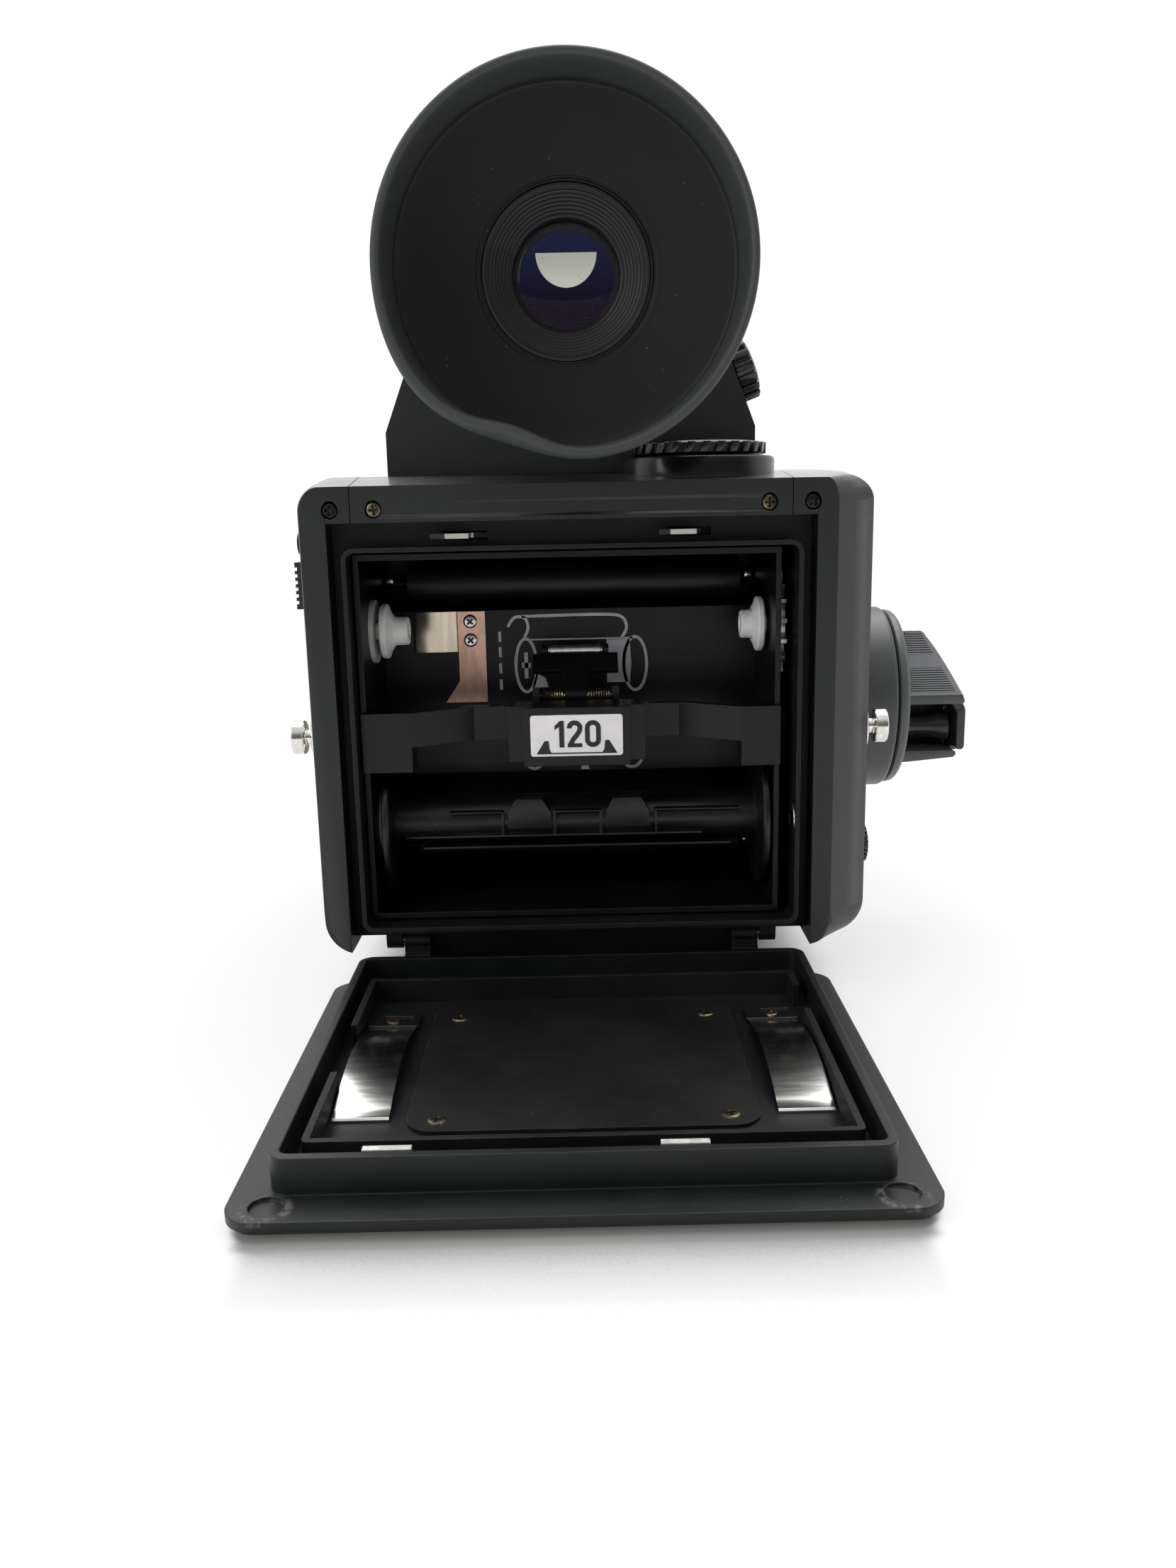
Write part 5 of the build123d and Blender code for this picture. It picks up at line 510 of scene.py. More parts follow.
class Shape:
    """A piece under construction. Each step adds a closed solid at its own seat."""

    def __init__(self):
        self.mesh = bmesh.new()

    def add(self, part, where, soft=0.0):
        """Takes in a solid, with its sharp edges rounded by soft."""
        bmesh.ops.remove_doubles(part, verts=part.verts, dist=1e-5)
        bmesh.ops.recalc_face_normals(part, faces=part.faces)
        if soft:
            sharp = [e for e in part.edges if e.is_manifold and e.calc_face_angle() > SHARP_EDGE]
            bmesh.ops.bevel(
                part, geom=sharp, offset=soft, segments=3, profile=0.5, affect="EDGES", clamp_overlap=True)
        part.transform(where)
        if where.determinant() < 0:
            bmesh.ops.reverse_faces(part, faces=part.faces)
        held = bpy.data.meshes.new("held")
        part.to_mesh(held)
        part.free()
        self.mesh.from_mesh(held)
        bpy.data.meshes.remove(held)
        return self

    def turned(self, profile, where, steps=96, shut=False, reshape=None):
        """Revolves (radius, height) points about the seat's Z. Reshape may move each point."""
        part, rings = bmesh.new(), []
        for point in profile:
            ring = []
            for angle in (math.tau * i / steps for i in range(steps)):
                radius, height = reshape(angle, *point) if reshape else point
                ring.append(part.verts.new((radius * math.cos(angle), radius * math.sin(angle), height)))
            rings.append(ring)
        bridge(part, rings, shut)
        return self.add(part, where)

    def slab(self, outline, low, high, where, soft=0.0):
        """Raises an outline of the seat's XY plane from low to high."""
        part = bmesh.new()
        bridge(part, [[part.verts.new((x, y, z)) for x, y in outline] for z in (low, high)], capped=True)
        return self.add(part, where, soft)

    def band(self, line, broad, low, high, where, closed=False):
        """Follows a line of the seat's XY plane with a rectangle, so broad across it and from low to high."""
        part, rings = bmesh.new(), []
        last = len(line) - 1
        for k, point in enumerate(line):
            before = line[k - 1 if closed else max(k - 1, 0)]
            after = line[(k + 1) % len(line) if closed else min(k + 1, last)]
            ahead = (Vector(after) - Vector(before)).normalized()
            side = Vector((-ahead.y, ahead.x)) * (broad / 2)
            left, right = Vector(point) + side, Vector(point) - side
            corners = ((left, low), (right, low), (right, high), (left, high))
            rings.append([part.verts.new((*corner, z)) for corner, z in corners])
        bridge(part, rings, shut=closed, capped=not closed)
        return self.add(part, where)

    def coil(self, radius, wire, turns, length, where, steps=24, sides=8):
        """A helical spring along the seat's Z."""
        part, rings = bmesh.new(), []
        count = int(turns * steps)
        for k in range(count + 1):
            angle = math.tau * k / steps
            out, level = Vector((math.cos(angle), math.sin(angle))), length * (k / count - 0.5)
            section = arc(radius, level, wire, wire, steps=sides)
            rings.append([part.verts.new((*(out * across), height)) for across, height in section])
        bridge(part, rings, capped=True)
        return self.add(part, where)

    def mesh_at(self, mesh, where):
        """Adds a ready mesh, made in millimetres."""
        part = bmesh.new()
        part.from_mesh(mesh)
        bpy.data.meshes.remove(mesh)
        return self.add(part, where)

    def ring_of(self, count, radius, shape, material, where):
        """Adds copies of a small shape, stood up round a circle."""
        return self.mesh_at(RING.grow(shape, material, Count=count, Radius=radius), where)

    def piece(self, name, body, slot, material=None, replaces=(), sharp=35):
        """Finishes the shape as an object that rides on a body."""
        mesh = bpy.data.meshes.new(name)
        self.mesh.to_mesh(mesh)
        self.mesh.free()
        for face in mesh.polygons:
            face.use_smooth = True
        mesh.set_sharp_from_angle(angle=math.radians(sharp))
        obj = bpy.data.objects.new(name, mesh)
        scene.collection.objects.link(obj)
        dress(obj, material or FINISHES[slot])
        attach(obj, body)
        if replaces:
            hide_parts(*replaces)

    def instead_of(self, node, name, material=None, sharp=35):
        """Finishes the shape as the piece that stands for a node, on its body, with its slot's finish unless a
        material is given.
        """
        self.piece(name, body_of[node], slot_of[node], material, [node], sharp)


INK_SPREAD = 0.01     # how much bolder than the plain typeface printed characters are


def evaluated_mesh(obj):
    """What an object's text or modifiers give, as a plain mesh."""
    bpy.context.view_layer.update()
    return bpy.data.meshes.new_from_object(obj.evaluated_get(bpy.context.evaluated_depsgraph_get()))


def lettering(words, width, height, thick):
    """Raised characters centred on the seat's origin, as a mesh in millimetres."""
    text = bpy.data.curves.new("characters", "FONT")
    text.body, text.extrude, text.offset = words, 0.5, INK_SPREAD
    holder = bpy.data.objects.new("characters", text)
    scene.collection.objects.link(holder)
    mesh = evaluated_mesh(holder)
    bpy.data.objects.remove(holder)
    bpy.data.curves.remove(text)
    spans = zip(*(vert.co for vert in mesh.vertices))
    low, high = (Vector(ends) for ends in zip(*((min(span), max(span)) for span in spans)))
    scale = [wanted / given for wanted, given in zip((width, height, thick), high - low)]
    middle = (low + high) / 2
    mesh.transform(Matrix.Diagonal((*scale, 1)) @ Matrix.Translation((-middle.x, -middle.y, -low.z)))
    return mesh


# --- patterns: Geometry Nodes trees that repeat one small shape -------------


class Pattern:
    """A Geometry Nodes tree with named inputs. It ends in Realize Instances and Set Material."""

    def __init__(self, name):
        self.tree = bpy.data.node_groups.new(name, "GeometryNodeTree")
        self.tree.interface.new_socket("Geometry", in_out="OUTPUT", socket_type="NodeSocketGeometry")
        self.inputs = self.tree.nodes.new("NodeGroupInput")
        self.outputs = self.tree.nodes.new("NodeGroupOutput")

    def given(self, name, kind):
        self.tree.interface.new_socket(name, in_out="INPUT", socket_type="NodeSocket" + kind)
        return self.inputs.outputs[name]

    def node(self, kind, settings, links, output=0):
        made = self.tree.nodes.new(kind)
        for key, value in settings.items():
            setattr(made, key, value)
        for key, value in links.items():
            if isinstance(value, bpy.types.NodeSocket):
                self.tree.links.new(value, made.inputs[key])
            else:
                made.inputs[key].default_value = value
        return made.outputs[output]

    def maths(self, operation, one, other):
        return self.node("ShaderNodeMath", {"operation": operation}, {0: one, 1: other})

    def index(self):
        return self.node("GeometryNodeInputIndex", {}, {})

    def turned_by(self, angle):
        spin = self.node("ShaderNodeCombineXYZ", {}, {2: angle})
        return self.node("FunctionNodeEulerToRotation", {}, {0: spin})

    def close(self, points, **spread):
        """Puts the given shape on each point, turned or scaled as the spread says."""
        source = self.given("Shape", "Object")
        shape = self.node("GeometryNodeObjectInfo", {}, {"Object": source}, output="Geometry")
        links = {"Points": points, "Instance": shape, **spread}
        copies = self.node("GeometryNodeInstanceOnPoints", {}, links)
        solid = self.node("GeometryNodeRealizeInstances", {}, {"Geometry": copies})
        finish = self.given("Material", "Material")
        dressed = self.node("GeometryNodeSetMaterial", {}, {"Geometry": solid, "Material": finish})
        self.tree.links.new(dressed, self.outputs.inputs[0])
        return self

    def grow(self, shape, material, points=((0, 0, 0),), **sizes):
        """Runs the tree and returns a plain mesh. Points are used only by a tree that reads them."""
        sample = bpy.data.objects.new("sample", bpy.data.meshes.new("sample"))
        shape.mesh.to_mesh(sample.data)
        shape.mesh.free()
        holder = bpy.data.objects.new("pattern", bpy.data.meshes.new("pattern"))
        holder.data.from_pydata(points, [], [])
        for obj in (sample, holder):
            scene.collection.objects.link(obj)
        modifier = holder.modifiers.new("pattern", "NODES")
        modifier.node_group = self.tree
        values = {"Shape": sample, "Material": material}
        values.update((key.replace("_", " "), value) for key, value in sizes.items())
        for socket in self.tree.interface.items_tree:
            if socket.in_out == "INPUT" and socket.name in values:
                modifier[socket.identifier] = values[socket.name]
        mesh = evaluated_mesh(holder)
        mesh.materials.clear()
        for obj in (sample, holder):
            data = obj.data
            bpy.data.objects.remove(obj)
            bpy.data.meshes.remove(data)
        return mesh


def ring_pattern():
    """Copies round a circle about Z, each turned to face outwards."""
    p = Pattern("ring_of_ribs")
    count, radius = p.given("Count", "Int"), p.given("Radius", "Float")
    circle = p.node("GeometryNodeMeshCircle", {}, {"Vertices": count, "Radius": radius})
    share = p.maths("DIVIDE", p.index(), count)
    return p.close(circle, Rotation=p.turned_by(p.maths("MULTIPLY", share, math.tau)))


def row_pattern():
    """Copies along a straight line. Each may be longer in X than the one before."""
    p = Pattern("row_of_ribs")
    count, step = p.given("Count", "Int"), p.given("Step", "Vector")
    length, growth = p.given("First length", "Float"), p.given("Growth", "Float")
    line = p.node("GeometryNodeMeshLine", {"mode": "OFFSET"}, {"Count": count, "Offset": step})
    longer = p.maths("ADD", length, p.maths("MULTIPLY", p.index(), growth))
    return p.close(line, Scale=p.node("ShaderNodeCombineXYZ", {}, {0: longer, 1: 1.0, 2: 1.0}))


def screw_pattern():
    """A screw head on each given point, its cross turned at random."""
    p = Pattern("screw_heads")
    points, seed = p.given("Geometry", "Geometry"), p.given("Seed", "Int")
    range_and_seed = {2: 0.0, 3: math.tau, "Seed": seed}
    chance = p.node("FunctionNodeRandomValue", {"data_type": "FLOAT"}, range_and_seed, output=1)
    dots = p.node("GeometryNodeMeshToPoints", {}, {"Mesh": points})
    return p.close(dots, Rotation=p.turned_by(chance))


RING = ring_pattern()
ROW = row_pattern()
SCREWS = screw_pattern()
HEAD_DOME = ((1.0, 0.0), (1.0, 0.45), (0.93, 0.75), (0.8, 0.93), (0.7, 1.0))     # shares of radius and height
CROSS_ARM, CROSS_HALF, CROSS_DEEP, CROSS_TAPER = 0.56, 0.15, 0.55, 0.8
RECESS_SHADE_ARM, RECESS_SHADE_HALF = 0.44, 0.115     # the painted shade in a recess fills it but for a thin gap


def cross_screw(radius, height):
    """A pan head with a cross recess, standing on the seat's plane."""
    arm, half = CROSS_ARM * radius, CROSS_HALF * radius
    turns = [Matrix.Rotation(math.radians(90 * quarter), 2) for quarter in range(4)]
    cross = [turn @ Vector(p) for turn in turns for p in ((half, -half), (arm, -half), (arm, half))]
    part = bmesh.new()
    dome = []
    for share, level in HEAD_DOME:
        ring = arc(0, 0, radius * share, radius * share, steps=32)
        dome.append([part.verts.new((x, y, height * level)) for x, y in ring])
    mouth = [part.verts.new((*p, height)) for p in cross]
    floor = [part.verts.new((*(p * CROSS_TAPER), height * (1 - CROSS_DEEP))) for p in cross]
    bridge(part, dome)
    bridge(part, [mouth, floor])
    part.faces.new(dome[0])
    part.faces.new(floor)
    edges = [part.edges.get((ring[i - 1], ring[i])) for ring in (dome[-1], mouth) for i in range(len(ring))]
    bmesh.ops.triangle_fill(part, use_beauty=True, use_dissolve=False, edges=edges)
    return Shape().add(part, HERE)


def screws(name, body, slot, material, boxes, facing, seed, replaces=()):
    """Cross-recessed heads where a node has plain round ones, with painted shade: a black sheet low in each
    recess.
    """
    across, along, out = (Vector(v) for v in TURNS[facing])
    corners = [(Vector((b.x0, b.y0, b.z0)), Vector((b.x1, b.y1, b.z1))) for b in boxes]
    radius = max(abs((high - low).dot(across)) for low, high in corners) / 2
    height = abs((corners[0][1] - corners[0][0]).dot(out))
    base = min(corner.dot(out) for corner in corners[0])
    points = [((low + high).dot(across) / 2, (low + high).dot(along) / 2, base) for low, high in corners]
    arm, half = RECESS_SHADE_ARM * radius, RECESS_SHADE_HALF * radius
    cross = [(half, -arm), (half, -half), (arm, -half), (arm, half), (half, half), (half, arm)]
    cross += [(-x, -y) for x, y in cross]
    # painted shade: a black sheet on the floor of each cross recess
    recess_shading = Shape().slab(cross, 0.4 * height, 0.5 * height, HERE)
    for shape, new, finish, stands_for in (
        (recess_shading, name + "_recesses", BLACK_INK_AND_SHADE, ()),
        (cross_screw(radius, height), name, material, replaces),
    ):
        heads = SCREWS.grow(shape, finish, points, Seed=seed)
        Shape().mesh_at(heads, seat(facing)).piece(new, body, slot, finish, stands_for)


# --- viewfinder eyepiece ----------------------------------------------------

# radius, height over the cup's foot, how far the fold pushes in, how far the swelling pushes out
EYECUP_WALL = [
    (12.35, 0.3, 0, 0), (13.2, 0, 0, 0), (13.7, 0.3, 0, 0), (13.8, 2.6, 0, 0), (14.6, 3.6, 0, 0),
    (17.5, 4.6, 0, 0), (21.5, 6.4, 0, 0.1), (24.6, 9.6, 0.2, 0.4), (25.9, 13.5, 0.4, 0.7),
    (26.3, 17.5, 0.4, 1), (26.45, 19.6, 0.6, 1), (26.4, 20.4, 0.8, 1), (26.1, 20.88, 0.8, 1),
    (25.75, 21, 0.9, 0.9), (25.35, 20.8, 1, 0.7), (25.15, 20.3, 1, 0.6), (24.95, 18.8, 1, 0.5),
    (24.7, 14, 0.7, 0.3), (24.5, 9.9, 0.2, 0), (24.2, 9.4, 0, 0), (23.6, 9.2, 0, 0), (19, 8, 0, 0),
    (14.4, 6.9, 0, 0), (13.2, 6.68, 0, 0), (13.0, 6.5, 0, 0), (12.75, 6.5, 0, 0), (12.55, 6.62, 0, 0),
    (12.4, 6.62, 0, 0), (12.3, 6.5, 0, 0), (12.27, 6.2, 0, 0), (12.27, 5.2, 0, 0),
]
RIM_START, RIM_DEEP = 9.0, 12.0     # the part of the wall that bends
RIM_LEAN = 5.0                      # how much further back the rim's top is than its bottom
RIM_SPREAD = (0.48, 90, 60)         # how far it opens at the top, at which angle, over which half width
RIM_DIP = (0.35, -109, 20)          # how far it sinks where it is folded in
# angle, half width, push outwards, which of the wall's last two columns shares it out
RIM_FOLDS = ((-109, 15, -1.9, 0), (-142, 24, 0.9, 1), (-72, 28, 0.45, 1))
FINDER_MOUTH, SLEEVE_R, RIDGED_R, RIDGES = 7.0, 12.25, 11.6, 7
INNER_SET_BACK = 0.9                # from the glass to what is seen behind it
INNER_LENS = (7.12, 0.4, 0.05)      # radius, thickness and edge
SCREEN_VIEW = (0, 3.9, 4.55, 4.914, 180, 360, 40)     # the lower half of an ellipse
DOME_ANGLE, DOME_RISE = 1.2, 1.1    # radians, and how far the glass bulges


def bulge(angle, middle, half_width):
    """1 at an angle in degrees, falling smoothly to 0."""
    apart = (math.degrees(angle) - middle + 180) % 360 - 180
    return math.exp(-((apart / half_width) ** 2))


def bend_rim(angle, radius, height, *shares):
    """The soft rim leans back at its top, swells low at the left and is folded in beside that."""
    up = min(1.0, max(0.0, (height - RIM_START) / RIM_DEEP))
    for middle, half_width, push, column in RIM_FOLDS:
        radius += push * shares[column] * bulge(angle, middle, half_width)
    radius += RIM_SPREAD[0] * up * bulge(angle, *RIM_SPREAD[1:])
    sinks = RIM_LEAN * (1 + math.sin(angle)) / 2 + RIM_DIP[0] * bulge(angle, *RIM_DIP[1:])
    return radius, height - up * sinks


def make_eyepiece():
    cup, barrel, ocular = reach("eyecup"), reach("eyepiece_barrel"), reach("ocular_lens")
    rim = Shape().turned(flowing(EYECUP_WALL, 3), cup.seat("rear"), 180, shut=True, reshape=bend_rim)
    rim.instead_of("eyecup", "eyecup_rubber", EYECUP_RUBBER, 60)

    outer, front = barrel.wide / 2, barrel.deep - 0.6
    lens_face, bore = barrel.y1 - ocular.y0, ocular.wide / 2 + 0.05
    width = (RIDGED_R - bore - 0.35) / RIDGES
    drop = (front - lens_face - 0.25) / RIDGES
    profile = [
        (FINDER_MOUTH, 0), (outer, 0), (outer, front - 2.2), (SLEEVE_R, front - 2.0),
        (SLEEVE_R, front - 0.15), (SLEEVE_R - 0.1, front - 0.02),
        (RIDGED_R + 0.2, front + 0.02), (RIDGED_R, front - 0.1),
    ]
    for k in range(RIDGES):
        start, level = RIDGED_R - k * width, front - k * drop
        profile += [
            (start - 0.05, level), (start - 0.55 * width, level - 0.05),
            (start - 0.7 * width, level - 0.25), (start - 0.92 * width, level - 0.25),
        ]
    profile += [
        (bore + 0.3, lens_face + 0.3), (bore, lens_face + 0.1),
        (bore, lens_face - 3.4), (FINDER_MOUTH, lens_face - 3.6),
    ]
    mount = Shape().turned(profile, barrel.seat("rear"), 128, shut=True)
    mount.instead_of("eyepiece_barrel", "eyepiece_mount", RIDGED_BLACK, 25)

    radius, rise = ocular.wide / 2 - 0.03, DOME_RISE / (1 - math.cos(DOME_ANGLE))
    foot, start = [(0, 0), (radius - 0.2, 0), (radius, 0.2)], 90 - math.degrees(DOME_ANGLE)
    dome = arc(0, ocular.deep - rise, radius / math.sin(DOME_ANGLE), rise, start, 90, 12)
    lens = Shape().turned([*foot, *dome], seat("rear", cup.x, ocular.y1, cup.z))
    lens.instead_of("ocular_lens", "eyepiece_glass", EYEPIECE_GLASS)

    # painted light: the disc and half disc behind the eyepiece glass glow by themselves
    behind = seat("rear", cup.x, ocular.y1 + INNER_SET_BACK, cup.z)
    inner = Shape().turned(pin_profile(*INNER_LENS), behind, 64)
    inner.piece("inner_field_lens", "camera_body", "coated_glass", INNER_FIELD_GLOW)
    view = Shape().slab(arc(*SCREEN_VIEW), 0.45, 0.55, behind, 0.02)
    view.piece("focusing_screen_image", "camera_body", "optical_glass", SCREEN_GLOW)


make_eyepiece()

# --- covers -----------------------------------------------------------------

COVERS = ("top_cover", "left_side_cover", "right_side_cover")
CROWN_START, CROWN_STEP = -9.0, -29.5      # where the top begins to fall to the rear, and then falls faster
CROWN_DROP, CROWN_DEEP = 2.1, 5.2          # its whole fall, and how far down the cover follows it
FIRST_FALL, FALL_TILT = 0.65, 0.25         # its fall at the step's middle, and how much more at the right
HALF_WIDTH = 40.0
BEVEL_START, BEVEL_RISE = -33.5, 2.7       # the plain bevel that the crown replaces
BEVEL_SIDES = (1.5, 5.5)                   # how far the bevel comes in at the left and at the right
CUTS = (CROWN_START, -19.0, CROWN_STEP, BEVEL_START, -37.0)
CORNER_R, LOW_CORNER_R = (6.0, 3.4), 4.5   # the top corners in front and at the rear, and the lower right one
SIDE_TUCK = 1.5                            # how far the right side comes in under its corner
SEAM_X, SEAM_GAP = 35.0, 0.07
NEAR = 0.01                                # what counts as on a line, or twice this as on a round corner


def reshape_corners(vert, share, left, right, bottom, plain):
    """Sharper top corners and a wider bevel towards the rear, and a rounder lower right corner before it."""
    wide, small = CORNER_R
    tight = wide + (small - wide) * share
    right -= BEVEL_SIDES[1] * share
    for side, outward in ((left + BEVEL_SIDES[0] * share, -1), (right, 1)):
        across, up = (vert.co.x - side) * outward + wide, vert.co.z - plain + wide
        if across > NEAR and up > NEAR and math.hypot(across, up) > wide - 2 * NEAR:
            vert.co.x = side + outward * (across * tight / wide - tight)
            vert.co.z = plain + up * tight / wide - tight
    across, down = vert.co.x - right + LOW_CORNER_R, bottom + LOW_CORNER_R - vert.co.z
    if across > -NEAR and down > -NEAR and math.hypot(across, down) > LOW_CORNER_R - 2 * NEAR:
        vert.co.x = right + (vert.co.x - right) * (2 - share)
        vert.co.z = bottom + (vert.co.z - bottom) * (2 - share)
    vert.co.x -= SIDE_TUCK * share * max(0.0, 1 + (vert.co.x - right) / tight)


def crown(name):
    """The top of a cover falls gently to a crisp rear edge, and its seams show."""
    whole, left_side, right_side = (reach(cover) for cover in COVERS)
    rear, top = whole.y0, whole.z1
    floor_z = top - CROWN_DEEP
    part = merged(name)
    for y in CUTS:
        geometry = [*part.verts, *part.edges, *part.faces]
        bmesh.ops.bisect_plane(part, geom=geometry, plane_co=(0, y, 0), plane_no=(0, 1, 0), dist=1e-4)
    for vert in part.verts:
        share = max(0.0, (BEVEL_START - vert.co.y) / (BEVEL_START - rear))
        plain = top - BEVEL_RISE * share
        reshape_corners(vert, share, left_side.x0, right_side.x1, right_side.z0, plain)
        x, y, z = vert.co
        if y < CROWN_START and z > floor_z:
            gentle = FIRST_FALL + FALL_TILT * max(-1.0, min(1.0, x / HALF_WIDTH))
            wanted = top - gentle * min(1.0, (CROWN_START - y) / (CROWN_START - CROWN_STEP))
            wanted -= (CROWN_DROP - gentle) * max(0.0, (CROWN_STEP - y) / (CROWN_STEP - rear))
            vert.co.z += (wanted - plain) * min(1.0, (z - floor_z) / (plain - floor_z))
        if abs(abs(x) - SEAM_X) < NEAR:
            vert.co.x += SEAM_GAP * (-1 if (x > 0) == (name == "top_cover") else 1)
    cover = Shape().add(part, Matrix.Scale(MM, 4))
    cover.instead_of(name, name + "_shell", None, 20)


def make_dial_foot():
    base = reach("dial_base")
    profile = [
        (0, -1.9), (12.5, -1.9), (12.65, -1.7), (12.7, base.high - 0.6), (12.5, base.high - 0.17),
        (12.1, base.high), (0, base.high),
    ]
    foot = Shape().turned(profile, base.seat("up"), 120)
    foot.instead_of("dial_base", "speed_dial_foot")


for cover_name in COVERS:
    crown(cover_name)
make_dial_foot()

# --- screws -----------------------------------------------------------------

heads = islands("rear_screws")     # the outermost two hold the side covers
screws("cover_screws", "camera_body", "brass_screw", AGED_BRASS, heads[1:-1], "rear", 5, ["rear_screws"])
screws("side_cover_screws", "camera_body", "control_black", BLACK_SCREW, [heads[0], heads[-1]], "rear", 8)
heads = islands("door_screws")
screws("door_plate_screws", "rear_door", "brass_screw", AGED_BRASS, heads, "up", 2, ["door_screws"])

# --- dials and small controls -----------------------------------------------

SPEEDS = ("4", "2", "1", "2", "4", "8", "15", "30", "60", "125", "250", "500")
SPEED_TEETH, SPEED_TOOTH_DEEP = 28, 0.75
KNOB_RIBS, KNOB_RIB_DEEP = 16, 0.7
SIDE_RIBS, SIDE_RIB_DEEP = 22, 0.35


def make_speed_dial():
    box = reach("speed_dial")
    top, core, stem, lift = box.high, box.wide / 2 - SPEED_TOOTH_DEEP, 2.95, 1.85
    profile = [
        (0, 0), (stem, 0), (stem, lift), (core - 0.3, lift), (core, lift + 0.2), (core, top - 0.35),
        (core - 0.35, top - 0.05), (core - 1.0, top), (core - 1.2, top - 0.18), (core - 4.4, top - 0.18),
        (core - 4.6, top - 0.02), (2.2, top - 0.02), (2.0, top - 0.25), (0, top - 0.3),
    ]
    place = box.seat("up")
    dial = Shape().turned(profile, place, 120)
    outline = [(-0.95, 0.1), (0.25, 0.1), (0.75, 1.0), (0.95, 1.85), (-0.2, 1.85), (-0.7, 1.0)]
    tooth = Shape().slab(outline, -0.35, 0.72, TURN_OUT, 0.12)
    dial.ring_of(SPEED_TEETH, core, tooth, BLACK_METAL, lifted(place, lift))
    dial.instead_of("speed_dial", "speed_dial_rim", BLACK_METAL)

    numbers = Shape()
    for k, speed in enumerate(SPEEDS):
        turn = Matrix.Rotation(-math.tau * k / len(SPEEDS), 4, "Z")
        mesh = lettering(speed, 0.95 * len(speed), 1.5, 0.12)
        numbers.mesh_at(mesh, lifted(place, top - 0.24) @ turn @ Matrix.Translation((0, core - 2.8, 0)))
    numbers.piece("speed_dial_numbers", "shutter_speed_dial", "label_paper", WHITE_INK)


def make_film_speed_knob():
    joint = next(j for j in frame["joints"] if j["child"] == "film_speed_knob")
    out, along = Vector(joint["axis"]).normalized(), Vector((0, 1, 0))
    at = Vector(joint["pos_m"]) / MM
    depths = [(v.co / MM - at).dot(out) for v in nodes["film_speed_dial"].data.vertices]
    low, high = min(depths), max(depths)
    place = seat((along.cross(out), along, out), *at)
    core, thick, stem = 5.7 - KNOB_RIB_DEEP, 3.8, 1.5
    foot = high - thick
    profile = [
        (0, low), (stem, low), (stem, foot), (core - 0.2, foot), (core, foot + 0.2), (core, high - 0.5),
        (core - 0.5, high - 0.1), (core - 1.2, high), (core - 1.4, high - 0.2), (0, high - 0.25),
    ]
    knob = Shape().turned(profile, place, 72)
    rib = Shape().slab(rect(-0.62, 0.62, 0.05, thick - 0.4), -0.3, 0.68, TURN_OUT, 0.22)
    knob.ring_of(KNOB_RIBS, core, rib, BLACK_METAL, lifted(place, foot))
    knob.instead_of("film_speed_dial", "film_speed_knob_grip", BLACK_METAL)
    mark = Shape().slab(rounded_rect(-0.25, 0.25, 0.6, 3.4, 0.2), high - 0.22, high - 0.12, place)
    mark.piece("film_speed_mark", "film_speed_knob", "label_paper", WHITE_INK)


def make_side_knob():
    box = reach("right_knob")
    place = box.seat("right")
    deep, thick, stem, core = box.wide, 1.2, 1.2, box.high / 2 - SIDE_RIB_DEEP
    foot = deep - thick
    profile = [
        (0, 0), (stem, 0), (stem, foot), (core, foot), (core, deep - 0.35),
        (core - 0.3, deep - 0.08), (core - 0.8, deep), (0, deep),
    ]
    knob = Shape().turned(profile, place, 64)
    rib = Shape().slab(rect(-0.26, 0.26, 0.03, thick - 0.22), -0.2, 0.33, TURN_OUT, 0.1)
    knob.ring_of(SIDE_RIBS, core, rib, BLACK_METAL, lifted(place, foot))
    knob.instead_of("right_knob", "side_knob_grip", BLACK_METAL)


def make_strap_studs():
    studs = Shape()
    for box, facing in zip(islands("strap_lugs"), ("left", "right")):
        long = box.wide
        profile = [
            (0, 0), *flowing([(4.88, 0), (4.85, 0.25), (4.3, 0.62), (3.2, 0.82), (2.2, 0.9)]),
            (1.5, 0.95), (1.32, 1.2), (1.3, long - 2.35), (1.5, long - 2.2), (2.75, long - 2.12),
            (2.95, long - 1.95), (2.95, long - 0.2), (2.8, long - 0.03), (2.4, long), (0, long),
        ]
        studs.turned(profile, box.seat(facing), 80)
    studs.instead_of("strap_lugs", "strap_studs", POLISHED_CHROME, 25)


make_speed_dial()
make_film_speed_knob()
make_side_knob()
make_strap_studs()

# --- winding crank ----------------------------------------------------------

WEDGE_HALF, WEDGE_CLEAR = 6.05, 5.72     # half widths of the whole wedge and of the space between its cheeks
RIB_PITCH, RIB_LEAN = 0.43, 0.629        # from rib to rib, and how much shorter each millimetre makes them
WEDGE_SLOPE = [(12.6, 0.35), (11.2, 2.7), (9.0, 6.3), (6.7, 9.7), (4.9, 12.0)]
WEDGE_CORE = [(-0.5, -0.9), (9.7, -0.9), (2.9, 9.9), (-0.5, 9.9)]
FOOT_SOLE = [
    (-0.5, -12.1), (2.5, -11.95), (11.0, -11.2), (11.47, -10.8), (11.47, -10.2), (11.1, -9.9), (-0.5, -9.9),
]
FOOT_STEP = [(-0.5, -1.0), (12.3, -1.0), (12.75, -0.85), (12.85, -0.3), (12.3, 0.8), (-0.5, 0.8)]
ARM_LIP = [(11.52, -8.0), (13.0, -8.0), (13.0, -10.3), (12.8, -10.6), (11.52, -10.6)]
ARM_EDGE = [(11.2, -2.6), (12.4, -2.6), (12.6, -2.2), (11.4, -2.2)]
ARM_CATCH = [(1.55, 11.0), (2.9, 10.6), (4.2, 10.2), (4.9, 11.0), (3.4, 11.9), (2.0, 12.1)]
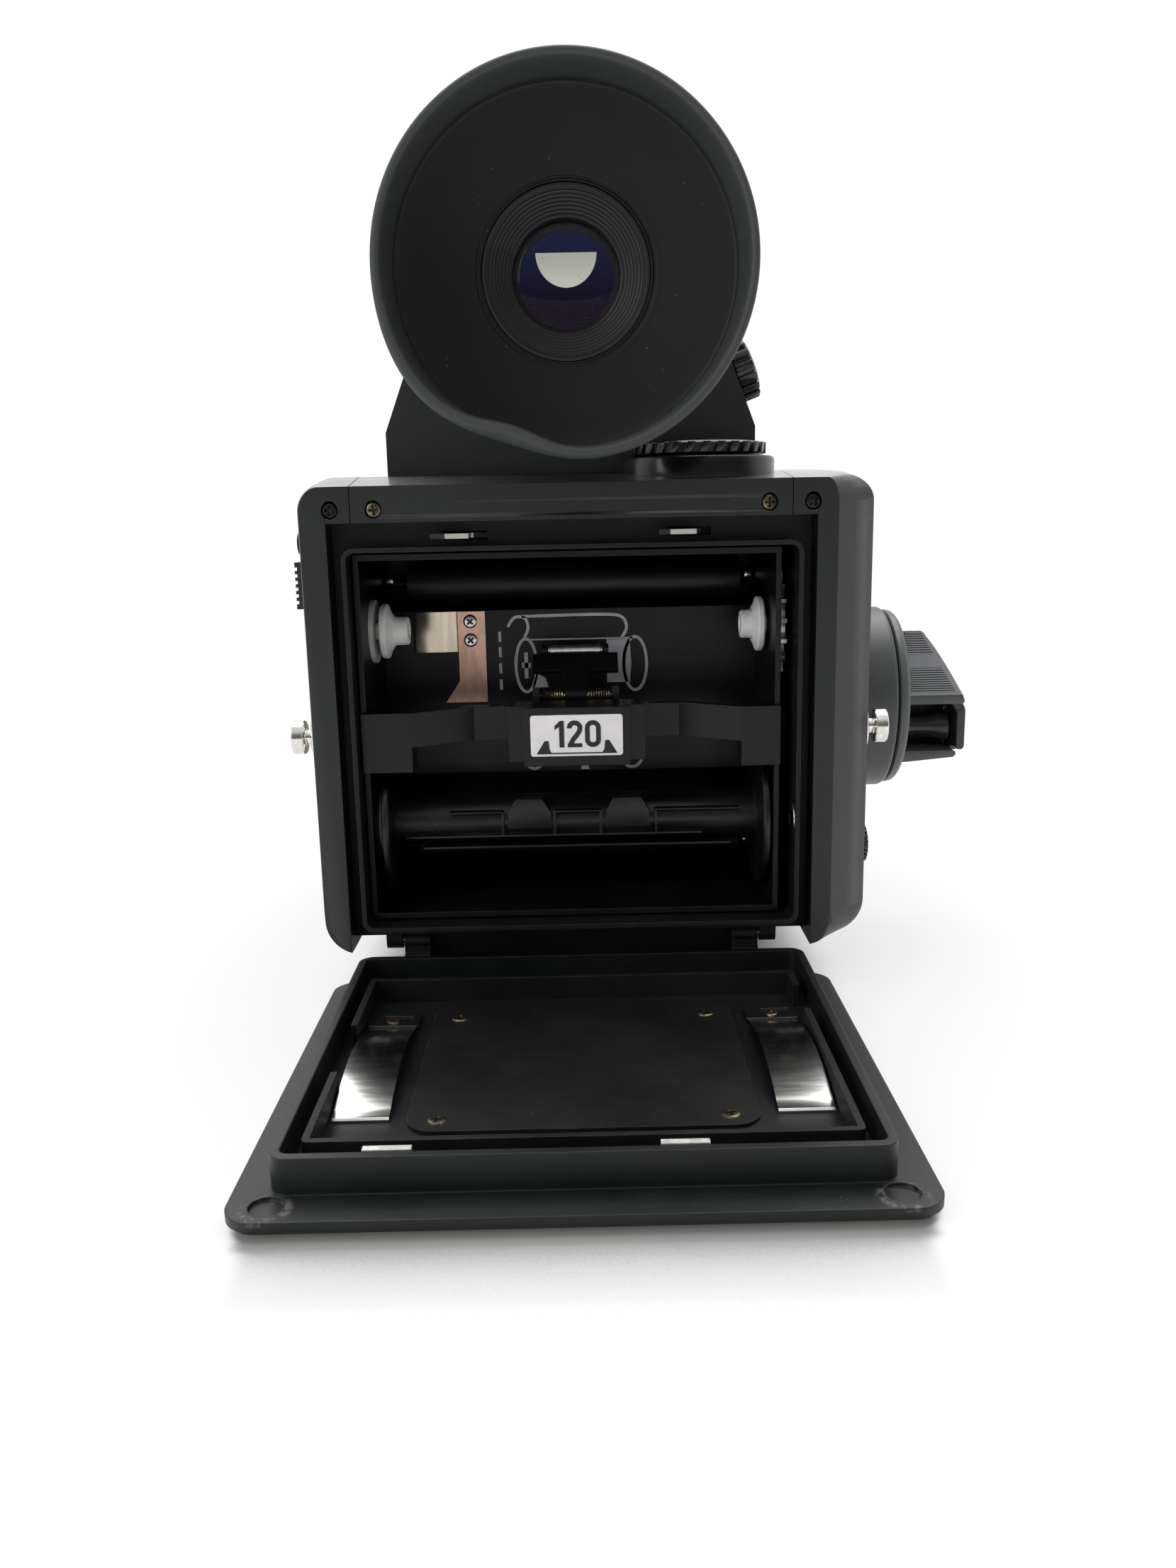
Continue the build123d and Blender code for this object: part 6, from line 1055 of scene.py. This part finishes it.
ARM_BAR = [
    (3.05, 11.2), (11.5, -2.75), (11.5, -9.4), (11.9, -9.85), (12.8, -9.85),
    (13.18, -9.35), (13.18, -2.3), (12.95, -1.55), (4.9, 11.7), (4.4, 11.9),
]
GRIP_WAIST = 0.95     # how much thinner the grip is at its middle


def make_crank():
    box, disc_x = reach("crank_disc"), reach("crank_base").x1
    outer, face, rim = box.high / 2, disc_x + 2.3, 1.3
    profile = [
        (0, box.x0), (2.5, box.x0), (2.5, 47.6), (4, 47.6), (4, disc_x + 0.15), (outer - 0.3, disc_x + 0.25),
        (outer, disc_x + 0.5), *arc(outer - rim, face - rim, rim, rim, 0, 90, 6), (0, face),
    ]
    plate = Shape().turned(profile, seat("right", 0, box.y, box.z), 144)
    slot = slot_of["crank_disc"]
    plate.piece("crank_plate", "winding_crank", slot, DISC_PAINTED_SHEEN, ["crank_disc", "crank_fold_pin"])

    half, clear = WEDGE_HALF, WEDGE_CLEAR
    side = seat("rear", face, box.y, box.z)
    wedge, gaps, foot = Shape(), Shape(), Shape()
    wedge.slab(WEDGE_CORE, -clear, clear, side, 0.1)
    foot.slab(FOOT_SOLE, -half, half, side, 0.2)
    foot.slab(FOOT_STEP, clear - 0.3, half - 0.12, side, 0.14)
    foot.piece("crank_foot", "winding_crank", slot, DISC_PAINTED_SHEEN)
    gaps.slab(rect(-0.5, 11.45, -10.6, -0.4), -half + 0.3, -3.15, side, 0.1)
    slope = flowing(WEDGE_SLOPE)
    near_cheek = [(-0.5, 0.75), (12.2, 0.75), *slope, (4.4, 12.7), (3.8, 12.98), (-0.5, 12.98)]
    far_cheek = [(-0.5, -1.0), (12.3, -1.0), (12.85, -0.3), *slope, (5.5, 11.0), (5.2, 11.3), (-0.5, 11.3)]
    # the cheeks and ribs are painted mid grey as a painted sheen
    wedge.slab(near_cheek, clear, half, side, 0.14)
    wedge.slab(far_cheek, -half, -clear, side, 0.12)
    for count, low, far in ((11, 1.45, 10.95), (10, 8.75, 6.35)):
        bar = Shape().slab(rect(0, 1, -0.13, 0.13), 0, 0.16, HERE, 0.03)
        sizes = {"Step": (0.0, RIB_PITCH, 0.0), "First_length": far - 0.9, "Growth": -RIB_LEAN * RIB_PITCH}
        bars = ROW.grow(bar, WEDGE_PAINTED_SHEEN, Count=count, **sizes)
        wedge.mesh_at(bars, side @ Matrix.Translation((0.9, low, half)))
        tall = RIB_PITCH * (count - 1) + 0.4
        pad = [(0.85, 0), (far + 0.1, 0), (far + 0.1 - RIB_LEAN * tall, tall), (0.85, tall)]
        # painted shade: a dark sheet under each pad of ribs shows between them
        gaps.slab([(x, low - 0.2 + y) for x, y in pad], half - 0.1, half + 0.03, side)
    wedge.piece("crank_wedge", "winding_crank", slot, WEDGE_PAINTED_SHEEN)
    gaps.piece("crank_rib_gaps", "winding_crank", slot, BLACK_WEB_AND_GROOVE_SHADE)

    arm = Shape()
    arm.slab(ARM_BAR, -5.6, 5.6, side, 0.3)
    arm.slab(ARM_LIP, -5.5, 1.5, side, 0.2)
    arm.slab(ARM_EDGE, 5.5, 5.98, side, 0.1)
    arm.slab(ARM_CATCH, -2.95, 2.95, side, 0.1)
    arm.turned(pin_profile(0.88, 11.0), seat("right", face + 0.55, box.y, box.z - 6.1), 32)
    arm.instead_of("crank_arm", "crank_arm_plate", GLOSS_CRANK)

    roller = reach("crank_roller")
    radius, long = roller.high / 2, roller.wide
    waist = [
        (radius - GRIP_WAIST * math.sin(math.pi * k / 16) ** 1.4, 0.5 + (long - 1) * k / 16) for k in range(9)
    ]
    waist = mirrored([(0.95, 0), (radius - 0.25, 0), (radius, 0.25), *waist], long)
    grip = Shape().turned(waist, roller.seat("right"), 80, shut=True)
    grip.instead_of("crank_roller", "crank_grip", GLOSS_CRANK)


make_crank()

# --- film insert ------------------------------------------------------------

SPOOL_CORE, SPOOL_BORE, FLANGE_THICK, SPOOL_DEEP = 4.3, 1.56, 1.2, 3.2
PLATE_WIDE, PLATE_TOP = 7.6, 4.5                  # the spool's two raised plates
LEAF_THICK, WHEEL_LONG = 0.14, 1.5
ARM_SPRING = (1.02, 0.2, 9, 3.9)                  # radius, wire, turns and length
ARM_SPRING_AT = 4.05


def make_hubs():
    for name, facing, new, stem_back, flange_back in (
        ("takeup_free_hub", "right", "takeup_free_cap", 2.5, 4.5),
        ("takeup_drive_hub", "left", "takeup_drive_cap", 2.2, 3.7),
    ):
        box = reach(name)
        long = box.wide
        stem, flange = long - stem_back, long - flange_back
        profile = [
            (0, 0), (1.45, 0), (1.45, flange - 0.25), (4.45, flange - 0.2), (4.68, flange + 0.05),
            (4.7, flange + 0.75), (4.5, flange + 1.0), (3.7, flange + 1.25), (2.95, flange + 1.7),
            (2.6, stem - 0.05), (2.45, stem + 0.35), (2.4, long - 0.3), (2.2, long - 0.06),
            (1.55, long), (1.5, long - 0.9), (0, long - 0.9),
        ]
        cap = Shape().turned(profile, box.seat(facing), 72)
        cap.instead_of(name, new, None, 30)


def make_spool():
    """The film spool: rounded flanges, a core with thin ribs, and two plates with sloping shoulders."""
    box = reach("film_spool")
    long, rim, core, thick = box.wide, box.high / 2, SPOOL_CORE, FLANGE_THICK
    half = [
        (0, SPOOL_DEEP), (SPOOL_BORE, SPOOL_DEEP), (SPOOL_BORE, 0.15), (SPOOL_BORE + 0.15, 0),
        (rim - 0.3, 0), (rim - 0.05, 0.15), (rim, 0.4), (rim, thick - 0.3), (rim - 0.3, thick),
        (core + 0.6, thick), (core, thick + 0.5),
    ]
    spool = Shape().turned(mirrored(half, long), box.seat("right"))
    ribs = [     # left, right, bottom and top, then how far out the rib reaches
        *((left, right, 2.0, 2.35, 2.6, 5.15) for left, right in ((-22.3, -12.9), (-3.8, 4.3), (13.9, 28.5))),
        *((x - 0.2, x + 0.2, -2.0, 2.3, 2.6, 5.1) for x in (-12.9, -3.8, 4.3, 13.9)),
        (-30.0, 22.0, -2.25, -1.85, 2.0, 5.15), (-27.0, 27.0, -4.35, -3.95, 2.0, 4.6),
    ]
    place = seat("rear", box.x, box.y, box.z)
    for *outline, low, high in ribs:
        spool.slab(rect(*outline), low, high, place, 0.08)
    for left, lean in ((-12.0, 1.7), (5.2, 1.55)):
        right, top = left + PLATE_WIDE, PLATE_TOP
        plate = [
            (left, -0.9), (right, -0.9), (right, 2.1), (right - lean + 0.3, top - 0.2), (right - lean, top),
            (left + lean, top), (left + lean - 0.3, top - 0.2), (left, 2.1),
        ]
        spool.slab(plate, 2.4, 4.95, place, 0.15)
    spool.instead_of("film_spool", "roll_film_spool", SPOOL_BLACK)


def make_leaf():
    box = reach("film_leaf")
    left, right, face, half = box.x0, box.x1, box.y1, box.high / 2
    line = flowing([
        (left, face - 0.05), (left + 0.5, face - 0.3), (left + 2.5, face - 0.62), (left + 5, face - 0.66),
        (right - 0.9, face - 0.36), (right, face - 0.1),
    ], 6)
    leaf = Shape().band(line, LEAF_THICK, -half, half, seat("up", 0, 0, box.z))
    leaf.instead_of("film_leaf", "film_leaf_spring", WARM_STEEL, 25)


def make_arm_fittings():
    parts = islands("insert_pin_and_screws")
    pin = max(parts, key=lambda box: box.wide)
    heads = [box for box in parts if box is not pin]
    whole = ["insert_pin_and_screws"]
    screws("contact_screws", "film_insert", "spring_steel", SMOOTH_STEEL, heads, "rear", 11, whole)
    rod = Shape().turned(pin_profile(pin.high / 2, pin.wide), pin.seat("right"), 32)
    rod.piece("arm_pin", "film_insert", "spring_steel", SMOOTH_STEEL)
    coils = Shape()
    for x in (-ARM_SPRING_AT, ARM_SPRING_AT):
        coils.coil(*ARM_SPRING, seat("right", x, pin.y, pin.z))
    coils.piece("arm_springs", "film_insert", "brass_screw", AGED_BRASS)

    box = reach("arm_roller")
    radius = box.high / 2
    half = [
        (0.42, 0), (0.62, 0), (0.72, 0.12), (0.72, 0.35), (radius, 0.5),
        (radius, WHEEL_LONG), (radius - 0.07, WHEEL_LONG + 0.06),
    ]
    roller = Shape().turned(mirrored(half, box.wide), box.seat("right"), 48, shut=True)
    roller.instead_of("arm_roller", "pressure_roller", ROLLER_CHROME, 25)


STROKE, DIGIT_HALF = 0.78, 2.23      # the label's digits: how thick their lines are, and half their height
DIGITS_AT, DIGITS_UP = (-2.5, -0.31, 2.68), 0.27
LABEL_THICK, INK_DEEP = 0.3, 0.08
CORNER_MARK = ((6.7, 0), (5.35, 2.2), (4.7, 2.2), (4.55, 0.75), (4.3, 0.3), (4.3, 0))
TWO = [
    (-0.88, 0.95), (-0.84, 1.35), (-0.5, 1.76), (0.05, 1.86), (0.6, 1.62),
    (0.86, 1.1), (0.72, 0.45), (0.3, -0.2), (-0.3, -0.95), (-0.72, -1.75),
]


def moved(outline, x, y):
    return [(px + x, py + y) for px, py in outline]


def make_label():
    box = reach("number_label")
    half_wide, half_high = box.wide / 2, box.high / 2
    place = box.seat("rear")
    outline = rounded_rect(-half_wide, half_wide, -half_high, half_high, 0.5)
    card = Shape().slab(outline, 0, LABEL_THICK, place, 0.05)
    card.instead_of("number_label", "number_plate", LABEL_WHITE)
    ink, face = Shape(), lifted(place, LABEL_THICK)
    tall = DIGIT_HALF
    one = [(0.4, tall), (-0.25, tall), (-1.15, 1.4), (-1.15, 0.72), (-0.4, 1.25), (-0.4, -tall), (0.4, -tall)]
    one, two, foot, zero = (moved(outline, x, DIGITS_UP) for outline, x in (
        (one, DIGITS_AT[0]), (flowing(TWO, 5), DIGITS_AT[1]), (rect(-1.2, 1.2, -tall, -1.58), DIGITS_AT[1]),
        (rounded_rect(-0.92, 0.92, -1.85, 1.85, 0.86), DIGITS_AT[2]),
    ))
    ink.slab(one, 0, INK_DEEP, face)
    ink.band(two, STROKE, 0, INK_DEEP, face)
    ink.slab(foot, 0, INK_DEEP - 0.01, face)
    ink.band(zero, STROKE, 0, INK_DEEP, face, closed=True)
    low = 0.4 - half_high
    for side in (-1, 1):
        ink.slab([(side * x, low + y) for x, y in CORNER_MARK], 0, INK_DEEP, face)
    ink.slab(rect(-4.4, 4.4, low, low + 0.2), 0, INK_DEEP, face)
    ink.piece("number_marks", "film_insert", "control_black", BLACK_INK_AND_SHADE)


PICTURE_LINE, PICTURE_THICK = 0.55, 0.06
PICTURE_AT = (1.35, 59.3)
PICTURE_FILLED = (
    [(4.4, -7.6), (8.6, -7.6), (8.9, -4.2), (8.6, 0.3), (4.4, 0.3)],
    [(-9.4, -8.3), (-6.4, -8.3), (-6.9, -6.6), (-8.6, -5.6)],
    rect(-11.2, -9.6, -4.7, -3.7),
    rect(-10.75, -10.05, -6.6, -1.8),
    [(-0.8, -23.9), (0.9, -23.9), (-0.1, -21.4)],
)
PICTURE_LINES = (
    flowing([(-10.6, 0.9), (-9.9, 2.6), (-10.4, 4.4), (-12.3, 4.6), (-13.6, 2.9)], 5),
    flowing([(-11.0, 4.75), (-4.0, 4.85), (4.5, 4.85), (7.3, 4.3), (8.1, 2.4), (7.2, 0.6)], 5),
    *([(-15.1, low), (-15.1, low + 1.9)] for low in (-8.6, -5.6, -2.6, 0.2)),
    *(arc(middle, -20.7, wide, 2.9, 180, 360, 20) for middle, wide in ((-9.4, 1.9), (8.8, 2.1))),
)


def make_pictogram():
    """A plain loading picture: a spool below a loop of film, with a dashed path and an arrow."""
    art = Shape()
    place = seat("rear", PICTURE_AT[0], reach("insert_back_plate").y0, PICTURE_AT[1])
    for middle, wide in ((-10.4, 1.9), (9.6, 2.1)):
        art.band(arc(middle, -4.2, wide, 4.9), PICTURE_LINE, 0, PICTURE_THICK, place, closed=True)
    art.band([(-9.6, 0.5), (9.2, 0.5)], 0.3, 0, PICTURE_THICK, place)
    for outline in PICTURE_FILLED:
        art.slab(outline, 0, PICTURE_THICK, place)
    for line in PICTURE_LINES:
        art.band(line, PICTURE_LINE, 0, PICTURE_THICK, place)
    art.piece("loading_picture", "film_insert", "label_paper", GREY_INK)


BUSH = (1.15, 1.3)     # radius and length
STUD_AT = (36.6, -36.4, 31.0)


def make_small_metal():
    """Steel bushes at the guide rollers' ends and the bright stud in the right channel."""
    bushes = Shape()
    for box in map(reach, ("upper_roller", "lower_roller")):
        for end, facing in ((box.x0 + BUSH[0], "right"), (box.x1 - BUSH[0], "left")):
            bushes.turned(pin_profile(*BUSH), seat(facing, end, box.y - 2.6, box.z + 0.7), 28)
    bushes.piece("roller_bushes", "film_insert", "spring_steel", SMOOTH_STEEL)
    profile = [(0, 0), (3.1, 0), (3.1, 0.35), (2.9, 0.6), (1.5, 0.62), (1.3, 0.45), (0, 0.45)]
    stud = Shape().turned(profile, seat("left", *STUD_AT), 56)
    stud.piece("channel_stud", "camera_body", "bright_chrome", SMOOTH_STEEL)


make_hubs()
make_spool()
make_leaf()
make_arm_fittings()
make_label()
make_pictogram()
make_small_metal()

# --- rear door --------------------------------------------------------------

SPRING_HALF, SPRING_THICK = 3.9, 0.22
SPRING_FOOT, SPRING_START = 0.35, 5.2      # how high the arch starts, and how far from the hinge end
CLAMP_BACK, HEAD_HALF = 2.9, 1.1


def make_door_springs():
    box = reach("door_springs")
    far, near = box.y1, box.y0
    crest, span = box.high - 0.1 - SPRING_FOOT, box.deep - 5.9
    arch = [
        (far - SPRING_START - span * t, SPRING_FOOT + crest * math.sin(math.pi * t) ** 0.85)
        for t in (k / 40 for k in range(1, 40))
    ]
    line = [
        (far, 0.2), (far - 2.5, 0.2), (far - 4.6, 0.25), *arch,
        (near + 0.35, 0.5), (near + 0.12, 0.3), (near + 0.1, 0.05),
    ]
    leaves, clamps, heads = Shape(), Shape(), []
    for middle in (box.x0 + SPRING_HALF, box.x1 - SPRING_HALF):
        leaves.band(line, SPRING_THICK, -SPRING_HALF, SPRING_HALF, seat("right", middle, 0, box.z0))
        place = seat("up", middle, far - CLAMP_BACK, box.z0 + 0.32)
        clamps.slab(rounded_rect(-4.2, 4.2, -2.4, 2.9, 0.5), 0, 0.55, place, 0.12)
        clamps.slab(rounded_rect(-1.6, 3.2, 0.7, 1.5, 0.2), 0.5, 0.85, place, 0.08)
        back = far - CLAMP_BACK
        heads.append(Box(
            middle - HEAD_HALF, middle + HEAD_HALF, back - 2 * HEAD_HALF, back, box.z0 + 0.87, box.z0 + 1.3))
    leaves.instead_of("door_springs", "door_leaf_springs", MIRROR_STEEL, 25)
    clamps.piece("spring_clamps", "rear_door", "control_black", BLACK_METAL)
    screws("spring_screws", "rear_door", "brass_screw", AGED_BRASS, heads, "up", 6)


make_door_springs()

# --- lens -------------------------------------------------------------------

DISTANCES = ("1", "1.2", "1.5", "2", "3", "5", "10")
STOPS = ("2.8", "4", "5.6", "8", "11", "16", "22")
LENS_RIB_DEEP, LENS_RIB_SHARE = 0.55, 0.62     # a rib's depth, and its share of its space round the ring
NUMBER_SINK, NUMBER_THICK, NUMBER_ASPECT = 0.2, 0.25, 0.62
LENS_FRONT_BULGE, LENS_BACK_BULGE = 3.2, 2.4


def numbers_round(name, body, words, centre, along, radius, size, spread):
    """Numbers standing on a ring about the lens axis, fanned over an angle in degrees."""
    marks, up = Shape(), Vector((0, 1, 0))
    for k, word in enumerate(words):
        angle = math.radians(90 + spread * (0.5 - k / (len(words) - 1)))
        out = Vector((math.cos(angle), 0, math.sin(angle)))
        at = Vector((centre.x, along, centre.z)) + out * (radius - NUMBER_SINK)
        mesh = lettering(word, NUMBER_ASPECT * size * len(word), size, NUMBER_THICK)
        marks.mesh_at(mesh, seat((up.cross(out), up, out), *at))
    marks.piece(name, body, "label_paper", WHITE_INK)


def make_lens():
    for name, new, count, bore, words, size, spread in (
        ("focus_ring", "focus_grip", 72, 26.05, DISTANCES, 2.2, 110),
        ("aperture_ring", "aperture_grip", 48, 27.05, STOPS, 1.9, 80),
    ):
        box = reach(name)
        outer, long = box.high / 2, box.deep
        place = box.seat("front")
        core, start = outer - LENS_RIB_DEEP, 0.3 * long
        profile = [
            (bore, 0), (outer - 0.4, 0), (outer - 0.1, 0.3), (outer - 0.1, start - 0.4),
            (outer - 0.35, start - 0.15), (core, start), (core, long - 0.8), (outer - 0.3, long - 0.6),
            (outer - 0.3, long - 0.2), (outer - 0.5, long), (bore, long),
        ]
        ring = Shape().turned(profile, place, 144, shut=True)
        half = LENS_RIB_SHARE * math.pi * core / count
        rib = Shape().slab(rect(-half, half, 0.3, long - start - 1.1), -0.2, 0.5, TURN_OUT, 0.16)
        ring.ring_of(count, core, rib, LENS_RUBBER, lifted(place, start))
        ring.instead_of(name, new, LENS_RUBBER)
        tall = min(size, 0.62 * start + 0.5)
        middle = box.y0 + start / 2
        numbers_round(new + "_numbers", body_of[name], words, box, middle, outer - 0.1, tall, spread)
    box = reach("lens_elements")
    radius, long = box.wide / 2, box.deep
    back = arc(0, LENS_BACK_BULGE, radius, LENS_BACK_BULGE, -90, 0, 12)
    front = arc(0, long - LENS_FRONT_BULGE, radius, LENS_FRONT_BULGE, 0, 90, 12)
    lens = Shape().turned(back + front, box.seat("front"))
    lens.piece("lens_glass", "camera_body", "coated_glass", FRONT_GLASS, ["lens_elements"], 30)


make_lens()

# --- stage ------------------------------------------------------------------

ROOM_SEEN = 0.16         # how bright the room before the object mirrors in it
ROOM_LIGHT = 0.27        # how much of the sweep's light that room gives
SKY_LIGHT = 0.5
TABLE_WHITE = (0.88, 0.885, 0.89)
SHADOW_TONE = (0.08, 0.08, 0.07)
SHADOW_REACH = 0.02      # how far from a contact the table still looks dark, in metres
FOCAL_LENGTH, SENSOR_WIDTH = 28.59, 36.0
CAMERA_AT = (0.00074, -0.24126, 0.08259)
YAW, PITCH, ROLL = (math.radians(angle) for angle in (0.272, 12.365, -1.168))


def ray_kinds(p):
    """Whether a ray comes straight from the eye, from a reflection or through glass."""
    kinds = ("Camera", "Glossy", "Transmission")
    return [p.node("ShaderNodeLightPath", {}, output=f"Is {kind} Ray") for kind in kinds]


def make_table():
    """A white table that looks evenly lit, with a painted shadow close to what stands on it, most before the door.
    """
    ground = bpy.data.meshes.new("floor")
    shape = bmesh.new()
    bmesh.ops.create_grid(shape, x_segments=1, y_segments=1, size=4.0)
    shape.to_mesh(ground)
    shape.free()
    floor = bpy.data.objects.new("floor", ground)
    scene.collection.objects.link(floor)
    floor.location.z = -0.1 * MM
    p = Paint("white_table")
    lit = p.node("ShaderNodeBsdfDiffuse", {}, TABLE_WHITE)
    # painted shadow: occlusion near a contact darkens the table's glow, more before the door
    open_share = p.node("ShaderNodeAmbientOcclusion", {"samples": 16}, Distance=SHADOW_REACH, output="AO")
    before_door = p.axis(1).ramp(-0.112, -0.107, 1.0, 0.0) * p.axis(0).absolute().ramp(0.038, 0.052, 1.0, 0.0)
    dark_at, clear_at = before_door * 0.77 + 0.1, before_door * 0.49 + 0.5
    tone = p.mix(open_share.ramp(dark_at, clear_at), SHADOW_TONE, (1.0, 1.0, 1.0))
    glow = p.node("ShaderNodeEmission", {}, tone)
    seen, glossy, through = ray_kinds(p)
    apart = p.node("ShaderNodeVectorMath", {"operation": "LENGTH"}, p.place, output="Value")
    share = (seen + glossy + through).least(1.0) * apart.ramp(0.12, 0.45, 0.7, 1.0)
    p.node("ShaderNodeOutputMaterial", {}, p.node("ShaderNodeMixShader", {}, share, lit, glow))
    dress(floor, p.owner)


def make_world():
    """White all round for the eye. Light comes from a white sweep behind and a dim room in front."""
    world = bpy.data.worlds.new("studio")
    scene.world = world
    p = Paint("studio", world)
    seen, glossy, through = ray_kinds(p)
    heading = p.node("ShaderNodeTexCoord", {}, output="Generated")
    behind, above = p.axis(1, heading).ramp(-0.55, 0.35), p.axis(2, heading).ramp(0.2, 0.95)
    reflected = behind.most(above * 0.75).ramp(0, 1, ROOM_SEEN, 1.0)
    lighting = behind.most(above).ramp(0, 1, ROOM_LIGHT, SKY_LIGHT)
    plain = (seen + through).least(1.0)
    level = (lighting * (1 - glossy) + reflected * glossy) * (1 - plain) + plain
    p.node("ShaderNodeOutputWorld", {}, p.node("ShaderNodeBackground", {}, (1.0, 1.0, 1.0), level))


def lamp(name, place, aim, size, power):
    data = bpy.data.lights.new(name, "AREA")
    data.shape = "RECTANGLE"
    data.size, data.size_y = size
    data.energy = power
    obj = bpy.data.objects.new(name, data)
    scene.collection.objects.link(obj)
    obj.location = place
    obj.rotation_mode = "QUATERNION"
    obj.rotation_quaternion = (Vector(aim) - Vector(place)).to_track_quat("-Z", "Y")


def make_camera():
    data = bpy.data.cameras.new("camera")
    data.sensor_width, data.lens, data.clip_start = SENSOR_WIDTH, FOCAL_LENGTH, 0.01
    camera = bpy.data.objects.new("camera", data)
    scene.collection.objects.link(camera)
    ahead = Vector((math.sin(YAW) * math.cos(PITCH), math.cos(YAW) * math.cos(PITCH), -math.sin(PITCH)))
    level = ahead.cross(Vector((0, 0, 1))).normalized()
    rise = level.cross(ahead)
    right = level * math.cos(ROLL) + rise * math.sin(ROLL)
    up = rise * math.cos(ROLL) - level * math.sin(ROLL)
    turn = Matrix((right, up, -ahead)).transposed()
    camera.matrix_world = Matrix.Translation(CAMERA_AT) @ turn.to_4x4()
    scene.camera = camera


make_table()
make_world()
lamp("overhead_softbox", (0.05, 0.35, 1.0), (0, 0, 0.05), (1.2, 1.0), 13)
lamp("left_fill", (-1.0, -0.8, 0.7), (0, 0, 0.06), (0.9, 0.9), 7)
make_camera()
scene.view_settings.view_transform = "Standard"
